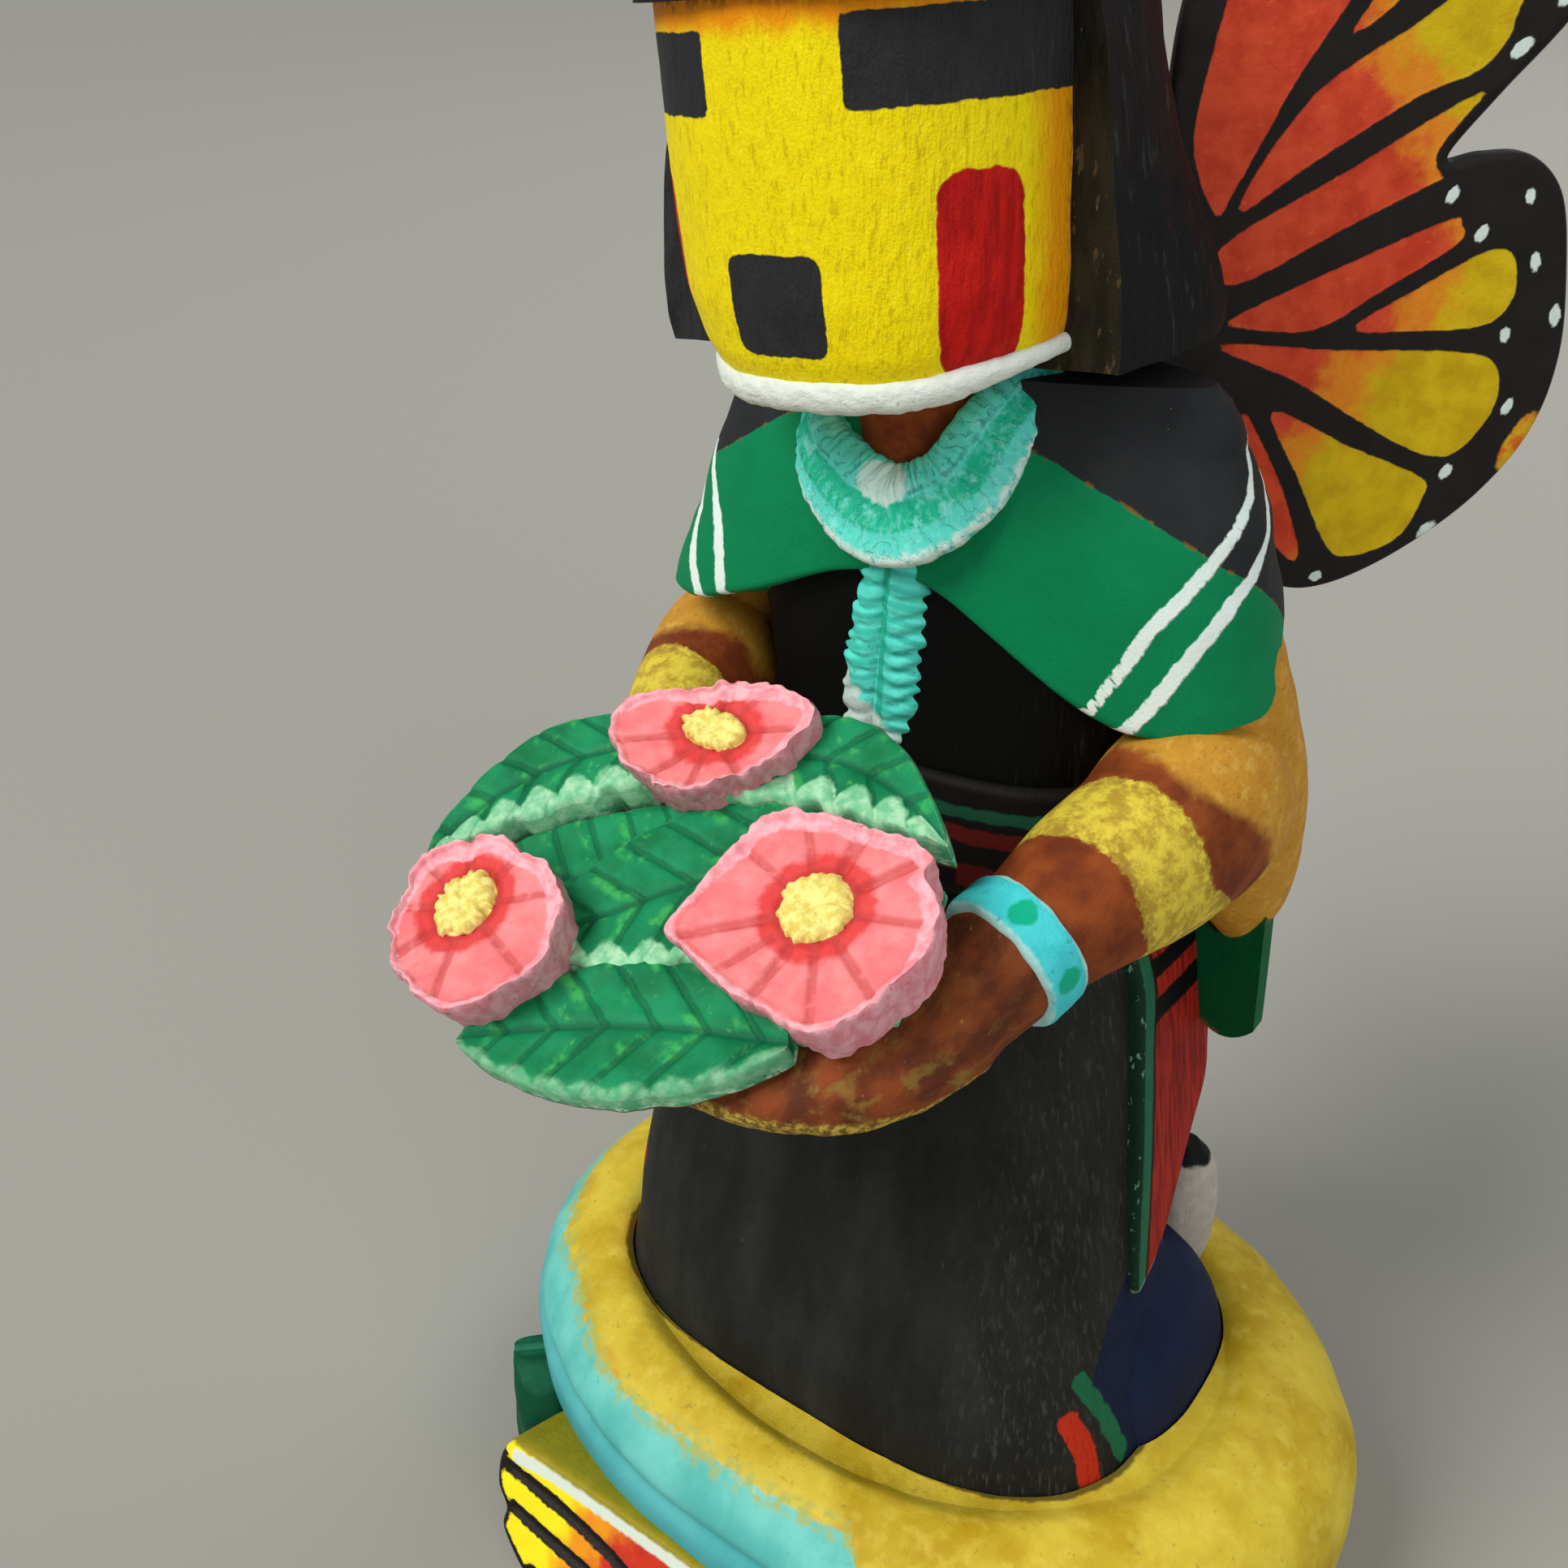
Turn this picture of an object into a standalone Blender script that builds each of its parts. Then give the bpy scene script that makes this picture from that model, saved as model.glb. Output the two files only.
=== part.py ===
"""Carved and painted wooden kachina doll, about 270 mm tall.

Pieces: the carved figure (head, hair, cape, dress, arms, necklace and sash in
one block), the swirl base it stands in, the spray of leaves and blossoms that
lies on its hands, and its two wing boards.

Frame: metres, +Z up, origin on the underside of the base below the figure's
axis.  The figure faces -Y, and its own left hand is towards +X.
"""

import math

import bmesh
import bpy
from mathutils import Matrix, Vector

MM = 0.001
GAP = 0.3                 # clearance between neighbouring pieces, mm

# ---------------------------------------------------------------- sizes, mm
SKIRT_FOOT = 14.0         # the skirt reaches this far down into the base
BODY_X = 2.5              # the chest stands a little to the figure's left
BODY_YAW = math.radians(6.0)        # the shoulders turn a little to its right
SKIRT = (                 # z, centre x, centre y, half width, front, back, squareness
    (SKIRT_FOOT, 0.0, 2.0, 49.0, 30.0, 29.0, 3.0),
    (28.0, 0.0, 2.0, 50.0, 31.0, 29.5, 3.0),
    (40.0, 0.0, 1.5, 48.5, 31.0, 29.5, 2.9),
    (50.0, -0.5, 2.0, 45.5, 30.0, 28.0, 3.0),
    (60.0, -1.5, 3.0, 43.5, 28.5, 26.5, 3.2),
    (78.0, -1.8, 5.5, 40.3, 25.5, 24.5, 3.3),
    (100.0, -0.3, 8.5, 35.8, 22.0, 22.5, 3.2),
    (120.0, 1.5, 11.0, 30.5, 18.5, 19.5, 2.9),
    (136.0, BODY_X, 12.5, 27.0, 16.0, 17.5, 2.7),
    (150.0, BODY_X, 13.0, 27.5, 16.0, 18.0, 2.6),
    (166.0, BODY_X, 13.0, 29.5, 16.5, 19.0, 2.5),
    (182.0, 3.0, 12.0, 26.0, 14.5, 17.0, 2.4),
)
HEM_LOBE = (              # flared side of the skirt hem, left side (mirrored right)
    (SKIRT_FOOT + 0.9, 38.0, 9.0, 13.0, 19.0, 22.0, 2.6),
    (34.0, 38.0, 9.0, 14.5, 20.0, 22.5, 2.6),
    (44.0, 36.5, 9.5, 14.0, 19.0, 21.5, 2.5),
    (52.0, 34.0, 10.0, 12.5, 16.5, 19.0, 2.3),
    (58.0, 31.0, 10.0, 9.0, 12.0, 14.0, 2.2),
    (61.0, 29.0, 10.0, 4.0, 6.0, 7.0, 2.0),
)
BELT_Z0, BELT_Z1, BELT_OUT = 129.0, 146.0, 1.3

MASK_C = (1.2, 0.5)
MASK_A, MASK_B, MASK_P = 25.2, 22.9, 2.28
MASK_Z0, MASK_Z1 = 198.5, 246.0
HAIR_C = (3.0, 0.8)
HAIR_P = 2.8
HAIR_Z0 = 200.0
HEAD_TOP = 254.0
HAIR = (                  # z, half width left, right, front, back, flare towards the back
    (200.0, 28.9, 34.6, 26.3, 29.6, 4.6), (202.0, 29.2, 35.6, 27.5, 31.1, 4.8), (209.0, 29.0, 35.4, 27.5, 30.6, 3.8),
    (222.0, 28.2, 33.2, 26.5, 28.2, 0.4), (232.0, 27.4, 29.8, 26.0, 26.4, -0.6), (242.0, 26.0, 26.4, 24.0, 24.0, 0.0),
    (248.0, 23.8, 24.0, 22.2, 22.2, 0.0), (252.0, 19.0, 19.5, 17.9, 17.9, 0.0), (HEAD_TOP, 11.4, 12.0, 10.7, 10.7, 0.0),
)
HAIR_FRONT = -2.5         # the side hair is cut flat here
HEAD_LEAN = math.radians(-3.4)      # the head leans to the figure's right
HEAD_PIVOT = (0.0, 0.0, 195.0)
CHIN_ROLL_R = 1.9
MASK_RISE = 3.5

NECK_R = 10.5
COLLAR = (                # necklace midline: x, y, z, half width
    (-15.0, 9.0, 193.0, 3.6),
    (-12.2, 1.5, 191.0, 4.4),
    (-6.2, -4.0, 185.6, 5.4),
    (3.8, -6.2, 181.8, 6.4),
    (12.2, -4.4, 186.0, 5.6),
    (15.4, 1.0, 193.4, 4.8),
    (17.0, 9.0, 197.5, 3.6),
)
COLLAR_MID, COLLAR_LIFT = (3.6, 14.0), 2.4
CAPE = (                  # z, centre x, centre y, half width, front, back, squareness
    (198.0, 3.0, 8.0, 13.0, 8.0, 12.0, 2.0),
    (194.0, 4.5, 9.5, 21.0, 9.5, 15.5, 2.1),
    (188.0, 5.5, 11.0, 29.0, 13.5, 18.5, 2.2),
    (180.0, 5.5, 12.0, 35.5, 16.5, 20.0, 2.3),
    (170.0, 4.5, 13.0, 40.5, 18.0, 20.5, 2.4),
    (158.0, 4.0, 14.0, 43.0, 19.0, 20.5, 2.4),
    (148.0, 4.0, 15.0, 43.5, 19.5, 20.0, 2.4),
)
CAPE_N, CAPE_LEVELS = 28, 5
CAPE_OUT = ((148.0, 4.2), (160.0, 4.1), (164.0, 3.9), (169.0, 2.7), (174.0, 2.5), (178.0, 3.4), (182.0, 4.7),
            (186.5, 6.1), (190.0, 7.8), (198.0, 6.0))     # z, how much wider the right half is
CAPE_LEFT = ((148.0, 0.0), (166.0, 0.3), (171.0, 0.9), (174.0, 1.3), (178.0, 2.2), (181.0, 3.6), (184.0, 4.8),
             (186.4, 6.0), (190.0, 8.8), (193.0, 13.4), (196.0, 18.0), (198.0, 19.0))     # and the left shoulder
HEM_LEFT = ((0.0, 175.0), (12.0, 167.5), (20.0, 163.2), (30.0, 158.7), (40.0, 156.0), (50.0, 156.3), (66.0, 157.0),
            (82.0, 157.5), (88.0, 160.0), (93.0, 168.0), (100.0, 171.0), (180.0, 171.0))      # angle from the front, height
HEM_RIGHT = ((0.0, 175.0), (12.0, 173.5), (30.0, 167.0), (50.0, 162.0), (66.0, 161.5),
             (90.0, 160.5), (100.0, 164.0), (115.0, 171.0), (180.0, 171.0))
TAIL_Z0, TAIL_Z1 = 90.0, 172.0      # the cape's hanging back panel
TAIL_RISE = 22.0                    # its lower edge rises this much at the middle
TAIL_HALF = 47.5
TAIL_Y = 36.0
TAIL_THICK = 3.4

ARM = (                   # left arm: x, y, z, radius across, radius up
    (31.0, 12.5, 176.0, 8.0, 7.0),
    (35.4, 16.0, 167.0, 9.6, 8.8),
    (37.8, 19.5, 156.0, 9.8, 9.8),
    (39.3, 23.5, 142.0, 10.3, 10.3),
    (40.0, 27.0, 130.0, 8.8, 8.8),
    (40.6, 29.5, 121.0, 5.4, 5.4),
    (41.0, 30.5, 115.0, 1.8, 1.8),
)
FOREARM = (
    (40.5, 22.0, 139.0, 9.5, 11.5),
    (39.4, 11.0, 143.0, 12.0, 14.0),
    (38.6, -1.0, 142.5, 11.0, 12.4),
    (36.2, -12.0, 141.5, 9.8, 10.4),
    (33.8, -22.0, 139.5, 8.2, 8.6),
    (31.5, -30.0, 137.0, 8.0, 7.8),
    (28.0, -38.0, 134.2, 9.8, 7.6),
    (22.0, -45.0, 132.4, 11.0, 6.8),
    (14.0, -50.0, 131.0, 9.5, 5.6),
    (7.0, -52.5, 130.0, 6.0, 3.8),
)
ARM_IN = (                # y, how far the right arm's row moves in towards the body
    (-50.0, 0.0), (-40.0, 4.0), (-30.0, 8.5), (-22.0, 9.5), (-12.0, 7.5), (0.0, 4.0), (12.0, 1.0), (20.0, -0.8), (30.0, -1.5),
)
ARM_TOP_IN = 7.0          # and how far more at the shoulder
BRACELET_AT, BRACELET_HALF, BRACELET_OUT = 4.25, 3.2, 1.1

TRAY_P = (0.0, -46.0, 146.0)
TRAY_TILT = math.radians(28.0)
TRAY_FLOOR = -4.5         # underside of the leaves in the tray's own frame
LEAVES = (                # name, base u v, tip u v, half width, bend, underside, top, foot
    ("upper_left", (-9.0, 20.0), (-37.0, -7.5), 7.0, -6.0, -5.0, 1.6, 0.14),
    ("upper_right", (-8.0, 16.0), (27.3, 18.3), 6.8, 6.5, -5.0, 1.6, 0.14),
    ("centre", (12.0, 14.0), (-16.0, -12.0), 11.0, 0.0, TRAY_FLOOR, 0.0, 0.14),
    ("front", (22.5, -10.0), (-16.5, -26.0), 8.8, -1.7, TRAY_FLOOR, 0.0, 0.02),
    ("middle", (30.0, 6.0), (-30.0, -4.0), 15.0, 0.0, TRAY_FLOOR, -1.2, 0.14),
)
BLOSSOMS = (              # name, centre u v, button radii, outline in the tray's plane
    ("back", (-6.6, 21.0), (4.6, 2.7), (
        (-21.0, 18.6), (-20.0, 15.6), (-17.4, 13.6), (-13.2, 11.8), (-8.0, 11.2), (-3.4, 12.4), (1.0, 16.2),
        (4.4, 20.6), (5.4, 27.4), (0.1, 28.8), (-5.5, 28.2), (-9.3, 27.2), (-10.9, 25.7), (-18.2, 22.6))),
    ("right", (19.3, 4.0), (4.3, 4.4), (
        (4.9, -5.6), (4.8, -1.2), (5.3, 4.4), (7.0, 10.8), (9.5, 13.2), (15.3, 14.9), (20.7, 15.2), (28.9, 14.6),
        (29.6, 12.0), (32.2, 10.0), (33.8, 6.9), (34.1, 2.6), (33.2, -1.4), (31.0, -5.8), (28.6, -8.7),
        (25.0, -9.9), (19.3, -9.4), (13.2, -8.2))),
    ("left", (-23.0, -12.0), (3.9, 4.4), (
        (-32.5, -8.9), (-28.4, -5.1), (-25.0, -2.9), (-20.8, -3.0), (-14.6, -3.8), (-10.8, -6.5), (-8.4, -10.5),
        (-7.3, -14.8), (-9.2, -19.2), (-12.9, -23.4), (-19.0, -24.6), (-25.9, -22.8), (-29.8, -18.6), (-31.4, -13.6))),
)
BLOSSOM_RIM = 5.4

WING_ROOT = (10.0, 26.0, 195.0)
WING_SWEEP = math.radians(42.0)
WING_THICK = 2.8
WING = (                  # along the wing, above the root
    (-2.0, -10.0), (9.0, -13.0), (17.0, -14.5), (23.0, -23.5), (29.0, -32.0),
    (34.0, -35.2), (41.0, -34.6), (50.0, -30.3), (59.0, -23.3), (65.2, -14.5),
    (67.2, -4.0), (65.6, 8.0), (63.0, 16.8), (58.0, 21.4), (52.0, 21.9),
    (47.2, 21.6), (52.5, 28.4), (60.0, 36.8), (66.0, 46.5), (69.6, 57.0),
    (69.6, 67.5), (65.0, 75.5), (56.5, 78.6), (45.0, 75.8), (33.0, 68.5),
    (22.5, 58.0), (15.0, 48.0), (12.0, 39.0), (11.0, 25.0), (10.5, 12.0),
    (6.0, 8.0), (-2.0, 8.0),
)

BASE_C = (3.0, 4.0)
BASE_A, BASE_B, BASE_P = 75.0, 55.5, 2.15
BASE_PROFILE = (          # part of the full outline, height
    (0.900, 0.0), (0.960, 10.5), (0.995, 21.0), (0.990, 28.5),
    (0.955, 34.5), (0.895, 39.0), (0.815, 42.0), (0.745, 42.5), (0.690, 40.5),
)
RELIEF_AT = (4.0, -57.3, 0.0)       # foot of the butterfly carved on the base
RELIEF_TILT = math.radians(68.0)
RELIEF = (                # one wing of it, in its own plane
    (-6.0, -2.0), (-24.0, -3.0), (-38.0, 0.5), (-46.0, 6.5), (-46.3, 11.0),
    (-49.0, 14.5), (-49.2, 20.0), (-45.0, 23.8), (-30.0, 24.4), (-10.0, 24.2),
    (0.0, 23.0), (4.0, 18.0), (4.0, -2.0),
)
LEAF_AT = (-51.5, -37.0)            # leaf carved beside it


# ---------------------------------------------------------------- mesh tools
def sup(t, p):
    c, s = math.cos(t), math.sin(t)
    e = 2.0 / p
    return math.copysign(abs(c) ** e, c), math.copysign(abs(s) ** e, s)


def section(z, cx, cy, hx, hf, hb, p, n, grow=0.0):
    """One closed section: half width hx, reaching hf forward and hb back."""
    out = []
    for i in range(n):
        c, s = sup(2.0 * math.pi * i / n, p)
        y = cy + (hb + grow if s > 0.0 else hf + grow) * s
        out.append(Vector((cx + (hx + grow) * c, y, z)))
    return out


def solid(name, rings):
    """Closed solid through rings that each run the same way round."""
    bm = bmesh.new()
    rows = [[bm.verts.new(p * MM) for p in ring] for ring in rings]
    n = len(rows[0])
    for a, b in zip(rows, rows[1:]):
        for i in range(n):
            j = (i + 1) % n
            bm.faces.new((a[i], a[j], b[j], b[i]))
    bm.faces.new(rows[0][::-1])
    bm.faces.new(rows[-1])
    bmesh.ops.recalc_face_normals(bm, faces=bm.faces)
    return put(name, bm)


def put(name, bm):
    bmesh.ops.triangulate(bm, faces=bm.faces)
    mesh = bpy.data.meshes.new(name)
    bm.to_mesh(mesh)
    bm.free()
    mesh.shade_smooth()
    mesh.set_sharp_from_angle(angle=math.radians(38.0))
    obj = bpy.data.objects.new(name, mesh)
    bpy.context.scene.collection.objects.link(obj)
    return obj


def stations(name, rows, n, grow=0.0, down=0.0):
    rings = [section(*row, n, grow) for row in rows]
    if down:
        for p in rings[0]:
            p.z -= down
    return solid(name, rings)


def curve(points, per):
    """Smooth open curve through the rows of numbers in points."""
    pts = [Vector(p) if len(p) < 4 else p for p in points]
    pts = [tuple(p) for p in pts]
    out = []
    last = len(pts) - 1
    for i in range(last):
        p0, p1 = pts[max(i - 1, 0)], pts[i]
        p2, p3 = pts[i + 1], pts[min(i + 2, last)]
        for k in range(per):
            t = k / per
            out.append(tuple(spline(a, b, c, d, t) for a, b, c, d in zip(p0, p1, p2, p3)))
    out.append(pts[-1])
    return out


def spline(a, b, c, d, t):
    return 0.5 * (2 * b + (c - a) * t + (2 * a - 5 * b + 4 * c - d) * t * t
                  + (3 * b - a - 3 * c + d) * t ** 3)


def loop(points, per):
    """Smooth closed curve through points."""
    n = len(points)
    out = []
    for i in range(n):
        ps = [points[(i + k - 1) % n] for k in range(4)]
        for k in range(per):
            out.append(tuple(spline(*c, k / per) for c in zip(*ps)))
    return out


def limb(name, rows, per, n, side=1.0, grow=0.0):
    """Swept limb: rows of x, y, z, radius across, radius up."""
    pts = curve(rows, per)
    rings = []
    for i, row in enumerate(pts):
        p = Vector(row[:3])
        a = Vector(pts[max(i - 1, 0)][:3])
        b = Vector(pts[min(i + 1, len(pts) - 1)][:3])
        t = (b - a).normalized()
        up = Vector((0, 0, 1)) if abs(t.z) < 0.75 else Vector((0, 1, 0))
        u = t.cross(up).normalized()
        v = u.cross(t).normalized()
        ring = []
        for k in range(n):
            ang = 2 * math.pi * k / n
            q = p + u * math.cos(ang) * (row[3] + grow) + v * math.sin(ang) * (row[4] + grow)
            ring.append(Vector((q.x * side, q.y, q.z)))
        rings.append(ring)
    return solid(name, rings)


def board(name, outline, low, high, place):
    """Flat board with the outline given in its own plane, placed by a matrix."""
    rings = [[place @ Vector((u, v, w)) for u, v in outline] for w in (low, high)]
    return solid(name, rings)


def hide(obj):
    obj.hide_render = True
    obj.display_type = "WIRE"
    return obj


def combine(obj, others, how="UNION", solver="EXACT"):
    for other in others:
        hide(other)
        mod = obj.modifiers.new(other.name, "BOOLEAN")
        mod.operation = how
        mod.solver = solver
        mod.object = other


def paint(obj, name, colour, rough):
    mat = bpy.data.materials.new(name)
    mat.use_nodes = True
    bsdf = mat.node_tree.nodes["Principled BSDF"]
    bsdf.inputs["Base Color"].default_value = (*colour, 1.0)
    bsdf.inputs["Roughness"].default_value = rough
    bsdf.inputs["Metallic"].default_value = 0.0
    obj.data.materials.append(mat)


# ---------------------------------------------------------------- the figure
def head_place():
    pivot = Vector(HEAD_PIVOT)
    return (Matrix.Translation(pivot) @ Matrix.Rotation(HEAD_LEAN, 4, "Y")
            @ Matrix.Translation(-pivot))


def head_solid(name, rows, n, grow=0.0):
    lean = head_place()
    rings = [[lean @ p for p in section(*row, n, grow)] for row in rows]
    return solid(name, rings)


def mask_rise(c, fade):
    """The foot of the mask sweeps up towards its sides."""
    return MASK_RISE * abs(c) ** 4.0 * fade


def jaw(c, z):
    """How far the right half of the mask moves in, most at the chin."""
    k = min(1.0, max(0.0, (214.0 - z) / 17.0))
    return (0.7 + 2.6 * k * k * (3.0 - 2.0 * k)) * max(-c, 0.0) ** 2


def mask(name, n):
    """The mask: a deep half drum that rounds in at the chin."""
    cx, cy = MASK_C
    lean = head_place()
    rings = []
    for z, k, fade in ((MASK_Z0, 0.80, 1.0), (MASK_Z0 + 1.5, 0.88, 1.0), (MASK_Z0 + 5.0, 0.945, 0.8),
                       (MASK_Z0 + 11.0, 0.985, 0.5), (MASK_Z0 + 24.0, 1.0, 0.0), (MASK_Z1, 1.0, 0.0)):
        ring = section(z, cx, cy, MASK_A * k, MASK_B * k, MASK_B * k, MASK_P, n)
        for p in ring:
            c = (p.x - cx) / (MASK_A * k)
            p.x += (1.0 - k) * 0.6 * c ** 6 * MASK_A * c + jaw(c, z)
            p.z += mask_rise(c, fade)
        rings.append([lean @ p for p in ring])
    return solid(name, rings)


def hair_solid(name, n, grow=0.0):
    """The hair: a block round the head that flares at the foot behind the ears."""
    lean = head_place()
    rings = []
    for z, left, right, front, back, flare in HAIR:
        ring = []
        for i in range(n):
            c, s = sup(2 * math.pi * i / n, HAIR_P)
            y = HAIR_C[1] + ((back if s > 0 else front) + grow) * s
            x = HAIR_C[0] + ((left if c > 0 else right) + grow) * c
            x += math.tanh(c * 3.0) * flare * min(1.25, max(0.0, (y - HAIR_FRONT) / 20.5))
            ring.append(lean @ Vector((x, y, z)))
        rings.append(ring)
    return solid(name, rings)


def hair_cutter():
    """Takes the front off the hair so that the mask shows between its two slabs."""
    lean = head_place()
    corners = ((-60.0, -40.0), (60.0, -40.0), (60.0, HAIR_FRONT), (-60.0, HAIR_FRONT))
    return solid("hair_cutter", [[lean @ Vector((x, y, z)) for x, y in corners]
                                 for z in (HAIR_Z0 - 6.0, MASK_Z1 - 6.0)])


def chin_roll():
    """Rolled rim round the foot of the mask."""
    cx, cy = MASK_C
    lean = head_place()
    rings = []
    steps = 16
    for i in range(steps + 1):
        t = math.pi * (1.0 + i / steps)
        c, s = sup(t, MASK_P)
        d = Vector((c * MASK_A, s * MASK_B, 0.0))
        out = d.normalized()
        mid = Vector((cx, cy, MASK_Z0 + 1.2 + mask_rise(c, 1.0))) + d * (0.86 + 0.10 * c ** 6)
        mid.x += jaw(c, MASK_Z0)
        ring = []
        for k in range(6):
            a = 2 * math.pi * k / 6
            ring.append(lean @ (mid + out * math.cos(a) * CHIN_ROLL_R
                                + Vector((0, 0, 1)) * math.sin(a) * CHIN_ROLL_R * 1.15))
        rings.append(ring)
    return solid("chin_roll", rings)


def cape_hem(t):
    """Height of the cape's lower edge at angle t from +X, anticlockwise."""
    front = (math.degrees(t) + 90.0) % 360.0       # 0 at the front, 90 at the left side
    knots = HEM_LEFT
    if front > 180.0:
        front, knots = 360.0 - front, HEM_RIGHT
    for (a, za), (b, zb) in zip(knots, knots[1:]):
        if front <= b:
            return za + (zb - za) * (front - a) / (b - a)
    return knots[-1][1]


def cape_row(z):
    """The cape's section, read at any height."""
    rows = sorted(CAPE)
    z = min(max(z, rows[0][0]), rows[-1][0])
    for a, b in zip(rows, rows[1:]):
        if z <= b[0]:
            k = (z - a[0]) / (b[0] - a[0])
            return tuple(p + (q - p) * k for p, q in zip(a, b))
    return rows[-1]


def cape_out(z, c):
    """How far the shell stands out beyond its row, on the side c points to."""
    knots = CAPE_OUT if c < 0 else CAPE_LEFT
    z = min(max(z, knots[0][0]), knots[-1][0])
    for (a, oa), (b, ob) in zip(knots, knots[1:]):
        if z <= b:
            return (oa + (ob - oa) * (z - a) / (b - a)) * (c if c < 0 else c * c)
    return knots[-1][1] * (c if c < 0 else c * c)


def cape(name, n, levels, grow=0.0):
    """Cape shell closed underneath, its hem rising to a point on the chest."""
    top = CAPE[0][0]
    rings = []
    for j in range(levels + 1):
        k = j / levels
        ring = []
        for i in range(n):
            t = 2 * math.pi * i / n
            z = top + (cape_hem(t) - grow - top) * k ** 1.15
            row = cape_row(z)
            c, s = sup(t, row[6])
            y = row[2] + (row[5] + grow if s > 0 else row[4] + grow) * s
            x, y = (row[3] + grow) * c + cape_out(z, c), y - row[2]
            ring.append(Vector((row[1] + x * math.cos(BODY_YAW) - y * math.sin(BODY_YAW),
                                row[2] + x * math.sin(BODY_YAW) + y * math.cos(BODY_YAW), z)))
        rings.append(ring)
    low = [Vector((BODY_X + (p.x - BODY_X) * 0.80, 13.0 + (p.y - 13.0) * 0.55, p.z)) for p in rings[-1]]
    core = [Vector((BODY_X + (p.x - BODY_X) * 0.30, 13.0 + (p.y - 13.0) * 0.30, 166.0)) for p in low]
    return solid(name, [[p + Vector((0, 0, grow)) for p in rings[0]]] + rings + [low, core])


def tail(name, n, grow=0.0):
    """The cape's back panel: a curved board that hangs to a round corner each side."""
    def skin(off):
        rows = []
        for j in range(5):
            k = j / 4
            row = []
            for i in range(n + 1):
                u = 2 * i / n - 1
                low = TAIL_Z0 - grow + TAIL_RISE * (1 - abs(u) ** 1.4)
                if abs(u) > 0.8:
                    low += 9.0 * ((abs(u) - 0.8) / 0.2) ** 2
                z = low + (TAIL_Z1 + grow - low) * k
                half = TAIL_HALF * (0.93 + 0.07 * min(1.0, 3.0 * k)) - 11.0 * k
                lift = 2.0 * (z - TAIL_Z0) / (TAIL_Z1 - TAIL_Z0)
                row.append(Vector((BODY_X + u * (half + grow), TAIL_Y - 6.0 * u * u - lift + off, z)))
            rows.append(row)
        return rows
    front, back = skin(-TAIL_THICK - grow), skin(grow)
    rings = [f + b[::-1] for f, b in zip(front, back)]
    return solid(name, rings)


def skirt_row(z):
    rows = SKIRT
    z = min(max(z, rows[0][0]), rows[-1][0])
    for a, b in zip(rows, rows[1:]):
        if z <= b[0]:
            k = (z - a[0]) / (b[0] - a[0])
            return tuple(p + (q - p) * k for p, q in zip(a, b))
    return rows[-1]


def necklace(name, per, n):
    """Broad collar from the nape down over the chest."""
    pts = curve(COLLAR, per)
    rings = []
    for i, row in enumerate(pts):
        p = Vector(row[:3])
        t = (Vector(pts[min(i + 1, len(pts) - 1)][:3]) - Vector(pts[max(i - 1, 0)][:3])).normalized()
        face = (p - Vector((COLLAR_MID[0], COLLAR_MID[1], p.z - 14.0))).normalized()
        face = (face - t * face.dot(t)).normalized()
        out = t.cross(face).normalized()
        rings.append([p + out * (math.cos(b) * row[3]) + face * (math.sin(b) * COLLAR_LIFT)
                      for b in (2 * math.pi * q / n for q in range(n))])
    return solid(name, rings)


def pendant(name):
    """Short strand hanging from the collar down the chest."""
    rings = []
    for z, half, lift in ((177.0, 4.4, 4.4), (168.0, 5.8, 4.0), (158.0, 6.4, 3.4), (151.5, 6.0, 3.0), (148.5, 4.6, 2.2)):
        mid = Vector((-0.6 + (z - 150.0) * 0.15, -2.0, z))
        rings.append([mid + Vector((half * math.cos(a), (lift if math.sin(a) < 0 else 2.5) * math.sin(a), 0))
                      for a in (2 * math.pi * q / 8 for q in range(8))])
    return solid(name, rings)


def sash(name, side=1.0, grow=0.0):
    """Sash end: a flat slab on the hip with a slanted lower edge."""
    rings = []
    for z, y0, y1, x in ((62.5, 2.3, 9.5, 41.4), (65.0, 2.4, 15.0, 41.0), (85.0, 5.8, 31.8, 38.6),
                         (112.0, 10.0, 35.3, 34.8), (132.0, 9.0, 30.0, 28.5)):
        ring = [Vector((x - 5.0, y0, z)), Vector((x + 1.4, y0, z)), Vector((x + 0.2, y1, z)), Vector((x - 6.0, y1, z))]
        rings.append([Vector((p.x * side, p.y, p.z)) for p in ring])
    return solid(name, rings)


def knob(name):
    rows = ((42.5, 4.0), (48.0, 5.4), (58.0, 5.8), (64.0, 5.0), (67.5, 3.0), (68.6, 1.2))
    return solid(name, [section(z, 37.0, 31.5, r, r, r, 2.0, 10) for z, r in rows])


def bracelet(name, side):
    rows = curve(FOREARM, 4)
    mid = int(BRACELET_AT * 4)
    a, b = Vector(rows[mid - 1][:3]), Vector(rows[mid + 1][:3])
    t = (b - a).normalized()
    p = Vector(rows[mid][:3])
    u = t.cross(Vector((0, 0, 1))).normalized()
    v = u.cross(t).normalized()
    rings = []
    for off, out in ((-BRACELET_HALF, -0.6), (-BRACELET_HALF + 0.6, BRACELET_OUT), (BRACELET_HALF - 0.6, BRACELET_OUT), (BRACELET_HALF, -0.6)):
        ring = []
        for k in range(10):
            ang = 2 * math.pi * k / 10
            q = p + t * off + u * math.cos(ang) * (rows[mid][3] + out) + v * math.sin(ang) * (rows[mid][4] + out)
            ring.append(Vector((q.x * side, q.y, q.z)))
        rings.append(ring)
    return solid(name, rings)


def mirrored(obj):
    for v in obj.data.vertices:
        v.co.x = -v.co.x
    bm = bmesh.new()
    bm.from_mesh(obj.data)
    bmesh.ops.reverse_faces(bm, faces=bm.faces)
    bm.to_mesh(obj.data)
    bm.free()
    return obj


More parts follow.
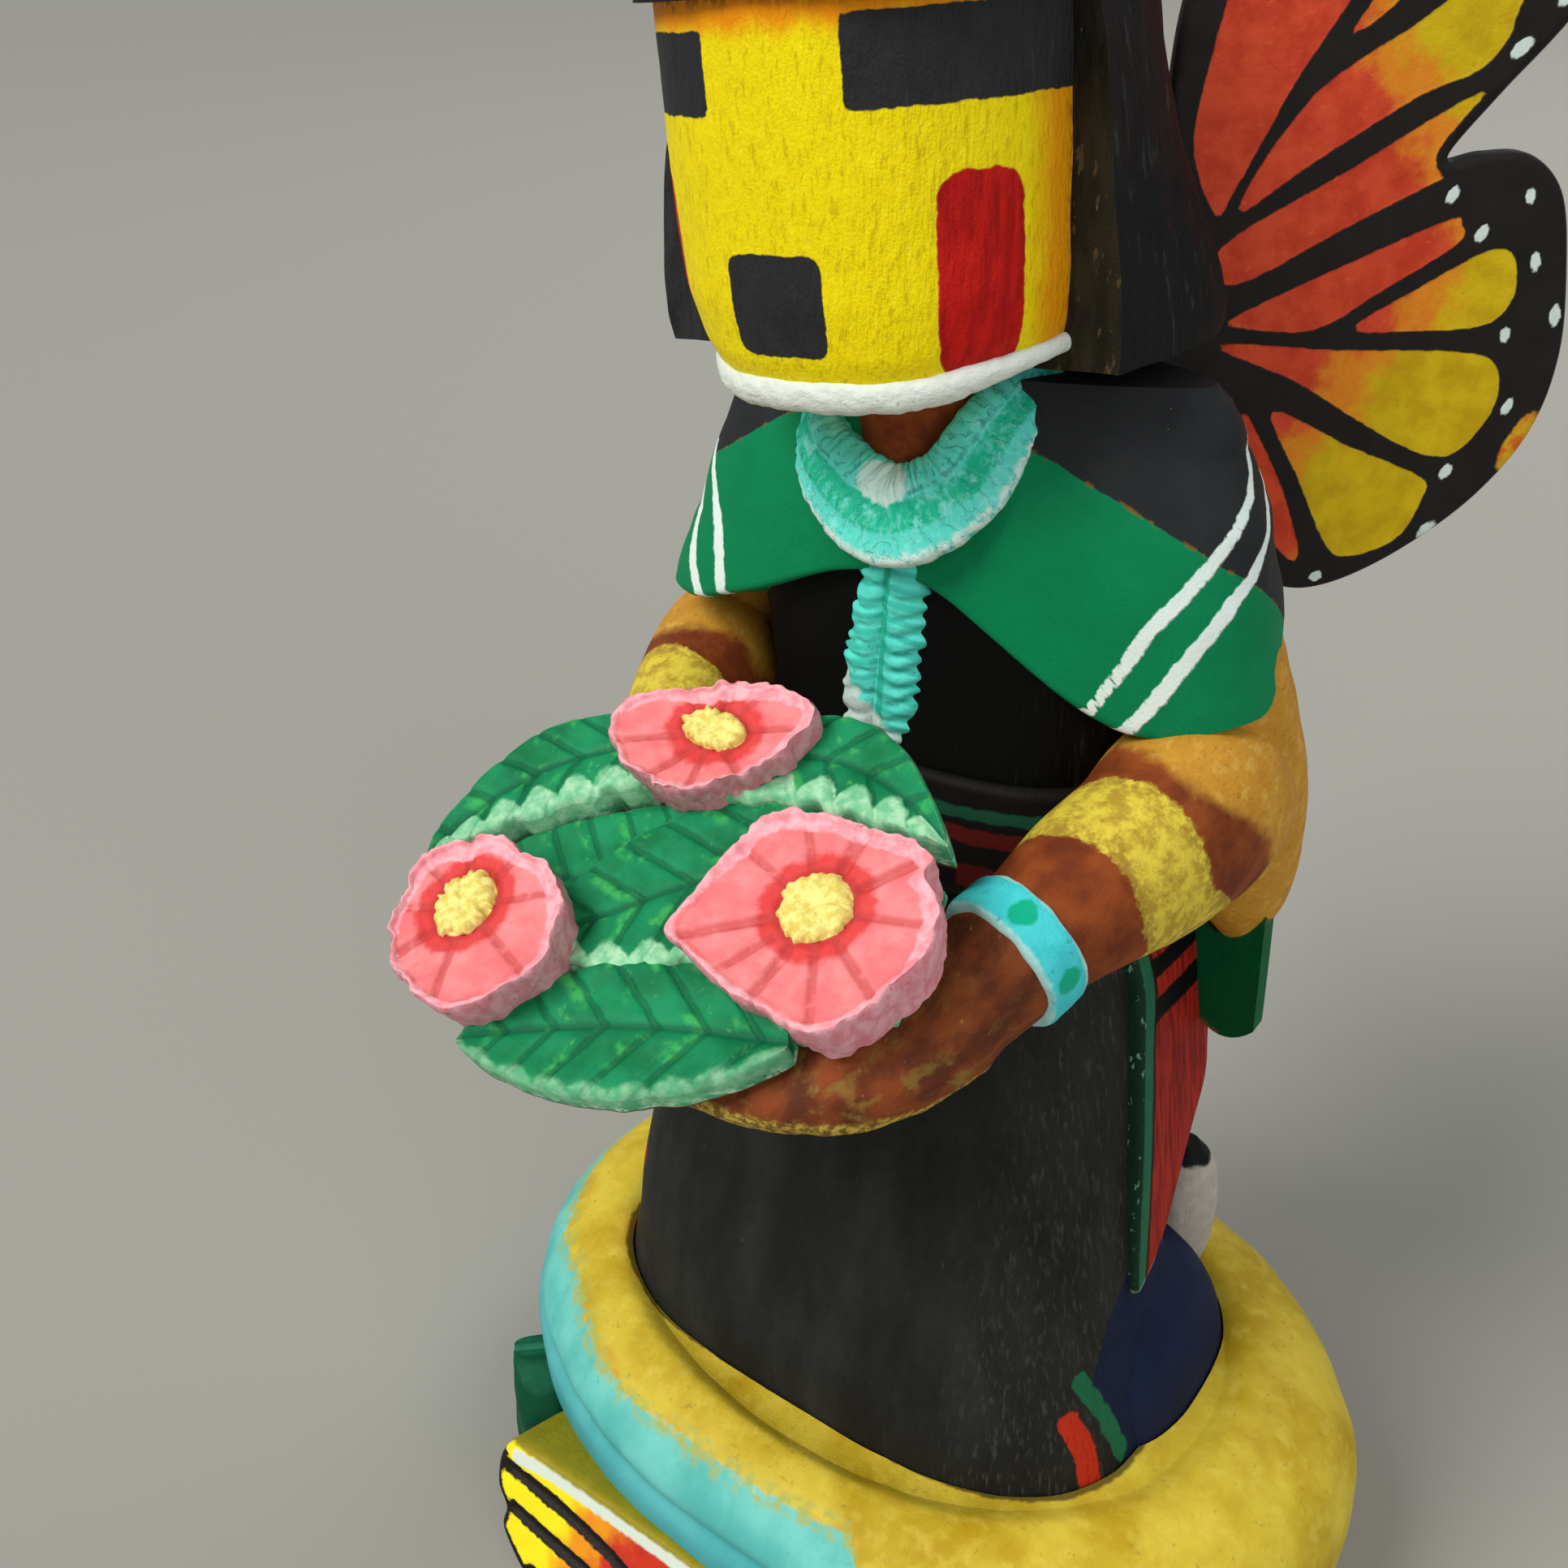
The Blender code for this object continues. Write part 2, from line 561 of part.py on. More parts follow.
def other_arm(obj):
    """The right arm: mirrored, then drawn in towards the body."""
    mirrored(obj)
    for v in obj.data.vertices:
        y = min(max(v.co.y / MM, ARM_IN[0][0]), ARM_IN[-1][0])
        for (a, da), (b, db) in zip(ARM_IN, ARM_IN[1:]):
            if y <= b:
                k = min(1.0, max(0.0, (v.co.z / MM - 156.0) / 12.0))
                v.co.x += (da + (db - da) * (y - a) / (b - a) + ARM_TOP_IN * k * k * (3.0 - 2.0 * k)) * MM
                break
    return obj


def build_figure():
    body = stations("figure", SKIRT, 24)
    parts = [
        stations("hem_lobe_left", HEM_LOBE, 16),
        stations("belt", [(z, *skirt_row(z)[1:3], skirt_row(z)[3] + g, skirt_row(z)[4] + g, skirt_row(z)[5] + g, 2.7)
                          for z, g in ((BELT_Z0, 0.4), (BELT_Z0 + 0.8, BELT_OUT), (BELT_Z1 - 0.8, BELT_OUT), (BELT_Z1, 0.4))], 24),
        cape("cape", CAPE_N, CAPE_LEVELS),
        tail("tail", 9),
        solid("neck", [section(z, 2.5, 7.0, NECK_R, NECK_R, NECK_R, 2.0, 12) for z in (180.0, 206.0)]),
        limb("upper_arm_left", ARM, 1, 10),
        limb("forearm_left", FOREARM, 1, 10),
        bracelet("bracelet_left", 1.0),
        other_arm(limb("upper_arm_right", ARM, 1, 10)),
        other_arm(limb("forearm_right", FOREARM, 1, 10)),
        other_arm(bracelet("bracelet_right", 1.0)),
        necklace("necklace", 2, 8),
        pendant("pendant"),
        sash("sash_left"),
        knob("sash_knob"),
    ]
    parts.append(mirrored(stations("hem_lobe_right", HEM_LOBE, 16)))
    hair = hair_solid("hair", 24)
    combine(hair, [hair_cutter()], "DIFFERENCE")
    parts += [hair, mask("mask", 24), chin_roll()]
    combine(body, parts)
    paint(body, "dress_black", (0.022, 0.022, 0.024), 0.75)
    return body


# ---------------------------------------------------------------- the base
def base_ring(k, z, n, grow=0.0):
    out = []
    for i in range(n):
        c, s = sup(2 * math.pi * i / n, BASE_P)
        out.append(Vector((BASE_C[0] + (BASE_A * k + grow) * c, BASE_C[1] + (BASE_B * k + grow) * s, z)))
    return out


def relief_wing(name, side):
    """One wing of the butterfly carved on the front of the base."""
    place = Matrix.Translation(Vector(RELIEF_AT)) @ Matrix.Rotation(RELIEF_TILT, 4, "X")
    return board(name, [(u * side, v) for u, v in loop(RELIEF, 2)], -14.0, 4.0, place)


def base_leaf(name):
    rings = []
    along = Vector((0.66, -0.75, 0.0))
    out = Vector((-0.75, -0.66, 0.0))
    for k, half in ((0.0, 9.5), (0.35, 11.0), (0.65, 9.5), (0.88, 5.5), (1.0, 2.0)):
        mid = Vector((*LEAF_AT, 27.0 * k - 1.0)) - out * (1.0 * k)
        rings.append([mid + along * half * c + out * s * 5.5
                      for c, s in ((-1, 0), (-0.5, -1), (0.5, -1), (1, 0), (0.5, 1), (-0.5, 1))])
    return solid(name, rings)


def build_base():
    n = 40
    rings = [base_ring(k, z, n) for k, z in BASE_PROFILE]
    base = solid("swirl_base", rings)
    parts = [relief_wing("relief_wing_right", 1.0), relief_wing("relief_wing_left", -1.0), base_leaf("base_leaf")]
    combine(base, parts, solver="MANIFOLD")
    floor = solid("floor_cutter", [[Vector((x, y, z)) for x, y in ((-120, -120), (120, -120), (120, 120), (-120, 120))]
                                   for z in (-60.0, 0.0)])
    well = [list(row) for row in SKIRT if row[0] <= 78.0]
    cut = [floor,
           stations("skirt_cutter", well, 24, GAP, GAP),
           stations("lobe_cutter_left", HEM_LOBE, 16, GAP, GAP)]
    cut.append(mirrored(stations("lobe_cutter_right", HEM_LOBE, 16, GAP, GAP)))
    cut.append(solid("knob_cutter", [section(z, 37.0, 31.5, 6.1, 6.1, 6.1, 2.0, 12) for z in (42.0, 80.0)]))
    combine(base, cut, "DIFFERENCE", "MANIFOLD")
    paint(base, "base_yellow", (0.58, 0.40, 0.03), 0.6)
    return base


# ---------------------------------------------------------------- the spray
def tray_place():
    return (Matrix.Translation(Vector(TRAY_P)) @ Matrix.Rotation(TRAY_TILT, 4, "X"))


def leaf(name, base, tip, half, bend, low, high, foot, n=9):
    place = tray_place()
    a, b = Vector(base).to_3d(), Vector(tip).to_3d()
    along = b - a
    across = Vector((-along.y, along.x, 0.0)).normalized()
    left, right = [], []
    for i in range(n + 1):
        k = i / n
        w = half * max(math.sin(math.pi * min(k * (1.0 - foot) + foot, 1.0)), 0.0) ** 0.75 if k < 1.0 else 0.0
        mid = a + along * k + across * bend * math.sin(math.pi * k)
        left.append(mid + across * w)
        if 0 < i < n:
            right.append(mid - across * w)
        elif i == 0:
            right.append(mid - across * w)
    outline = left + right[::-1]
    return board(name, [(p.x, p.y) for p in outline], low, high, place)


def blossom(name, centre, button, outline):
    """Broad petals with an upright edge round a low button."""
    place = tray_place()
    rim = BLOSSOM_RIM

    def petals(k, w):
        return [place @ Vector((centre[0] + k * (u - centre[0]), centre[1] + k * (v - centre[1]), w)) for u, v in outline]

    def middle(k, w):
        ring = []
        for u, v in outline:
            d = Vector((u - centre[0], v - centre[1])).normalized()
            r = k * button[0] * button[1] / math.hypot(button[1] * d.x, button[0] * d.y)
            ring.append(place @ Vector((centre[0] + d.x * r, centre[1] + d.y * r, w)))
        return ring
    return solid(name, [petals(0.93, -3.0), petals(1.0, rim - 1.2), petals(0.985, rim - 0.1), middle(1.06, rim - 1.0),
                        middle(0.95, rim - 0.4), middle(0.5, rim + 0.1)])


def build_spray():
    rows = [leaf(name, *rest) for name, *rest in LEAVES]
    spray = rows[-1]
    spray.name = spray.data.name = "flower_spray"
    flowers = [blossom("blossom_" + name, *rest) for name, *rest in BLOSSOMS]
    combine(spray, rows[:-1] + flowers, solver="MANIFOLD")
    hands = [limb("hand_cutter_left", FOREARM[3:], 1, 10, 1.0, GAP),
             other_arm(limb("hand_cutter_right", FOREARM[3:], 1, 10, 1.0, GAP))]
    combine(spray, hands, "DIFFERENCE", "MANIFOLD")
    paint(spray, "leaf_green", (0.02, 0.20, 0.07), 0.5)
    return spray


# ---------------------------------------------------------------- the wings
def build_wing(name, side):
    root = Vector(WING_ROOT)
    along = Vector((math.cos(WING_SWEEP), math.sin(WING_SWEEP), 0.0))
    out = Vector((math.sin(WING_SWEEP), -math.cos(WING_SWEEP), 0.0))
    outline = loop(WING, 2)
    rings = []
    for w in (-WING_THICK / 2, WING_THICK / 2):
        ring = [root + along * s + Vector((0, 0, h)) + out * w for s, h in outline]
        if side < 0:
            ring = [Vector((2 * BODY_X - p.x, p.y, p.z)) for p in ring]
        rings.append(ring)
    wing = solid(name, rings)
    cuts = [cape(name + "_cape_cutter", CAPE_N, CAPE_LEVELS, GAP), tail(name + "_tail_cutter", 9, GAP)]
    hair = hair_solid(name + "_hair_cutter", 24, GAP)
    combine(wing, cuts + [hair], "DIFFERENCE")
    paint(wing, name + "_black", (0.012, 0.012, 0.013), 0.55)
    return wing


def main():
    for obj in list(bpy.data.objects):
        bpy.data.objects.remove(obj, do_unlink=True)
    objs = [build_figure(), build_base(), build_spray(),
            build_wing("wing_left", 1.0), build_wing("wing_right", -1.0)]
    bpy.context.view_layer.update()
    return objs


main()
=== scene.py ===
"""Carved and painted wooden kachina doll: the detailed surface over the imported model.

Sizes are in millimetres in the model's own frame (+Z up, the figure faces -Y) and are
turned into metres when a mesh is made.
"""
import math

import bmesh
import bpy
import numpy as np
from mathutils import Matrix, Vector
from mathutils.geometry import delaunay_2d_cdt


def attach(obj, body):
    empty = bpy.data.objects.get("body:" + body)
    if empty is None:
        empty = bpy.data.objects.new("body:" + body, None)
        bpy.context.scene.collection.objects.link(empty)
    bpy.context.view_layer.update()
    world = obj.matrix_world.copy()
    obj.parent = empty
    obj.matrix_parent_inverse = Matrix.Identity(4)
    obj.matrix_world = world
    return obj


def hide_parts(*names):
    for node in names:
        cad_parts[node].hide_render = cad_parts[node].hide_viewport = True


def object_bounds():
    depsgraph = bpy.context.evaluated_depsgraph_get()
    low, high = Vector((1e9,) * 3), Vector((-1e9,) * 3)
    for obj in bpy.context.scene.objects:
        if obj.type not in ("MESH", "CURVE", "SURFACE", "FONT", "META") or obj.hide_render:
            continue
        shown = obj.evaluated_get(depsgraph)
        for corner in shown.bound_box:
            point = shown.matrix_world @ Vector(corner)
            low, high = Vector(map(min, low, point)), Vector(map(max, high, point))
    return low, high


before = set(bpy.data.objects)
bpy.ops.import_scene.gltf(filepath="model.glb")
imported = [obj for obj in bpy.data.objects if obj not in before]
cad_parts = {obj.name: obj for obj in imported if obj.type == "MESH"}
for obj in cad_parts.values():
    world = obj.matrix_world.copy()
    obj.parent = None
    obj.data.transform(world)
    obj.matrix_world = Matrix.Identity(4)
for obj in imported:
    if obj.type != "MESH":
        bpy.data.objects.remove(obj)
CAD_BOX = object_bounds()
MM = 0.001
GAP = 0.3

# ------------------------------------------------------------------ sizes of the carving
SKIRT_FOOT = 14.0
BODY_X, BODY_YAW = 2.5, math.radians(6.0)
SKIRT = (                 # z, centre x, centre y, half width, front, back, squareness
    (SKIRT_FOOT, 0.0, 2.0, 49.0, 30.0, 29.0, 3.0),
    (28.0, 0.0, 2.0, 50.0, 31.0, 29.5, 3.0),
    (40.0, 0.0, 1.5, 48.5, 31.0, 29.5, 2.9),
    (50.0, -0.5, 2.0, 45.5, 30.0, 28.0, 3.0),
    (60.0, -1.5, 3.0, 43.5, 28.5, 26.5, 3.2),
    (78.0, -1.8, 5.5, 40.3, 25.5, 24.5, 3.3),
    (100.0, -0.3, 8.5, 35.8, 22.0, 22.5, 3.2),
    (120.0, 1.5, 11.0, 30.5, 18.5, 19.5, 2.9),
    (136.0, BODY_X, 12.5, 27.0, 16.0, 17.5, 2.7),
    (150.0, BODY_X, 13.0, 27.5, 16.0, 18.0, 2.6),
    (166.0, BODY_X, 13.0, 29.5, 16.5, 19.0, 2.5),
    (182.0, 3.0, 12.0, 26.0, 14.5, 17.0, 2.4),
)
HEM_LOBE = (
    (SKIRT_FOOT + 0.9, 38.0, 9.0, 13.0, 19.0, 22.0, 2.6),
    (34.0, 38.0, 9.0, 14.5, 20.0, 22.5, 2.6),
    (44.0, 36.5, 9.5, 14.0, 19.0, 21.5, 2.5),
    (52.0, 34.0, 10.0, 12.5, 16.5, 19.0, 2.3),
    (58.0, 31.0, 10.0, 9.0, 12.0, 14.0, 2.2),
    (61.0, 29.0, 10.0, 4.0, 6.0, 7.0, 2.0),
)
BELT_Z0, BELT_Z1, BELT_OUT = 129.0, 146.0, 1.3
MASK_C = (1.2, 0.5)
MASK_A, MASK_B, MASK_P = 25.2, 22.9, 2.28
MASK_Z0, MASK_Z1 = 198.5, 246.0
MASK_RISE, CHIN_ROLL_R = 3.5, 1.9
HAIR_C = (3.0, 0.8)
HAIR_A, HAIR_B, HAIR_P = 28.8, 25.5, 2.8
HAIR_Z0, HEAD_TOP = 200.0, 254.0
HAIR = (                  # z, half width left, right, front, back, flare towards the back
    (200.0, 28.9, 34.6, 26.3, 29.6, 4.6), (202.0, 29.2, 35.6, 27.5, 31.1, 4.8), (209.0, 29.0, 35.4, 27.5, 30.6, 3.8),
    (222.0, 28.2, 33.2, 26.5, 28.2, 0.4), (232.0, 27.4, 29.8, 26.0, 26.4, -0.6), (242.0, 26.0, 26.4, 24.0, 24.0, 0.0),
    (248.0, 23.8, 24.0, 22.2, 22.2, 0.0), (252.0, 19.0, 19.5, 17.9, 17.9, 0.0), (HEAD_TOP, 11.4, 12.0, 10.7, 10.7, 0.0),
)
HAIR_FRONT = -2.5         # the side hair is cut flat here
HEAD_LEAN, HEAD_PIVOT = math.radians(-3.4), (0.0, 0.0, 195.0)
NECK_R = 10.5
COLLAR = (                # necklace midline: x, y, z, half width
    (-15.0, 9.0, 193.0, 3.6), (-12.2, 1.5, 191.0, 4.4), (-6.2, -4.0, 185.6, 5.4),
    (3.8, -6.2, 181.8, 6.4), (12.2, -4.4, 186.0, 5.6), (15.4, 1.0, 193.4, 4.8),
    (17.0, 9.0, 197.5, 3.6),
)
COLLAR_MID, COLLAR_LIFT = (3.6, 14.0), 2.4
CAPE = (
    (198.0, 3.0, 8.0, 13.0, 8.0, 12.0, 2.0),
    (194.0, 4.5, 9.5, 21.0, 9.5, 15.5, 2.1),
    (188.0, 5.5, 11.0, 29.0, 13.5, 18.5, 2.2),
    (180.0, 5.5, 12.0, 35.5, 16.5, 20.0, 2.3),
    (170.0, 4.5, 13.0, 40.5, 18.0, 20.5, 2.4),
    (158.0, 4.0, 14.0, 43.0, 19.0, 20.5, 2.4),
    (148.0, 4.0, 15.0, 43.5, 19.5, 20.0, 2.4),
)
CAPE_OUT = np.array(((148.0, 4.2), (160.0, 4.1), (164.0, 3.9), (169.0, 2.7), (174.0, 2.5), (178.0, 3.4), (182.0, 4.7),
            (186.5, 6.1), (190.0, 7.8), (198.0, 6.0)))     # z, how much wider the right half is
CAPE_LEFT = np.array(((148.0, 0.0), (166.0, 0.3), (171.0, 0.9), (174.0, 1.3), (178.0, 2.2), (181.0, 3.6), (184.0, 4.8),
             (186.4, 6.0), (190.0, 8.8), (193.0, 13.4), (196.0, 18.0), (198.0, 19.0)))     # and the left shoulder
HEM_LEFT = ((0.0, 175.0), (12.0, 167.5), (20.0, 163.2), (30.0, 158.7), (40.0, 156.0), (50.0, 156.3), (66.0, 157.0),
            (82.0, 157.5), (88.0, 160.0), (93.0, 168.0), (100.0, 171.0), (180.0, 171.0))      # angle from the front, height
HEM_RIGHT = ((0.0, 175.0), (12.0, 173.5), (30.0, 167.0), (50.0, 162.0), (66.0, 161.5),
             (90.0, 160.5), (100.0, 164.0), (115.0, 171.0), (180.0, 171.0))
TAIL_Z0, TAIL_Z1, TAIL_RISE = 90.0, 172.0, 22.0
TAIL_HALF, TAIL_Y, TAIL_THICK = 47.5, 36.0, 3.4
ARM_IN = np.array((       # y, how far the right arm's row moves in towards the body
    (-50.0, 0.0), (-40.0, 4.0), (-30.0, 8.5), (-22.0, 9.5), (-12.0, 7.5), (0.0, 4.0), (12.0, 1.0), (20.0, -0.8), (30.0, -1.5)))
ARM_TOP_IN = 7.0
ARM = (
    (31.0, 12.5, 176.0, 8.0, 7.0), (35.4, 16.0, 167.0, 9.6, 8.8), (37.8, 19.5, 156.0, 9.8, 9.8),
    (39.3, 23.5, 142.0, 10.3, 10.3), (40.0, 27.0, 130.0, 9.2, 9.2), (40.8, 29.5, 120.5, 6.8, 6.8),
    (41.2, 31.0, 112.0, 2.6, 2.6),
)
FOREARM = (
    (40.5, 22.0, 139.0, 9.5, 11.5), (39.4, 11.0, 143.0, 12.0, 14.0), (38.6, -1.0, 142.5, 11.0, 12.4),
    (36.2, -12.0, 141.5, 9.8, 10.4), (33.8, -22.0, 139.5, 8.2, 8.6), (31.5, -30.0, 137.0, 8.0, 7.8),
    (28.0, -38.0, 134.2, 9.8, 7.6), (22.0, -45.0, 132.4, 11.0, 6.8), (14.0, -50.0, 131.0, 9.5, 5.6),
    (7.0, -52.5, 130.0, 6.0, 3.8),
)
BRACELET_AT, BRACELET_HALF, BRACELET_OUT = 4.25, 3.2, 1.1
SASH = (                  # z, front y, back y, outer x
    (62.5, 2.3, 9.5, 41.4), (65.0, 2.4, 15.0, 41.0), (85.0, 5.8, 31.8, 38.6), (112.0, 10.0, 35.3, 34.8),
    (132.0, 9.0, 30.0, 28.5),
)
KNOB = ((42.5, 4.0), (48.0, 5.4), (58.0, 5.8), (64.0, 5.0), (67.5, 3.0), (68.6, 1.2))
KNOB_AT = (37.0, 31.5)

TRAY_P, TRAY_TILT, TRAY_FLOOR = (0.0, -46.0, 146.0), math.radians(28.0), -4.5
LEAVES = (                # name, base u v, tip u v, half width, bend, underside, top
    ("middle", (30.0, 6.0), (-30.0, -4.0), 15.0, 0.0, TRAY_FLOOR, -1.2),
    ("upper_left", (-9.0, 20.0), (-37.0, -7.5), 7.0, -6.0, -5.0, 1.6),
    ("upper_right", (-8.0, 16.0), (27.3, 18.3), 6.8, 6.5, -5.0, 1.6),
    ("centre", (12.0, 14.0), (-16.0, -12.0), 11.0, 0.0, TRAY_FLOOR, 0.0),
    ("front", (22.5, -10.0), (-16.5, -26.0), 8.8, -1.7, TRAY_FLOOR, 0.0),
)
BLOSSOMS = (              # name, centre u v, button radii, outline of the petals in the tray's plane
    ("back", (-6.6, 21.0), (4.6, 2.7), (
        (-21.0, 18.6), (-20.0, 15.6), (-17.4, 13.6), (-13.2, 11.8), (-8.0, 11.2), (-3.4, 12.4), (1.0, 16.2),
        (4.4, 20.6), (5.4, 27.4), (0.1, 28.8), (-5.5, 28.2), (-9.3, 27.2), (-10.9, 25.7), (-18.2, 22.6))),
    ("right", (19.3, 4.0), (4.3, 4.4), (
        (4.9, -5.6), (4.8, -1.2), (5.3, 4.4), (7.0, 10.8), (9.5, 13.2), (15.3, 14.9), (20.7, 15.2), (28.9, 14.6),
        (29.6, 12.0), (32.2, 10.0), (33.8, 6.9), (34.1, 2.6), (33.2, -1.4), (31.0, -5.8), (28.6, -8.7),
        (25.0, -9.9), (19.3, -9.4), (13.2, -8.2))),
    ("left", (-23.0, -12.0), (3.9, 4.4), (
        (-32.5, -8.9), (-28.4, -5.1), (-25.0, -2.9), (-20.8, -3.0), (-14.6, -3.8), (-10.8, -6.5), (-8.4, -10.5),
        (-7.3, -14.8), (-9.2, -19.2), (-12.9, -23.4), (-19.0, -24.6), (-25.9, -22.8), (-29.8, -18.6), (-31.4, -13.6))),
)
BLOSSOM_RIM = 5.4
WING_ROOT, WING_SWEEP, WING_THICK = (10.0, 26.0, 195.0), math.radians(42.0), 2.8
WING = (
    (-2.0, -10.0), (9.0, -13.0), (17.0, -14.5), (23.0, -23.5), (29.0, -32.0),
    (34.0, -35.2), (41.0, -34.6), (50.0, -30.3), (59.0, -23.3), (65.2, -14.5),
    (67.2, -4.0), (65.6, 8.0), (63.0, 16.8), (58.0, 21.4), (52.0, 21.9),
    (47.2, 21.6), (52.5, 28.4), (60.0, 36.8), (66.0, 46.5), (69.6, 57.0),
    (69.6, 67.5), (65.0, 75.5), (56.5, 78.6), (45.0, 75.8), (33.0, 68.5),
    (22.5, 58.0), (15.0, 48.0), (12.0, 39.0), (11.0, 25.0), (10.5, 12.0),
    (6.0, 8.0), (-2.0, 8.0),
)
FORE_CELLS = (
    ((18.0, 16.4), (20.2, 19.1), (26.3, 31.0), (31.9, 39.8), (37.5, 50.0), (40.5, 60.0), (38.0, 64.0),
     (31.0, 60.5), (23.0, 52.5), (18.3, 44.5), (15.7, 34.1), (14.5, 24.5)),
    ((32.6, 36.2), (37.7, 39.3), (44.5, 47.0), (50.0, 57.0), (52.0, 66.0), (48.0, 69.5), (44.0, 65.0),
     (41.0, 54.0), (35.4, 41.0)),
    ((20.8, 16.6), (28.9, 29.6), (42.7, 38.4), (50.0, 46.0), (56.5, 56.0), (60.5, 62.5), (63.0, 58.0),
     (61.0, 51.0), (57.5, 44.0), (53.3, 38.9), (52.2, 34.7), (48.9, 31.3), (42.3, 29.0), (30.0, 22.0)),
    ((19.1, 12.3), (34.0, 20.5), (49.4, 28.8), (52.8, 28.0), (53.3, 25.3), (50.8, 21.3), (36.0, 14.3), (21.4, 7.6)),
)
HIND_CELLS = (
    ((21.9, 3.5), (35.0, 9.0), (48.5, 14.1), (50.3, 13.4), (50.3, 11.2), (41.5, 6.0), (32.7, 1.3), (22.3, 2.2)),
    ((38.0, 1.1), (46.0, 5.8), (53.7, 9.7), (57.4, 9.8), (59.0, 6.6), (58.7, 3.0), (55.3, 0.4), (46.0, 0.3)),
    ((20.0, 0.0), (36.0, -1.6), (53.2, -2.9), (58.4, -5.1), (59.2, -10.8), (55.1, -16.6), (50.0, -16.5),
     (42.1, -12.3), (31.0, -5.4)),
    ((28.4, -9.3), (40.0, -15.0), (50.6, -19.9), (51.3, -23.1), (48.6, -28.7), (42.1, -30.9), (38.5, -29.1),
     (33.5, -19.5)),
    ((24.3, -9.3), (27.2, -13.1), (31.4, -21.0), (34.5, -29.2), (33.6, -30.8), (30.0, -27.0), (25.6, -19.5)),
)
WING_DOTS = (             # along, above the root, long radius, short radius, turn
    (54.2, 33.7, 1.6, 0.9, 40), (48.5, 17.1, 1.2, 0.7, 60), (53.2, 12.2, 1.2, 0.8, 60), (58.8, 16.4, 1.1, 0.7, 100),
    (61.2, 8.2, 1.4, 0.7, 100), (65.3, 1.2, 1.6, 0.8, 95), (58.9, -1.0, 1.1, 0.7, 95), (61.1, -10.8, 1.3, 0.7, 70),
    (54.0, -19.4, 1.2, 0.8, 60), (52.6, -27.6, 1.6, 0.8, 40), (37.6, -33.6, 1.0, 0.8, 10),
    (58.7, 39.2, 1.5, 0.8, 55), (62.6, 46.4, 1.5, 0.8, 60), (65.6, 54.0, 1.5, 0.8, 75), (66.9, 62.0, 1.4, 0.8, 90),
    (64.4, 69.6, 1.4, 0.8, 120), (58.6, 74.4, 1.4, 0.8, 160), (50.4, 74.6, 1.3, 0.8, 190), (41.6, 70.8, 1.2, 0.8, 205),
    (56.6, 63.0, 0.9, 0.7, 60), (58.8, 68.6, 0.9, 0.7, 120),
)
WING_FOCUS = (14.0, 5.0)

BASE_C = (3.0, 4.0)
BASE_A, BASE_B, BASE_P = 75.0, 55.5, 2.15
BASE_PROFILE = (
    (0.900, 0.0), (0.960, 10.5), (0.995, 21.0), (0.990, 28.5),
    (0.955, 34.5), (0.895, 39.0), (0.815, 42.0), (0.745, 42.5), (0.690, 40.5),
)
RELIEF_AT, RELIEF_TILT = (4.0, -57.3, 0.0), math.radians(68.0)
RELIEF = (
    (-6.0, -2.0), (-24.0, -3.0), (-38.0, 0.5), (-46.0, 6.5), (-46.3, 11.0),
    (-49.0, 14.5), (-49.2, 20.0), (-45.0, 23.8), (-30.0, 24.4), (-10.0, 24.2),
    (0.0, 23.0), (4.0, 18.0), (4.0, -2.0),
)
LEAF_AT = (-51.5, -37.0)


# ------------------------------------------------------------------ numbers
def lattice(ix, iy, iz, seed):
    h = (ix * 374761393 + iy * 668265263 + iz * 1440662683 + seed * 974634777) & 0xFFFFFFFF
    h = ((h ^ (h >> 13)) * 1274126177) & 0xFFFFFFFF
    return ((h ^ (h >> 16)) & 0xFFFF) / 32767.5 - 1.0


def noise(p, size, seed=0, octaves=1):
    """Smooth lattice noise in -1..1 at points p; size is one number or three."""
    out, amp, total = 0.0, 1.0, 0.0
    q = np.asarray(p, float) / np.asarray(size, float)
    for k in range(octaves):
        base = np.floor(q).astype(np.int64)
        f = q - base
        f = f * f * (3 - 2 * f)
        acc = 0.0
        for dx in (0, 1):
            for dy in (0, 1):
                for dz in (0, 1):
                    w = ((f[..., 0] if dx else 1 - f[..., 0]) * (f[..., 1] if dy else 1 - f[..., 1])
                         * (f[..., 2] if dz else 1 - f[..., 2]))
                    acc = acc + w * lattice(base[..., 0] + dx, base[..., 1] + dy, base[..., 2] + dz, seed + 17 * k)
        out = out + amp * acc
        total += amp
        amp *= 0.5
        q = q * 2.03 + 5.3
    return out / total


def spow(v, e):
    return np.sign(v) * np.abs(v) ** e


def smooth(a, b, x):
    k = np.clip((x - a) / (b - a), 0, 1)
    return k * k * (3 - 2 * k)


def rows_at(rows, z, soft=0.0):
    """Reads a table of rows at heights z, with its corners rounded off over soft mm."""
    r = np.array(sorted(rows), float)
    offs = np.linspace(-1, 1, 7) if soft else np.zeros(1)
    out = 0.0
    for o in offs:
        zz = np.clip(z + o * soft, r[0, 0], r[-1, 0])
        out = out + np.stack([np.interp(zz, r[:, 0], r[:, i]) for i in range(1, r.shape[1])], -1)
    return out / len(offs)


def section(v, t, grow=0.0):
    """Sections for table values v (..., 6) at angles t: half width, front, back, squareness."""
    e = 2.0 / v[..., 5]
    c, s = spow(np.cos(t), e), spow(np.sin(t), e)
    x = v[..., 0] + (v[..., 2] + grow) * c
    y = v[..., 1] + np.where(s > 0, v[..., 4] + grow, v[..., 3] + grow) * s
    return x, y


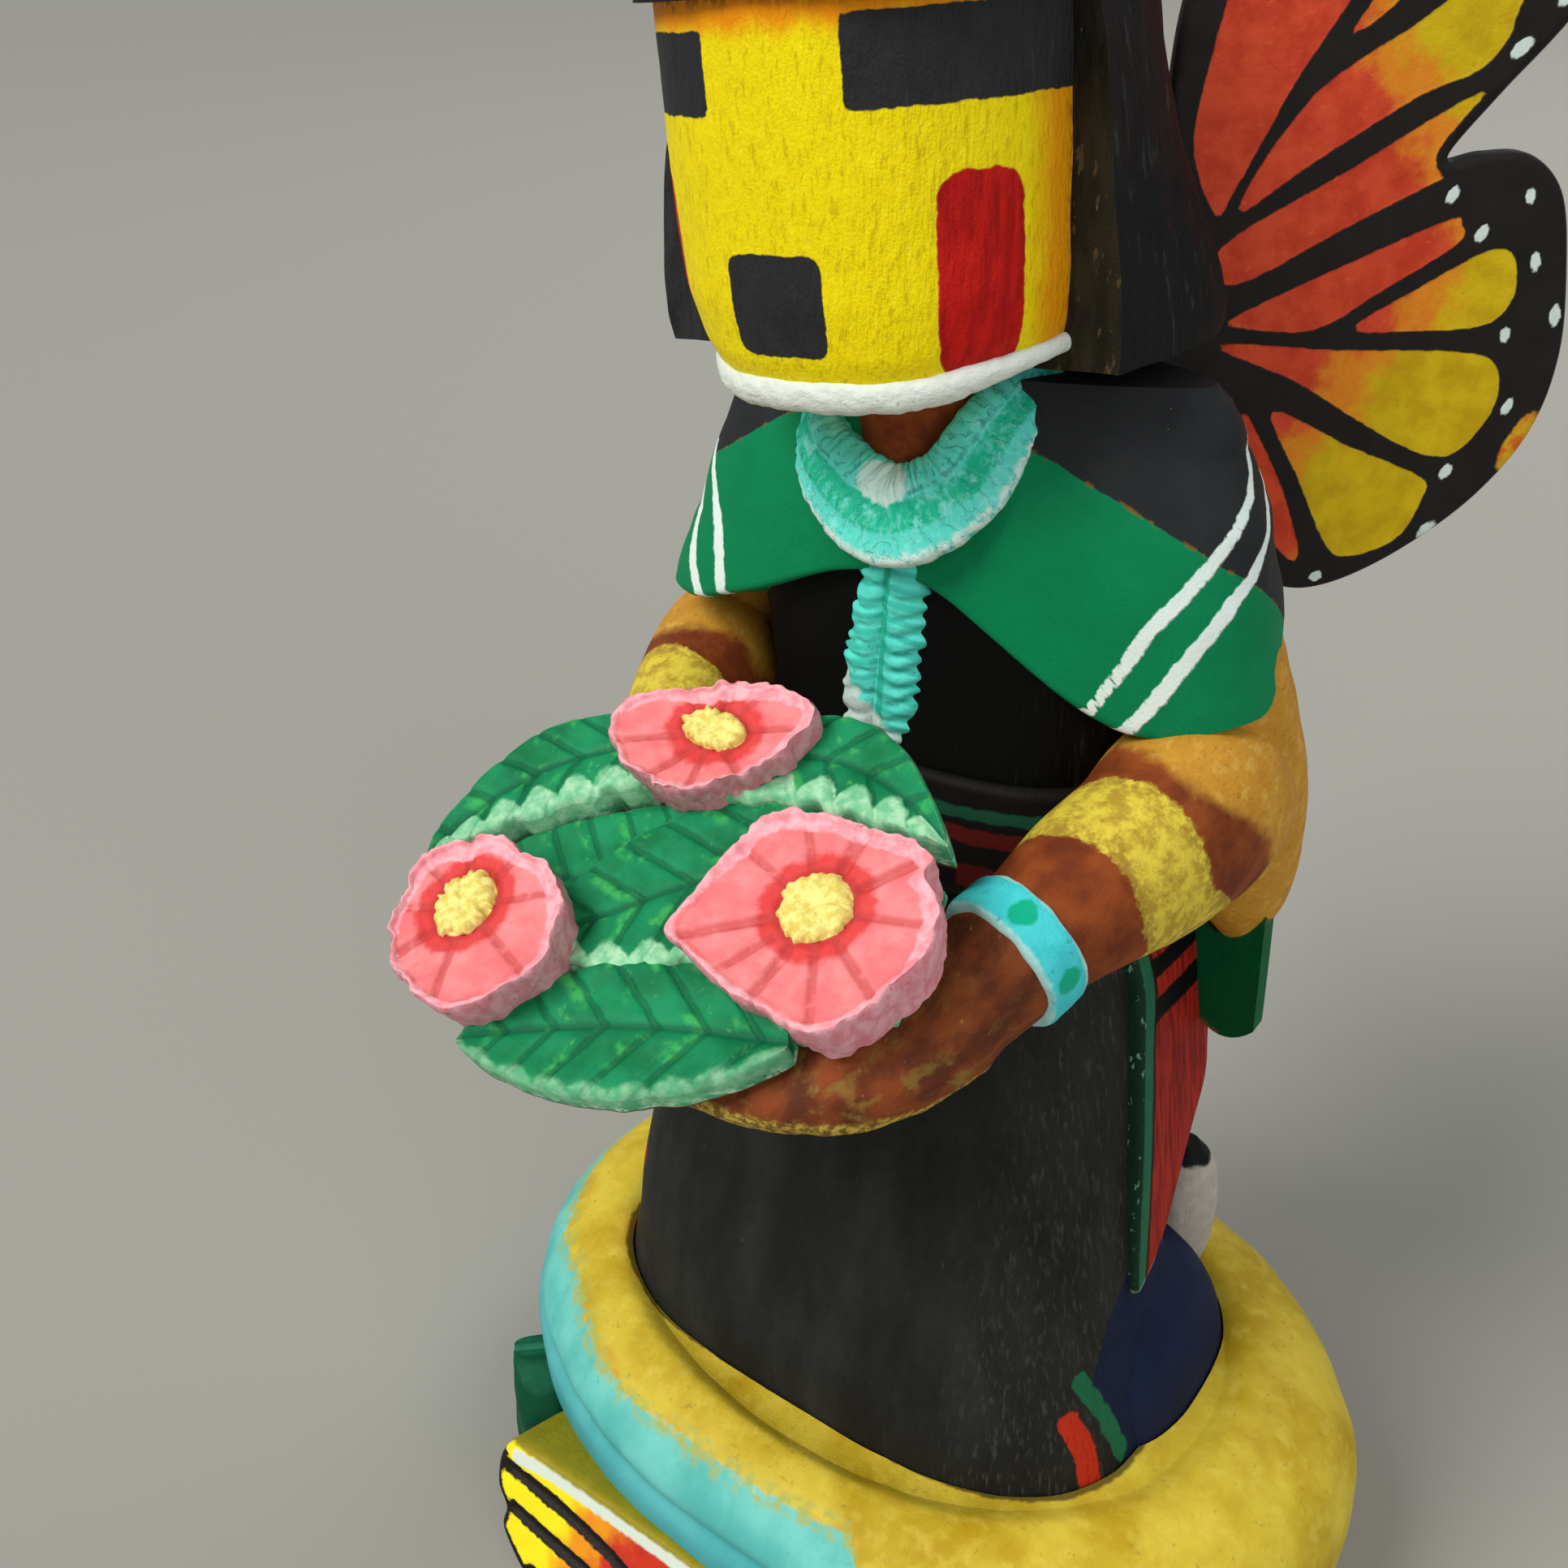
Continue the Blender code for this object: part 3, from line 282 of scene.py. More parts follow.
def around(n, p=2.6):
    """n angles that give evenly spaced points on a squared oval."""
    t = np.linspace(0, 2 * np.pi, 4000)
    e = 2.0 / p
    x, y = 1.6 * spow(np.cos(t), e), spow(np.sin(t), e)
    s = np.concatenate([[0], np.cumsum(np.hypot(np.diff(x), np.diff(y)))])
    return np.interp(np.arange(n) / n * s[-1], s, t)


def bspline(pts, per, closed=False):
    """Smooth curve through rows of numbers."""
    p = np.array(pts, float)
    n = len(p)
    out = []
    for i in range(n if closed else n - 1):
        a, b, c, d = (p[(i + k) % n] if closed else p[min(max(i + k, 0), n - 1)] for k in (-1, 0, 1, 2))
        for k in range(per):
            t = k / per
            out.append(0.5 * (2 * b + (c - a) * t + (2 * a - 5 * b + 4 * c - d) * t * t
                              + (3 * b - a - 3 * c + d) * t ** 3))
    if not closed:
        out.append(p[-1])
    return np.array(out)


def grid_normals(P, closed=True):
    du = (np.roll(P, -1, 1) - np.roll(P, 1, 1)) if closed else np.gradient(P, axis=1)
    dv = np.gradient(P, axis=0)
    n = np.cross(du, dv)
    n /= np.maximum(np.linalg.norm(n, axis=-1, keepdims=True), 1e-9)
    return n


def outward(P):
    n = grid_normals(P)
    mid = P.mean(1, keepdims=True)
    if ((P - mid) * n).sum(-1).mean() < 0:
        n = -n
    return n


def lean(P, back=False):
    """Tilts points with the head, or undoes the tilt."""
    a = -HEAD_LEAN if back else HEAD_LEAN
    q = np.asarray(P, float) - HEAD_PIVOT
    c, s = math.cos(a), math.sin(a)
    x = q[..., 0] * c + q[..., 2] * s
    z = -q[..., 0] * s + q[..., 2] * c
    return np.stack([x, q[..., 1], z], -1) + HEAD_PIVOT


# ------------------------------------------------------------------ meshes
def make(name, verts, faces, mats, index=None, pa=None, pb=None):
    """Mesh object from mm points. pa and pb are paint guides, one row of three per point."""
    me = bpy.data.meshes.new(name)
    me.from_pydata((np.asarray(verts, float) * MM).tolist(), [], faces)
    for m in mats:
        me.materials.append(m)
    if index is not None:
        me.polygons.foreach_set("material_index", np.asarray(index, np.int32))
    bm = bmesh.new()
    bm.from_mesh(me)
    if bm.calc_volume(signed=True) < 0:
        bmesh.ops.reverse_faces(bm, faces=bm.faces)
        bm.to_mesh(me)
    bm.free()
    corner = np.zeros(len(me.loops), np.int32)
    me.loops.foreach_get("vertex_index", corner)
    for key, val in (("pa", pa), ("pb", pb)):
        a = me.attributes.new(key, "FLOAT_VECTOR", "CORNER")
        v = np.zeros((len(verts), 3)) if val is None else np.asarray(val, float)
        a.data.foreach_set("vector", v[corner].astype(np.float32).ravel())
    me.shade_smooth()
    obj = bpy.data.objects.new(name, me)
    bpy.context.scene.collection.objects.link(obj)
    return obj


def tube(name, P, mat, paint=None):
    """Closed body through rings P (rows, around, 3). paint(points) gives its guides."""
    m, n = P.shape[:2]
    V = np.concatenate([P.reshape(-1, 3), P[0].mean(0)[None], P[-1].mean(0)[None]])
    i, j = np.meshgrid(np.arange(m - 1), np.arange(n), indexing="ij")
    k = (j + 1) % n
    quads = np.stack([i * n + j, i * n + k, (i + 1) * n + k, (i + 1) * n + j], -1).reshape(-1, 4).tolist()
    a, b = m * n, m * n + 1
    caps = [(a, (q + 1) % n, q) for q in range(n)]
    caps += [(b, (m - 1) * n + q, (m - 1) * n + (q + 1) % n) for q in range(n)]
    pa, pb = paint(V) if paint else (None, None)
    return make(name, V, quads + caps, [mat], pa=pa, pb=pb)


def slab(name, top, low, mat, paint=None):
    """Closed sheet between two open grids of the same size."""
    m, n = top.shape[:2]
    V = np.concatenate([top.reshape(-1, 3), low.reshape(-1, 3)])
    o = m * n
    F = []
    for i in range(m - 1):
        for j in range(n - 1):
            a, b, c, d = i * n + j, i * n + j + 1, (i + 1) * n + j + 1, (i + 1) * n + j
            F.append((a, b, c, d))
            F.append((o + d, o + c, o + b, o + a))
    edge = [j for j in range(n)] + [i * n + n - 1 for i in range(1, m)]
    edge += [(m - 1) * n + j for j in range(n - 2, -1, -1)] + [i * n for i in range(m - 2, 0, -1)]
    for a, b in zip(edge, edge[1:] + edge[:1]):
        F.append((b, a, o + a, o + b))
    pa, pb = paint(V) if paint else (None, None)
    return make(name, V, F, [mat], pa=pa, pb=pb)


def mirrored(P):
    Q = np.array(P, float)
    Q[..., 0] *= -1
    return Q


def merge(first, others, how="UNION", name=None, sharp=55.0):
    """One closed body from several, each keeping its own paint."""
    for o in others:
        mod = first.modifiers.new(o.name, "BOOLEAN")
        mod.operation, mod.solver, mod.object = how, "MANIFOLD", o
        mod.material_mode = "TRANSFER"
    bpy.context.view_layer.update()
    deps = bpy.context.evaluated_depsgraph_get()
    me = bpy.data.meshes.new_from_object(first.evaluated_get(deps))
    first.modifiers.clear()
    old = first.data
    first.data = me
    bpy.data.meshes.remove(old)
    for o in others:
        bpy.data.objects.remove(o, do_unlink=True)
    bm = bmesh.new()
    bm.from_mesh(me)
    bmesh.ops.dissolve_degenerate(bm, dist=2e-6, edges=bm.edges)
    bm.to_mesh(me)
    bm.free()
    me.shade_smooth()
    me.set_sharp_from_angle(angle=math.radians(sharp))
    if name:
        first.name = me.name = name
    return first


# ------------------------------------------------------------------ paint
def lin(text):
    """Linear colour of a paint given as rrggbb."""
    c = [int(text[i:i + 2], 16) / 255 for i in (0, 2, 4)]
    return tuple(v / 12.92 if v <= 0.04045 else ((v + 0.055) / 1.055) ** 2.4 for v in c)


class Val:
    """A number in a material's node tree."""

    def __init__(self, m, s):
        self.m, self.s = m, s

    def __add__(self, o):
        return self.m.math("ADD", self, o)

    def __sub__(self, o):
        return self.m.math("SUBTRACT", self, o)

    def __rsub__(self, o):
        return self.m.math("SUBTRACT", o, self)

    def __mul__(self, o):
        return self.m.math("MULTIPLY", self, o)

    def __truediv__(self, o):
        return self.m.math("DIVIDE", self, o)

    def __abs__(self):
        return self.m.math("ABSOLUTE", self)

    __radd__, __rmul__ = __add__, __mul__

    def max(self, o):
        return self.m.math("MAXIMUM", self, o)

    def min(self, o):
        return self.m.math("MINIMUM", self, o)


class Mat:
    def __init__(self, name, rough=0.55, spec=0.4):
        self.mat = bpy.data.materials.new(name)
        self.mat.use_nodes = True
        self.t = self.mat.node_tree
        self.bsdf = self.t.nodes["Principled BSDF"]
        self.bsdf.inputs["Roughness"].default_value = rough
        self.bsdf.inputs["Specular IOR Level"].default_value = spec
        tc = self.node("ShaderNodeTexCoord")
        sc = self.node("ShaderNodeVectorMath", operation="SCALE")
        sc.inputs[3].default_value = 1000.0
        self.link(tc.outputs["Object"], sc.inputs[0])
        self.p = sc.outputs[0]
        sep = self.node("ShaderNodeSeparateXYZ")
        self.link(self.p, sep.inputs[0])
        self.x, self.y, self.z = (Val(self, sep.outputs[i]) for i in range(3))
        self.height = None

    def node(self, kind, **props):
        n = self.t.nodes.new(kind)
        for k, v in props.items():
            setattr(n, k, v)
        return n

    def link(self, a, b):
        self.t.links.new(a, b)

    def put(self, v, sock):
        if isinstance(v, Val):
            self.link(v.s, sock)
        else:
            sock.default_value = v

    def math(self, op, *args, clamp=False):
        n = self.node("ShaderNodeMath", operation=op, use_clamp=clamp)
        for i, a in enumerate(args):
            self.put(a, n.inputs[i])
        return Val(self, n.outputs[0])

    def guide(self, key):
        a = self.node("ShaderNodeAttribute", attribute_name=key)
        sep = self.node("ShaderNodeSeparateXYZ")
        self.link(a.outputs["Vector"], sep.inputs[0])
        return [Val(self, sep.outputs[i]) for i in range(3)]

    def noise(self, size, detail=3.0, stretch=(1, 1, 1), shift=0.0, rough=0.55):
        """Noise of about the given feature size in mm, 0..1."""
        mp = self.node("ShaderNodeMapping")
        mp.inputs["Scale"].default_value = tuple(s / size for s in stretch)
        mp.inputs["Location"].default_value = (shift, shift * 0.7, shift * 1.3)
        self.link(self.p, mp.inputs[0])
        n = self.node("ShaderNodeTexNoise")
        n.inputs["Scale"].default_value = 1.0
        n.inputs["Detail"].default_value = detail
        n.inputs["Roughness"].default_value = rough
        self.link(mp.outputs[0], n.inputs["Vector"])
        return Val(self, n.outputs[0])

    def ramp(self, v, a, b):
        """0 below a, 1 above b."""
        n = self.node("ShaderNodeMapRange", interpolation_type="SMOOTHSTEP")
        self.put(v, n.inputs[0])
        self.put(a, n.inputs[1])
        self.put(b, n.inputs[2])
        return Val(self, n.outputs[0])

    def inside(self, d, soft=0.15, wobble=0.0, size=1.6):
        """1 where the guide d is negative, with a hand-painted edge."""
        if wobble:
            d = d + (self.noise(size, 2.0, shift=3.1) - 0.5) * (2 * wobble)
        return 1.0 - self.ramp(d, -soft, soft)

    def mix(self, f, a, b):
        n = self.node("ShaderNodeMix", data_type="RGBA", clamp_factor=True)
        self.put(f, n.inputs[0])
        for v, i in ((a, 6), (b, 7)):
            if isinstance(v, tuple):
                n.inputs[i].default_value = (*v[:3], 1.0)
            else:
                self.link(v, n.inputs[i])
        return n.outputs[2]

    def tone(self, colour, f):
        """Colour times a number."""
        n = self.node("ShaderNodeMix", data_type="RGBA", blend_type="MULTIPLY")
        n.inputs[0].default_value = 1.0
        if isinstance(colour, tuple):
            n.inputs[6].default_value = (*colour[:3], 1.0)
        else:
            self.link(colour, n.inputs[6])
        cc = self.node("ShaderNodeCombineColor")
        for i in range(3):
            self.put(f, cc.inputs[i])
        self.link(cc.outputs[0], n.inputs[7])
        return n.outputs[2]

    def bump(self, h, add=True):
        """Adds relief of h mm."""
        self.height = h if self.height is None else self.height + h

    def done(self, colour, rough=None):
        if isinstance(colour, tuple):
            self.bsdf.inputs["Base Color"].default_value = (*colour, 1.0)
        else:
            self.link(colour, self.bsdf.inputs["Base Color"])
        if rough is not None:
            self.put(rough, self.bsdf.inputs["Roughness"])
        if self.height is not None:
            b = self.node("ShaderNodeBump")
            b.inputs["Strength"].default_value = 1.0
            b.inputs["Distance"].default_value = 0.001
            self.link(self.height.s, b.inputs["Height"])
            self.link(b.outputs[0], self.bsdf.inputs["Normal"])
        return self.mat


def painted(name, rough=0.55, spec=0.4, brush=0.05, stretch=(1.0, 1.0, 0.16), size=0.9, grain=0.02):
    """Material with the brushed relief of hand-laid paint on carved wood."""
    m = Mat(name, rough, spec * 0.35)
    m.bump(m.noise(size, 3.0, stretch) * (2 * brush))
    m.bump(m.noise(0.35, 2.0, shift=7.7) * (2 * grain))
    return m


def worn(m, colour, under, size=2.2, amount=0.62, soft=0.04):
    """Small spots where the coat beneath shows."""
    return m.mix(m.ramp(m.noise(size, 6.0, shift=11.0, rough=0.75), amount, amount + soft), colour, under)


BLACK = lin("26272a")


# ------------------------------------------------------------------ paint guides
def line_dist(V, pts):
    """Distance from points to a line through pts."""
    V, pts = np.asarray(V, float), np.asarray(pts, float)
    out = np.full(len(V), 1e9)
    for a, b in zip(pts, pts[1:]):
        d = b - a
        k = np.clip(((V - a) @ d) / (d @ d), 0, 1)
        out = np.minimum(out, np.linalg.norm(V - a - k[:, None] * d, axis=1))
    return out


def shape_dist(V, poly):
    """Signed distance to a closed outline, negative inside."""
    poly = np.asarray(poly, float)
    d = line_dist(V, np.vstack([poly, poly[:1]]))
    x, y = V[:, 0], V[:, 1]
    inside = np.zeros(len(V), bool)
    for (x0, y0), (x1, y1) in zip(poly, np.roll(poly, -1, 0)):
        if y0 == y1:
            continue
        inside ^= ((y0 > y) != (y1 > y)) & (x < x0 + (y - y0) * (x1 - x0) / (y1 - y0))
    return np.where(inside, -d, d)


def box_dist(u, v, cu, cv, hu, hv, r):
    dx, dy = np.abs(u - cu) - hu + r, np.abs(v - cv) - hv + r
    return np.hypot(np.maximum(dx, 0), np.maximum(dy, 0)) + np.minimum(np.maximum(dx, dy), 0) - r


def stack(*cols):
    return np.stack(np.broadcast_arrays(*cols), -1).astype(float)


def soft_interp(x, knots, soft):
    k = np.array(knots, float)
    return sum(np.interp(x + o * soft, k[:, 0], k[:, 1]) for o in np.linspace(-1, 1, 7)) / 7


# ------------------------------------------------------------------ paints of the figure
def dress_paint():
    m = painted("dress_black", 0.62, 0.32, brush=0.035, stretch=(1, 1, 0.22), grain=0.02)
    a, b, c = m.guide("pa")
    k = m.ramp(m.noise(9.0, 5.0, (1, 1, 0.3)), 0.3, 0.75)
    col = m.mix(k, lin("1b1b1a"), lin("2b2c2a"))
    # painted shade: the skirt goes near-black towards the waist, under the tray and arms
    col = m.mix(m.ramp(m.z, 118.0, 134.0), col, lin("050504"))
    col = m.mix(m.ramp(m.noise(1.1, 4.0, (1, 1, 0.16), 2.0), 0.66, 0.8) * 0.35, col, lin("4a4b46"))
    col = m.mix(m.ramp(m.noise(0.8, 2.0, shift=5.0), 0.79, 0.82) * 0.6, col, lin("8a8a80"))
    col = m.tone(col, 0.72 + m.noise(0.7, 4.0, (1, 1, 0.4), 31.0) * 0.55)
    right = m.ramp(m.x + (m.noise(3.0, 3.0) - 0.5) * 6.0, 22.0, 33.0)
    comb = m.ramp(m.noise(0.7, 4.0, (1, 1, 0.05), 33.0), 0.5, 0.68)
    col = m.mix(right * comb * 0.5, col, lin("4a4a44"))
    m.bump(comb * right * -0.12)
    m.bump(m.noise(0.9, 4.0, (1, 1, 0.6), 35.0) * 0.10)
    navy = m.guide("pb")[0]
    blue = m.mix(m.noise(6.0, 4.0), lin("0e1730"), lin("1a2546"))
    col = m.mix(m.inside(navy, 0.4, 0.8, 3.0), col, blue)
    col = m.mix(m.inside(a, 0.2, 0.5), col, lin("1d6a49"))
    col = m.mix(m.inside(b, 0.2, 0.5), col, lin("c0301c"))
    col = m.mix(m.inside(c, 0.5, 0.6), col, lin("8c241a"))
    return m.done(col, 0.56 + m.noise(5.0, 3.0) * 0.16)


def navy_paint():
    m = painted("lobe_navy", 0.6, 0.35, brush=0.04)
    a, b, c = m.guide("pa")
    col = m.mix(m.noise(6.0, 4.0), lin("0e1730"), lin("1a2546"))
    col = m.mix(m.ramp(m.noise(0.9, 3.0, shift=5.0), 0.74, 0.8) * 0.4, col, lin("5d6a76"))
    col = m.mix(m.inside(a, 0.2, 0.5), col, lin("1d6a49"))
    col = m.mix(m.inside(b, 0.2, 0.5), col, lin("c0301c"))
    return m.done(col)


def belt_paint():
    m = painted("belt", 0.6, 0.35)
    wob = (m.noise(2.0, 2.0) - 0.5) * 1.2
    z = m.z + wob
    col = m.mix(m.noise(5.0, 3.0), lin("0a0908"), lin("1a1614"))
    green = m.ramp(z, 140.5, 140.9) * (1.0 - m.ramp(z, 142.3, 142.7))
    red = m.ramp(z, 136.8, 137.2) * (1.0 - m.ramp(z, 139.2, 139.6))
    patch = m.ramp(z, 130.8, 131.2) * (1.0 - m.ramp(z, 133.8, 134.2)) * m.ramp(m.x + wob, 13.5, 14.2)
    col = m.mix(green * 0.9, col, lin("1d5a40"))
    col = m.mix(red * 0.9, col, lin("6a1a14"))
    col = m.mix(patch * 0.9, col, lin("6a1a14"))
    return m.done(col)


def cape_paint():
    m = painted("cape", 0.6, 0.35, brush=0.03, stretch=(1, 1, 0.5), size=0.8, grain=0.03)
    band, white, hem = m.guide("pa")
    green = m.mix(m.noise(7.0, 4.0), lin("00784a"), lin("058a58"))
    green = m.tone(green, 0.93 + m.noise(0.45, 2.0) * 0.14)
    green = m.mix(m.ramp(m.noise(0.5, 2.0, shift=3.0), 0.74, 0.79) * 0.4, green, lin("0f5a3c"))
    black = m.mix(m.noise(6.0, 4.0, shift=2.0), lin("222326"), lin("2f3133"))
    black = m.mix(m.ramp(m.noise(0.6, 2.0, shift=9.0), 0.78, 0.82) * 0.7, black, lin("a8aaa6"))
    wob = (m.noise(3.0, 3.0, shift=4.0) - 0.5) * 0.9
    col = m.mix(m.ramp(band + wob, -0.15, 0.15), green, black)
    edge = (1.0 - m.ramp(abs(band + wob), 0.15, 0.45)) * m.ramp(m.noise(1.6, 4.0, shift=8.0), 0.52, 0.62)
    col = m.mix(edge * 0.75, col, lin("8a5a22"))
    edge = (1.0 - m.ramp(hem, 0.1, 0.5)) * m.ramp(m.noise(1.8, 4.0, shift=6.0), 0.5, 0.62)
    col = m.mix(edge * 0.25, col, lin("5f5a2c"))
    w = white + (m.noise(1.5, 3.0, shift=1.0) - 0.5) * 0.7
    paint = m.mix(m.noise(2.0, 4.0, shift=2.2), lin("dff5ee"), lin("f4fbf6"))
    k = 1.0 - m.ramp(w, -0.12, 0.14)
    thin = m.ramp(m.noise(0.9, 4.0, shift=12.0), 0.68, 0.8) * 0.5
    col = m.mix(k * (1.0 - thin), col, paint)
    m.bump(k * 0.08)
    return m.done(col, 0.55 + m.noise(3.0, 3.0) * 0.14)


def tail_paint():
    m = painted("back_panel", 0.6, 0.35, brush=0.035, stretch=(1, 1, 0.3))
    d, edge, c = m.guide("pa")
    wob = (m.noise(3.0, 3.0, shift=4.0) - 0.5) * 1.0
    green = m.mix(m.noise(6.0, 4.0), lin("014c2a"), lin("046a3d"))
    black = m.mix(m.noise(6.0, 4.0, shift=2.0), lin("1d1e20"), lin("2b2c2e"))
    black = m.mix(m.ramp(m.noise(0.6, 2.0, shift=9.0), 0.78, 0.82) * 0.5, black, lin("8d8f8c"))
    col = m.mix(m.ramp(d + wob, 16.8, 17.2), green, black)
    k = (1.0 - m.ramp(edge, 0.4, 1.0)) * m.ramp(m.noise(2.2, 4.0, shift=6.0), 0.50, 0.62)
    col = m.mix(k * 0.8, col, lin("8a5a26"))
    return m.done(col)


def wood_red(m, size=5.0):
    col = m.mix(m.ramp(m.noise(size, 5.0, shift=1.0), 0.3, 0.7), lin("6c3019"), lin("94491f"))
    return m.mix(m.ramp(m.noise(1.0, 5.0, shift=4.0), 0.6, 0.74) * 0.5, col, lin("6b3220"))


def arm_paint():
    m = painted("arm", 0.62, 0.3, brush=0.05, stretch=(1, 0.3, 1), size=0.9, grain=0.04)
    ochre, band, hand = m.guide("pa")
    tip, low, cut = m.guide("pb")
    col = wood_red(m)
    grain = m.noise(0.55, 3.0, (1, 0.35, 1), 3.0)
    wob = (m.noise(2.4, 4.0, shift=5.0) - 0.5) * 3.6
    oc = m.mix(m.noise(4.0, 4.0, shift=3.0), lin("b0741f"), lin("d8a23c"))
    oc = m.mix(m.ramp(m.noise(2.0, 5.0, shift=9.0), 0.5, 0.7) * 0.45, oc, lin("dfb95a"))
    oc = m.mix(m.ramp(grain, 0.55, 0.7) * 0.35, oc, lin("8f5c1c"))
    col = m.mix(m.ramp(ochre + wob, -1.6, 1.6), col, oc)
    ye = m.mix(m.ramp(m.noise(2.2, 6.0, shift=6.0, rough=0.7), 0.36, 0.6), lin("b49432"), lin("e0cb45"))
    ye = m.mix(m.ramp(grain, 0.64, 0.76) * 0.4, ye, lin("8a6a24"))
    ye = m.mix(m.ramp(band, -3.4, -0.6) * m.ramp(m.noise(1.2, 5.0, shift=16.0), 0.42, 0.6) * 0.7, ye, lin("9a7a2e"))
    rag = (m.noise(1.3, 5.0, shift=8.0, rough=0.7) - 0.5) * 2.6
    col = m.mix(m.inside(band + rag, 0.35), col, ye)
    ha = m.mix(m.ramp(m.noise(3.6, 5.0, (1, 0.5, 1), 2.0), 0.34, 0.66), lin("5c2f1c"), lin("8a4522"))
    ha = m.mix(m.ramp(m.noise(2.6, 6.0, (1, 0.4, 1), 7.0), 0.52, 0.7) * (m.ramp(m.z, 142.0, 132.0) * 0.6 + 0.15), ha, lin("97803a"))
    ha = m.mix(m.ramp(m.noise(0.9, 4.0, (1, 0.5, 1), 12.0), 0.66, 0.74) * 0.5, ha, lin("c98a4a"))
    col = m.mix(m.inside(hand, 0.6, 1.2), col, ha)
    gold = m.mix(m.ramp(m.noise(0.9, 4.0, shift=5.5), 0.4, 0.62), lin("7c5a26"), lin("cdb04a"))
    col = m.mix(m.inside(low - 2.6 + rag * 0.6, 0.5), col, gold)
    # painted shade: dark brown in the carved grooves between the fingers
    col = m.mix(m.inside(cut, 0.15, 0.2) * 0.8, col, lin("3a1c12"))
    return m.done(col, 0.52 + m.noise(4.0, 3.0) * 0.2)


def bracelet_paint():
    m = painted("bracelet_turquoise", 0.55, 0.35, brush=0.09, stretch=(1, 1, 1), size=1.1)
    oval, edge, c = m.guide("pa")
    col = m.mix(m.noise(2.5, 4.0), lin("2fc6cf"), lin("5adfe0"))
    col = m.mix(m.inside(oval, 0.25, 0.5), col, lin("10b48c"))
    k = 1.0 - m.ramp(edge + (m.noise(1.0, 3.0) - 0.5) * 0.8, 0.3, 0.9)
    col = m.mix(k * 0.75, col, lin("c9efe6"))
    col = m.mix(m.ramp(m.noise(1.2, 5.0, shift=4.0), 0.66, 0.72) * 0.6, col, lin("1b8f7f"))
    return m.done(col)


def necklace_paint():
    m = painted("necklace", 0.55, 0.35, brush=0.08, stretch=(1, 1, 1), size=1.0)
    w, arc, across = m.guide("pa")
    patch, side, c = m.guide("pb")
    wob = (m.noise(1.5, 3.0, shift=2.0) - 0.5) * 0.24
    v = w + wob
    col = m.mix(m.noise(2.2, 4.0), lin("45d9c6"), lin("74e8da"))
    mid = m.ramp(v, -0.22, -0.12) * (1.0 - m.ramp(v, 0.38, 0.5))
    col = m.mix(mid * m.ramp(m.noise(1.6, 4.0, shift=3.0), 0.3, 0.5) * 0.9, col, lin("06bd92"))
    # painted shade: dark teal in the carved notches between the beads, darker where they are cut deeper on the inner
    # band
    notch = m.math("COSINE", arc * 3.4 + m.noise(3.0, 3.0, shift=7.0) * 22.0)
    cut = m.ramp(notch, 0.80, 0.97) * m.ramp(m.noise(1.6, 4.0, shift=13.0), 0.4, 0.55)
    inner = 1.0 - m.ramp(v, -0.34, -0.26)
    col = m.mix(cut * (0.12 + inner * 0.3), col, lin("0c7a72"))
    col = m.mix(m.ramp(m.noise(2.6, 4.0, shift=23.0), 0.56, 0.66) * 0.6, col, lin("8ff0e6"))
    streak = m.ramp(m.math("COSINE", arc * 5.0 + m.noise(2.0, 3.0, shift=17.0) * 20.0), 0.7, 0.95) * m.ramp(v, -0.1, 0.3)
    col = m.mix(streak * 0.2, col, lin("b9f3ea"))
    # painted shade: a dark line along the step down from the raised inner band
    step = (1.0 - m.ramp(abs(v + 0.3), 0.03, 0.08)) * m.ramp(m.noise(1.4, 4.0, shift=5.0), 0.42, 0.58)
    col = m.mix(step * 0.5, col, lin("0f6d62"))
    rim = m.ramp(v, 0.76, 0.92) * m.ramp(m.noise(1.3, 4.0, shift=6.0), 0.36, 0.5)
    col = m.mix(rim * 0.9, col, lin("e6f6ee"))
    col = m.mix(m.inside(patch, 0.3, 0.9) * 0.9, col, lin("d8f5ef"))
    m.bump(cut * -0.1)
    return m.done(col)


def pendant_paint():
    m = painted("pendant", 0.55, 0.35, brush=0.08, stretch=(1, 1, 1), size=0.9)
    u, z, beads = m.guide("pa")
    col = m.mix(m.noise(2.0, 4.0), lin("3fdcc6"), lin("72ecde"))
    col = m.mix(m.ramp(beads, 0.2, 0.9) * 0.55, col, lin("0b9c86"))
    col = m.mix((1.0 - m.ramp(abs(u + (m.noise(2.0, 2.0) - 0.5) * 0.8), 0.35, 0.8)) * 0.7, col, lin("06a07c"))
    tip = (1.0 - m.ramp(z + u * 0.9 + (m.noise(1.6, 4.0, shift=3.0) - 0.5) * 4.0, 151.6, 153.0))
    col = m.mix(tip * 0.85, col, lin("cfd6d2"))
    col = m.mix(m.ramp(m.noise(1.1, 5.0, shift=8.0), 0.66, 0.72) * 0.5, col, lin("187a6c"))
    return m.done(col)


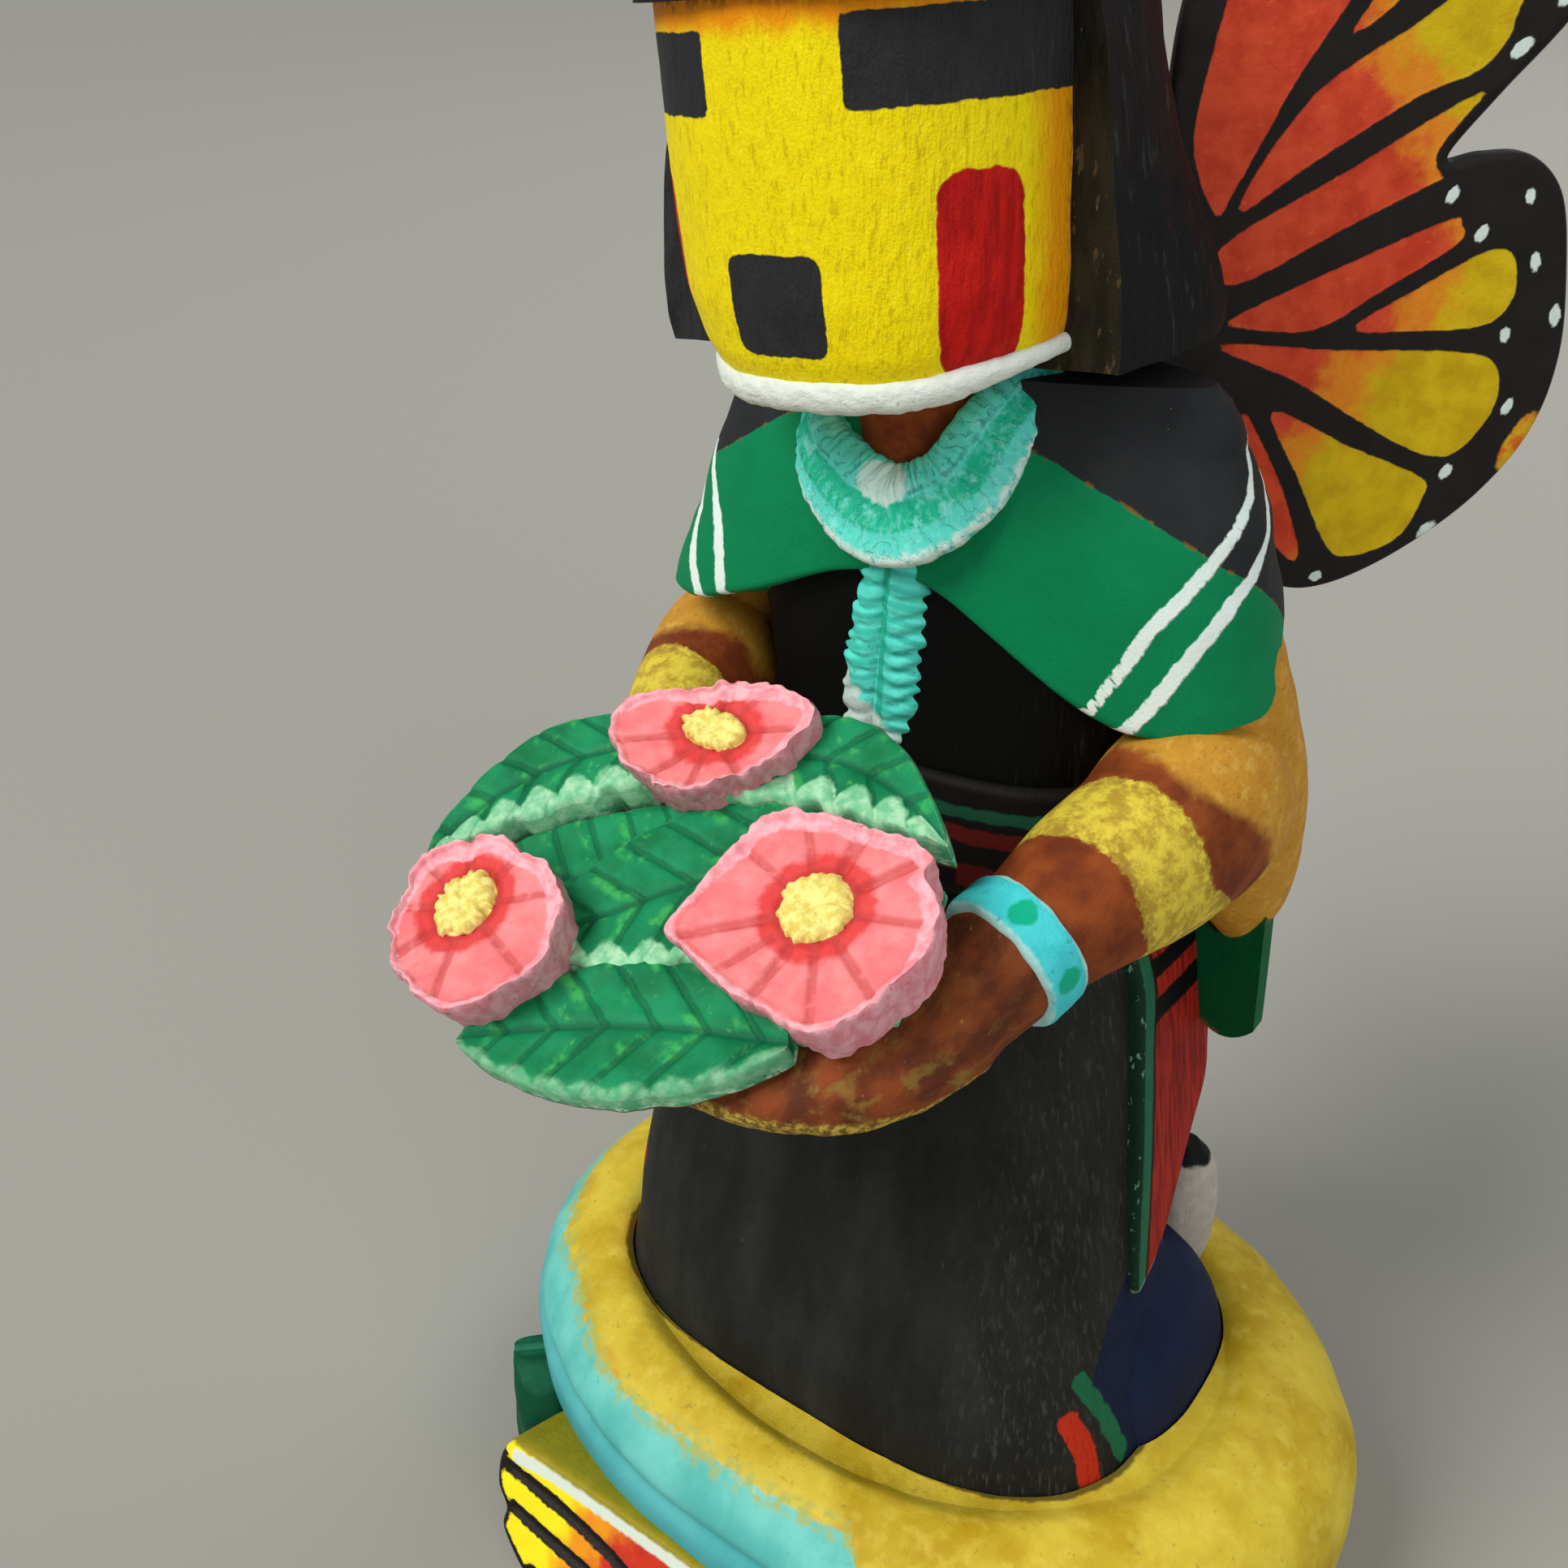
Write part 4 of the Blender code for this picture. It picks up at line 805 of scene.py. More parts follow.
def mask_paint():
    m = painted("mask", 0.5, 0.4, brush=0.13, stretch=(1, 1, 0.25), size=1.2, grain=0.05)
    eye, mouth, cheek = m.guide("pa")
    seam, z, u = m.guide("pb")
    col = m.mix(m.noise(9.0, 4.0, shift=1.0), lin("f2d800"), lin("fbe800"))
    streak = m.noise(1.0, 4.0, (1, 1, 0.12), 4.0)
    col = m.mix(m.ramp(streak, 0.55, 0.75) * 0.3, col, lin("dcc400"))
    fine = m.noise(0.55, 3.0, (1, 1, 0.3), 21.0)
    col = m.mix(m.ramp(fine, 0.54, 0.68) * 0.6, col, lin("cdb200"))
    col = m.mix((1.0 - m.ramp(fine, 0.30, 0.42)) * 0.4, col, lin("fff12e"))
    m.bump(fine * 0.26)
    m.bump(streak * 0.10)
    col = m.mix(m.ramp(m.noise(1.3, 5.0, (1, 1, 0.5), 6.0), 0.7, 0.76) * 0.35, col, lin("9c8a16"))
    rag = (m.noise(3.0, 4.0, (1, 1, 0.5), 2.0) - 0.5) * 5.0
    top = m.ramp(z + rag * 0.6, 235.4, 238.4)
    col = m.mix(top * 0.9, col, lin("f58a04"))
    side = m.ramp(u + rag * 0.8, 29.0, 33.5)
    col = m.mix(side * 0.85, col, lin("ea8c08"))
    brown = m.ramp(u + rag * 0.35, 34.6, 37.2)
    fleck = m.ramp(m.noise(0.9, 4.0, (1, 1, 0.5), 9.0), 0.44, 0.6)
    col = m.mix(brown * fleck * 0.85, col, lin("6b3a0c"))
    rough_top = m.ramp(z + rag * 0.5, 238.4, 240.4) * fleck
    col = m.mix(rough_top * 0.8, col, lin("5c3a14"))
    dark = m.mix(m.noise(2.4, 4.0, (1, 1, 0.4), 3.0), lin("202123"), lin("323334"))
    dark = m.mix(m.ramp(streak, 0.62, 0.78) * 0.4, dark, lin("515250"))
    d = eye.min(mouth)
    col = m.mix(m.inside(d, 0.12, 0.28, 1.1), col, dark)
    red = m.mix(m.ramp(m.noise(1.2, 4.0, (1, 1, 0.12), 5.0), 0.32, 0.68), lin("a60f0c"), lin("cc1a12"))
    red = m.mix(m.ramp(m.noise(0.9, 4.0, (1, 1, 0.3), 8.0), 0.72, 0.78) * 0.5, red, lin("e24a3a"))
    k = m.inside(cheek, 0.15, 0.35, 1.4)
    col = m.mix(k, col, red)
    line = m.ramp(seam + rag * 0.1, -0.7, 0.1)
    col = m.mix(line, col, lin("1c130b"))
    return m.done(col, 0.46 + m.noise(2.0, 3.0, (1, 1, 0.3)) * 0.18)


def chin_paint():
    m = painted("chin_white", 0.55, 0.35, brush=0.16, stretch=(0.7, 0.7, 1.3), size=1.3, grain=0.03)
    col = m.mix(m.noise(1.6, 4.0), lin("cdd8cc"), lin("eef3ec"))
    col = m.mix(m.ramp(m.noise(1.1, 4.0, shift=5.0), 0.66, 0.76) * 0.45, col, lin("8f9a88"))
    return m.done(col)


def neck_paint():
    m = painted("neck", 0.65, 0.3)
    return m.done(wood_red(m, 3.0))


def hair_paint():
    m = painted("hair_black", 0.6, 0.35, brush=0.32, stretch=(1, 1, 0.10), size=1.3, grain=0.06)
    col = m.mix(m.noise(8.0, 4.0, (1, 1, 0.4)), lin("0f1011"), lin("1c1d1f"))
    streak = m.noise(1.2, 5.0, (1, 1, 0.07), 4.0)
    col = m.mix(m.ramp(streak, 0.58, 0.72) * 0.4, col, lin("4b4d4e"))
    col = m.mix(m.ramp(m.noise(0.8, 4.0, (1, 1, 0.4), 9.0), 0.74, 0.79) * 0.5, col, lin("5c5348"))
    return m.done(col)


def strip_paint():
    m = painted("hair_strip", 0.66, 0.3, brush=0.22, stretch=(1, 1, 0.25), size=1.4, grain=0.06)
    col = m.mix(m.ramp(m.noise(3.0, 5.0, (1, 1, 0.3)), 0.3, 0.7), lin("191610"), lin("2f2a1c"))
    col = m.mix(m.ramp(m.noise(1.0, 5.0, (1, 1, 0.4), 6.0), 0.62, 0.7) * 0.7, col, lin("5a4a2c"))
    col = m.mix(m.ramp(m.noise(0.7, 4.0, (1, 1, 0.5), 3.0), 0.72, 0.78) * 0.6, col, lin("a08c58"))
    grey = m.mix(m.ramp(m.noise(3.0, 5.0, (1, 1, 0.3), 11.0), 0.3, 0.7), lin("232425"), lin("38393a"))
    col = m.mix(1.0 - m.ramp(m.x, -9.0, -4.0), col, grey)
    return m.done(col)


def sash_paint():
    m = painted("sash", 0.6, 0.35, brush=0.06, stretch=(1, 1, 0.12))
    d, back, low = m.guide("pa")
    streak = m.noise(1.3, 4.0, (1, 1, 0.08), 3.0)
    col = m.mix(m.ramp(streak, 0.34, 0.66), lin("7a1512"), lin("b02a1c"))
    wob = (m.noise(2.0, 3.0, (1, 1, 0.3), 5.0) - 0.5) * 0.8
    z = m.z + d * 0.135 + wob
    up = m.ramp(z, 105.4, 105.9)
    first = m.ramp(z, 105.4, 105.9) * (1.0 - m.ramp(z, 109.2, 109.7))
    second = m.ramp(z, 112.2, 112.7) * (1.0 - m.ramp(z, 115.2, 115.7))
    col = m.mix(first.max(second), col, lin("0b0a0a"))
    top = m.ramp(z, 118.0, 118.5)
    col = m.mix(top, col, lin("12100f"))
    green = m.mix(m.noise(3.0, 4.0), lin("1c5a40"), lin("2c7656"))
    front = 1.0 - m.ramp(d + wob, 3.2, 3.6)
    col = m.mix(front * (1.0 - top), col, green)
    line = (1.0 - m.ramp(abs(d + wob - 3.7), 0.35, 0.6))
    col = m.mix(line * 0.85, col, lin("0d0d0d"))
    lip = 1.0 - m.ramp(d + wob * 0.5, 0.4, 0.8)
    col = m.mix(lip * 0.8, col, lin("101311"))
    fleck = lip * m.ramp(m.noise(0.8, 3.0, (1, 1, 0.4), 9.0), 0.62, 0.68)
    col = m.mix(fleck * 0.8, col, lin("7fb49c"))
    col = m.mix((1.0 - m.ramp(low, 0.3, 0.9)) * m.ramp(m.noise(1.2, 3.0), 0.4, 0.55) * 0.7, col, lin("8e9a86"))
    return m.done(col)


def knob_paint():
    m = painted("knob", 0.6, 0.35, brush=0.07)
    col = m.mix(m.noise(2.0, 4.0), lin("9a9088"), lin("cfc8be"))
    col = m.mix(m.ramp(m.z + (m.noise(2.0, 3.0) - 0.5) * 1.6, 65.6, 66.3), col, lin("141414"))
    return m.done(col)


# ------------------------------------------------------------------ shapes of the figure
def body_grid(rows, z, n, p, grow, bumps):
    t = around(n, p)
    v = rows_at(rows, z, 3.0)
    x, y = section(v[:, None, :], t[None, :], 0.0)
    P = stack(x, y, z[:, None])
    N = outward(P)
    return P + N * (bumps(P) + grow)[..., None]


def skirt_points(grow=0.0, z0=SKIRT_FOOT, z1=182.0, m=102, n=146):
    def bumps(P):
        return 0.22 * noise(P, (13, 13, 26), 1, 2) + 0.05 * noise(P, (2.2, 2.2, 16), 2, 2) - 0.1
    return body_grid(SKIRT, np.linspace(z0, z1, m), n, 3.0, grow, bumps)


def lobe_points(side, grow=0.0, foot=HEM_LOBE[0][0]):
    def bumps(P):
        return 0.25 * noise(P, 9.0, 5, 2)
    P = body_grid(HEM_LOBE, np.linspace(foot, 61.0, 44), 90, 2.5, grow, bumps)
    return P if side > 0 else mirrored(P)


GREEN_STRIPE = ((40.6, -12.3, 57.0), (41.2, -12.0, 55.6), (44.0, -9.9, 49.9), (46.9, -8.7, 41.7))
RED_STRIPE = ((41.0, -15.6, 51.3), (43.3, -14.5, 46.1), (44.9, -15.1, 41.0), (45.2, -15.4, 36.0))


def stripe_guides(V):
    Q = np.array(V)
    Q[:, 0] = np.abs(Q[:, 0])
    g = line_dist(Q, GREEN_STRIPE) - 1.5
    r = line_dist(Q, RED_STRIPE) - 1.9
    dot = line_dist(V, (RED_DOT, RED_DOT + np.array([0, 0, 1.6]))) - 1.5
    front = np.interp(V[:, 2], *np.array(NAVY_EDGE).T)
    navy = np.maximum(front - Q[:, 1], V[:, 2] - 66.5)
    return stack(g, r, dot), stack(navy, 0 * g, 0 * g)


NAVY_EDGE = ((14.0, -8.0), (40.6, -8.5), (47.1, -8.9), (51.5, -10.0), (55.1, -10.9), (62.4, -4.7), (66.5, 2.2))
RED_DOT = np.array((-40.2, -15.8, 60.8))


def belt_points():
    z = np.linspace(BELT_Z0, BELT_Z1, 26)
    out = 0.3 + (BELT_OUT - 0.3) * smooth(0.0, 1.0, np.minimum(z - BELT_Z0, BELT_Z1 - z))
    v = rows_at(SKIRT, z, 3.0)
    v[:, 5] = 2.7
    t = around(180, 2.7)
    x, y = section(v[:, None, :], t[None, :], out[:, None])
    P = stack(x, y, z[:, None])
    return P + outward(P) * (0.12 * noise(P, 5.0, 8, 2))[..., None]


def hem_height(t):
    front = (np.degrees(t) + 90.0) % 360.0
    left = soft_interp(np.minimum(front, 180.0), HEM_LEFT, 6.0)
    right = soft_interp(np.minimum(360.0 - front, 180.0), HEM_RIGHT, 6.0)
    w = smooth(174.0, 186.0, front)
    near = np.where(front < 90.0, 1.0 - smooth(-6.0, 6.0, -front), 0.0)
    out = np.where(front <= 180.0, left, right)
    return np.where((front > 174.0) & (front < 186.0), left * (1 - w) + right * w, out) + 0.0 * near


def cape_points(grow=0.0, m=50, n=200):
    top = CAPE[0][0]
    t = around(n, 2.3)
    hem = hem_height(t) - grow + 0.5 * noise(stack(np.cos(t) * 30, np.sin(t) * 30, t * 0), 9.0, 3)
    rings = []
    for k in np.linspace(0, 1, m):
        z = top + (hem - top) * k ** 1.15
        v = rows_at(CAPE, z, 3.0)
        x, y = section(v, t, grow)
        x, y = x - v[:, 0], y - v[:, 1]
        c = x / (v[:, 2] + grow)
        x = x + np.interp(z, CAPE_OUT[:, 0], CAPE_OUT[:, 1]) * c * smooth(0.0, -12.0, x)
        x = x + np.interp(z, CAPE_LEFT[:, 0], CAPE_LEFT[:, 1]) * c * abs(c) * smooth(0.0, 6.0, x)
        rings.append(stack(v[:, 0] + x * math.cos(BODY_YAW) - y * math.sin(BODY_YAW),
                           v[:, 1] + x * math.sin(BODY_YAW) + y * math.cos(BODY_YAW), z))
    P = np.array(rings)
    N = outward(P)
    P = P + N * (0.3 * noise(P, 11.0, 21, 2) + 0.06 * noise(P, 2.0, 22) - 0.1)[..., None]
    edge = P[-1]
    mid = np.array([BODY_X, 13.0, 0.0])
    extra = []
    for f, drop in ((0.985, 0.35), (0.96, 0.45), (0.9, 0.4), (0.80, 0.3)):
        q = np.array(edge)
        q[:, 0] = mid[0] + (edge[:, 0] - mid[0]) * f
        q[:, 1] = mid[1] + (edge[:, 1] - mid[1]) * (f if f > 0.9 else f * 0.8)
        q[:, 2] = edge[:, 2] - drop
        extra.append(q)
    core = np.array(extra[-1])
    core[:, 0] = mid[0] + (core[:, 0] - mid[0]) * 0.3
    core[:, 1] = mid[1] + (core[:, 1] - mid[1]) * 0.3
    core[:, 2] = 166.0
    lid = np.array(P[0])
    lid[:, 2] += grow
    return np.concatenate([lid[None] + [0, 0, 0.01], P, np.array(extra), core[None]])


CAPE_BAND = ((0.0, 197.0), (45.0, 191.0), (55.0, 190.0), (62.5, 187.9), (71.7, 184.7), (77.1, 181.6), (82.7, 178.6),
             (87.0, 176.3), (90.0, 174.6), (95.0, 172.3), (105.0, 165.0), (118.0, 156.0), (135.0, 148.0), (180.0, 140.0))
CAPE_BAND_RIGHT = ((0.0, 197.0), (45.0, 193.5), (52.0, 192.5), (57.6, 190.4), (63.0, 187.3), (68.3, 184.3), (74.4, 181.5),
                   (80.0, 178.8), (86.0, 176.3), (90.0, 174.6), (95.0, 172.3), (105.0, 165.0), (118.0, 156.0),
                   (135.0, 148.0), (180.0, 140.0))
CAPE_LINES = (
    ((39.5, 17.5, 193.0), (40.5, 15.0, 189.0), (41.5, 13.0, 185.6), (41.8, 10.4, 182.8), (40.5, 7.3, 178.8), (38.1, 4.8, 174.8),
     (35.3, 2.5, 170.4), (32.5, 1.1, 164.7), (29.3, -0.2, 159.1), (28.2, -0.6, 157.0)),
    ((40.6, 20.5, 187.0), (42.0, 17.8, 183.9), (43.4, 15.6, 180.9), (43.9, 13.2, 178.0), (43.6, 10.8, 175.5), (42.6, 8.4, 173.2),
     (39.7, 5.1, 167.2), (37.7, 3.6, 163.1), (35.9, 2.6, 160.0), (34.2, 1.6, 157.3), (33.2, 1.0, 155.5)),
    ((-33.3, 8.0, 182.0), (-31.6, 2.4, 176.0), (-30.2, -0.4, 168.1), (-27.7, -2.8, 161.4), (-27.3, -3.2, 158.0)),
    ((-30.3, 3.2, 183.0), (-28.4, -0.6, 178.0), (-24.9, -2.8, 171.9), (-22.8, -3.4, 164.0), (-22.4, -3.4, 161.0)),
)


def cape_guides(V):
    front = np.degrees(np.abs(np.arctan2(V[:, 0] - 5.5, -(V[:, 1] - 12.0))))
    low = np.where(V[:, 0] > 5.5, soft_interp(front, CAPE_BAND, 4.0), soft_interp(front, CAPE_BAND_RIGHT, 4.0))
    band = V[:, 2] - low
    white = np.full(len(V), 1e3)

    def unroll(Q):
        a = np.arctan2(Q[:, 0] - 5.5, -(Q[:, 1] - 12.0))
        return np.c_[a * 33.0, Q[:, 2]]
    flat = unroll(V)
    for pts, half in zip(CAPE_LINES, (0.74, 0.78, 0.7, 0.7)):
        taper = half * (0.7 + 0.3 * smooth(190.0, 172.0, V[:, 2]))
        white = np.minimum(white, line_dist(flat, unroll(bspline(pts, 6))) - taper)
    t = np.arctan2(V[:, 1] - 12.0, V[:, 0] - 5.5)
    hem = np.abs(V[:, 2] - hem_height(t))
    return stack(band, white, hem), None


def tail_points(grow=0.0, n=80, m=56):
    def skin(off):
        rows = []
        u = np.linspace(-1, 1, n)
        for k in np.linspace(0, 1, m):
            low = TAIL_Z0 - grow + TAIL_RISE * (1 - np.abs(u) ** 1.4)
            low = low + 9.0 * (np.maximum(np.abs(u) - 0.8, 0) / 0.2) ** 2
            z = low + (TAIL_Z1 + grow - low) * k
            half = TAIL_HALF * (0.93 + 0.07 * min(1.0, 3.0 * k)) - 11.0 * k
            lift = 2.0 * (z - TAIL_Z0) / (TAIL_Z1 - TAIL_Z0)
            rows.append(stack(BODY_X + u * (half + grow), TAIL_Y - 6.0 * u * u - lift + off, z))
        P = np.array(rows)
        P[..., 1] += 0.25 * noise(P, (10, 10, 18), 31, 2) - 0.2
        return P
    return skin(-TAIL_THICK - grow), skin(grow)


def tail_guides(V):
    u = np.clip(np.abs(V[:, 0] - BODY_X) / 45.0, 0, 1)
    low = TAIL_Z0 + TAIL_RISE * (1 - u ** 1.4) + 9.0 * (np.maximum(u - 0.8, 0) / 0.2) ** 2
    half = TAIL_HALF - 11.0 * np.clip((V[:, 2] - low) / (TAIL_Z1 - low), 0, 1)
    edge = np.minimum(np.abs(V[:, 2] - low), np.abs(half - np.abs(V[:, 0] - BODY_X)))
    return stack(np.minimum(V[:, 2] - low, (half - np.abs(V[:, 0] - BODY_X)) * 1.6 + 4.0), edge, 0 * u), None


def limb_points(rows, per, n, side, bumps):
    pts = bspline(rows, per)
    p = pts[:, :3]
    t = np.gradient(p, axis=0)
    t /= np.linalg.norm(t, axis=1, keepdims=True)
    up = np.where(np.abs(t[:, 2:3]) < 0.75, [[0, 0, 1.0]], [[0, 1.0, 0]])
    u = np.cross(t, up)
    u /= np.linalg.norm(u, axis=1, keepdims=True)
    v = np.cross(u, t)
    a = np.arange(n) * 2 * np.pi / n
    r = (u[:, None] * (np.cos(a)[None, :, None] * pts[:, None, 3:4])
         + v[:, None] * (np.sin(a)[None, :, None] * pts[:, None, 4:5]))
    P = p[:, None] + r
    P = P + r / np.linalg.norm(r, axis=-1, keepdims=True) * bumps(P, a)[..., None]
    return P if side > 0 else other_arm(P)


def arm_in(y, z):
    return np.interp(y, ARM_IN[:, 0], ARM_IN[:, 1]) + ARM_TOP_IN * smooth(156.0, 168.0, z)


def other_arm(P):
    """The right arm: mirrored, with its shoulder and elbow nearer the body."""
    Q = mirrored(P)
    Q[..., 0] += arm_in(Q[..., 1], Q[..., 2])
    return Q


OCHRE_EDGE = ((125.0, 14.0), (133.0, 12.0), (141.0, 9.6), (146.0, 6.3), (150.2, 1.3), (153.1, -1.1), (155.0, -2.2), (160.0, -4.5))
HAND_CUTS = (((22.0, -40.0, 141.0), (15.0, -46.0, 137.6), (7.0, -51.0, 134.0)),
             ((34.5, -33.0, 134.0), (27.0, -44.0, 130.5), (16.0, -53.0, 128.0)),
             ((31.0, -35.0, 129.5), (23.0, -46.0, 126.8), (13.0, -53.5, 126.6)))


def arm_guides(V):
    Q = np.array(V)
    Q[:, 0] = np.where(Q[:, 0] > 0, Q[:, 0], arm_in(Q[:, 1], Q[:, 2]) - Q[:, 0])
    y, z = Q[:, 1], Q[:, 2]
    ochre = y - np.interp(z, *np.array(OCHRE_EDGE).T) - 0.4 * np.maximum(44.0 - Q[:, 0], 0) * smooth(148.0, 154.0, z)
    y_elbow = np.interp(z, (129.0, 136.0, 143.0), (7.0, 3.7, -4.5))
    y_hand = np.interp(z, (131.0, 137.0, 141.0), (-12.0, -12.8, -15.5))
    band = np.maximum(y - y_elbow, y_hand - y)
    hand = y + 29.0
    low = z - np.interp(y, (-54.0, -46.0, -38.0, -30.0), (128.8, 128.4, 129.0, 127.0)) + np.maximum(y + 31.0, 0) * 3
    cut = np.minimum.reduce([line_dist(Q, bspline(c, 4)) for c in HAND_CUTS]) - 0.2
    return stack(ochre, band, hand), stack(-y, low, cut)


def forearm_points(side):
    def bumps(P, a):
        Q = P.reshape(-1, 3)
        near = np.minimum.reduce([line_dist(Q, bspline(c, 4)) for c in HAND_CUTS]).reshape(P.shape[:2])
        far = smooth(-24.0, -34.0, P[..., 1])
        lump = 0.3 * noise(P, 7.0, 41, 2) + far * 0.45 * noise(P, 3.4, 42, 2)
        return lump - 0.7 * np.exp(-(near / 0.55) ** 2) * far
    return limb_points(FOREARM, 14, 68, side, bumps)


def upper_arm_points(side):
    return limb_points(ARM, 8, 60, side, lambda P, a: 0.3 * noise(P, 8.0, 43, 2))


def bracelet_points(side, n=84):
    rows = bspline(FOREARM, 4)
    mid = int(BRACELET_AT * 4)
    t = rows[mid + 1, :3] - rows[mid - 1, :3]
    t /= np.linalg.norm(t)
    p = rows[mid, :3]
    u = np.cross(t, (0, 0, 1.0))
    u /= np.linalg.norm(u)
    v = np.cross(u, t)
    a = np.arange(n) * 2 * np.pi / n
    k = np.linspace(-1, 1, 22)
    out = np.where(np.abs(k) > 0.999, -0.7, BRACELET_OUT * (1 - np.abs(k) ** 6 * 0.7))
    r = (u * np.cos(a)[:, None] * 1.0)[None] * (rows[mid, 3] + out)[:, None, None]
    r = r + (v * np.sin(a)[:, None])[None] * (rows[mid, 4] + out)[:, None, None]
    P = p + t * (k * BRACELET_HALF)[:, None, None] + r
    P += t * (0.35 * noise(stack(np.cos(a) * 9, np.sin(a) * 9, 0 * a), 3.0, 51))[None, :, None] * (np.abs(k) > 0.85)[:, None, None]
    P += r / np.linalg.norm(r, axis=-1, keepdims=True) * (0.22 * noise(P, 2.4, 52, 2))[..., None] * (np.abs(k) < 0.99)[:, None, None]
    return P if side > 0 else other_arm(P)


def bracelet_guides(V):
    Q = np.array(V)
    Q[:, 0] = np.where(Q[:, 0] > 0, Q[:, 0], arm_in(Q[:, 1], Q[:, 2]) - Q[:, 0])
    rows = bspline(FOREARM, 4)
    mid = int(BRACELET_AT * 4)
    t = rows[mid + 1, :3] - rows[mid - 1, :3]
    t /= np.linalg.norm(t)
    s = (Q - rows[mid, :3]) @ t
    r = Q - rows[mid, :3] - s[:, None] * t
    a = np.arctan2(r[:, 2], r[:, 0])
    oval = np.full(len(V), 1e3)
    for c in (1.25, 0.1, -1.05, 2.5, -2.4):
        d = np.abs((a - c + np.pi) % (2 * np.pi) - np.pi) * 8.4
        oval = np.minimum(oval, np.hypot(s / 1.9, d / 1.5) - 1.0)
    return stack(oval * 1.5, BRACELET_HALF - np.abs(s), 0 * s), None


def collar_frame(per):
    pts = bspline(COLLAR, per)
    p = pts[:, :3]
    t = np.gradient(p, axis=0)
    t /= np.linalg.norm(t, axis=1, keepdims=True)
    face = p - stack(COLLAR_MID[0] + 0 * p[:, 0], COLLAR_MID[1] + 0 * p[:, 0], p[:, 2] - 14.0)
    face /= np.linalg.norm(face, axis=1, keepdims=True)
    face -= t * (face * t).sum(1, keepdims=True)
    face /= np.linalg.norm(face, axis=1, keepdims=True)
    out = np.cross(t, face)
    mid = len(p) // 2
    if out[mid, 2] > 0:
        out = -out
    arc = np.concatenate([[0], np.cumsum(np.linalg.norm(np.diff(p, axis=0), axis=1))])
    return pts, t, face, out, arc - arc[mid]


def necklace_points(per=34, n=44):
    pts, t, face, out, arc = collar_frame(per)
    b = np.arange(n) * 2 * np.pi / n
    w, h = np.cos(b), np.sin(b)
    half = pts[:, 3] * (1.0 + 0.04 * noise(stack(arc, 0 * arc, 0 * arc), 1.1, 63, 2))
    P = pts[:, None, :3] + out[:, None] * (w[None] * half[:, None])[..., None]
    strand = 0.75 * smooth(-0.2, -0.34, w) + 0.35 * smooth(0.55, 0.42, w)
    notch = (0.5 + 0.5 * np.cos(arc[:, None] * 3.6 + 5.5 * noise(stack(arc[:, None], w[None] * 1.2, 0), 2.5, 61)))
    deep = 0.08 + 0.28 * smooth(-0.26, -0.4, w)[None] + 0.1 * smooth(0.5, 0.8, w)[None]
    up = (h > 0)
    lift = COLLAR_LIFT * (np.sign(h) * np.abs(h) ** 0.7)
    rise = (lift - 0.55)[None] + up[None] * (strand[None] - deep * notch ** 3 + 0.16 * noise(P, 1.3, 62))
    P = P + face[:, None] * rise[..., None]
    return P


def necklace_guides(V):
    pts, t, face, out, arc = collar_frame(12)
    d = np.linalg.norm(V[:, None] - pts[None, :, :3], axis=2)
    i = d.argmin(1)
    w = ((V - pts[i, :3]) * out[i]).sum(1) / pts[i, 3]
    a = arc[i] + ((V - pts[i, :3]) * t[i]).sum(1)
    patch = np.hypot((a + 0.4) / 5.6, (w + 0.56) / 0.46) - 1.0
    return stack(w, a, w * pts[i, 3]), stack(patch * 3.0, 0 * w, 0 * w)


def pendant_points(m=124, n=52):
    rows = np.array(((177.0, 4.2, 4.4), (168.0, 5.5, 4.0), (158.0, 6.1, 3.4), (151.5, 5.7, 3.0), (148.5, 4.3, 2.2)))
    z = np.linspace(177.0, 148.5, m)
    half = soft_interp(z, rows[::-1][:, (0, 1)], 2.0)
    lift = soft_interp(z, rows[::-1][:, (0, 2)], 2.0)
    a = np.arange(n) * 2 * np.pi / n
    c, s = np.cos(a), np.sin(a)
    x = (-0.6 + (z - 150.0) * 0.15)[:, None]
    bead = 0.5 + 0.5 * np.cos((z[:, None] + 1.2 * np.abs(c)[None] + 1.9 * noise(stack(c[None] * 3, z[:, None] / 3, 0), 1.4, 71, 2)) * 2 * np.pi / 2.6)
    front = smooth(0.2, -0.3, s)[None]
    X = x + (half[:, None] + 0.55 * (1 - bead) * np.abs(c)[None] + 0.5 * noise(stack(c[None] * 2, z[:, None], 0), 1.3, 72) * np.abs(c)[None]) * c[None]
    groove = np.exp(-(c[None] * half[:, None] / 0.7) ** 2)
    Y = -2.0 + np.where(s < 0, lift[:, None] * s[None], 2.5 * s[None])
    Y = Y + front * (0.95 * groove + 0.42 * bead ** 2 * (1 - groove))
    return stack(X, Y, z[:, None])


def pendant_guides(V):
    u = V[:, 0] - (0.8 + (V[:, 2] - 150.0) * 0.1)
    bead = 0.5 + 0.5 * np.cos((V[:, 2] + 1.2 * np.abs(u) / 4.5) * 2 * np.pi / 2.3)
    return stack(u, V[:, 2], bead ** 2), None


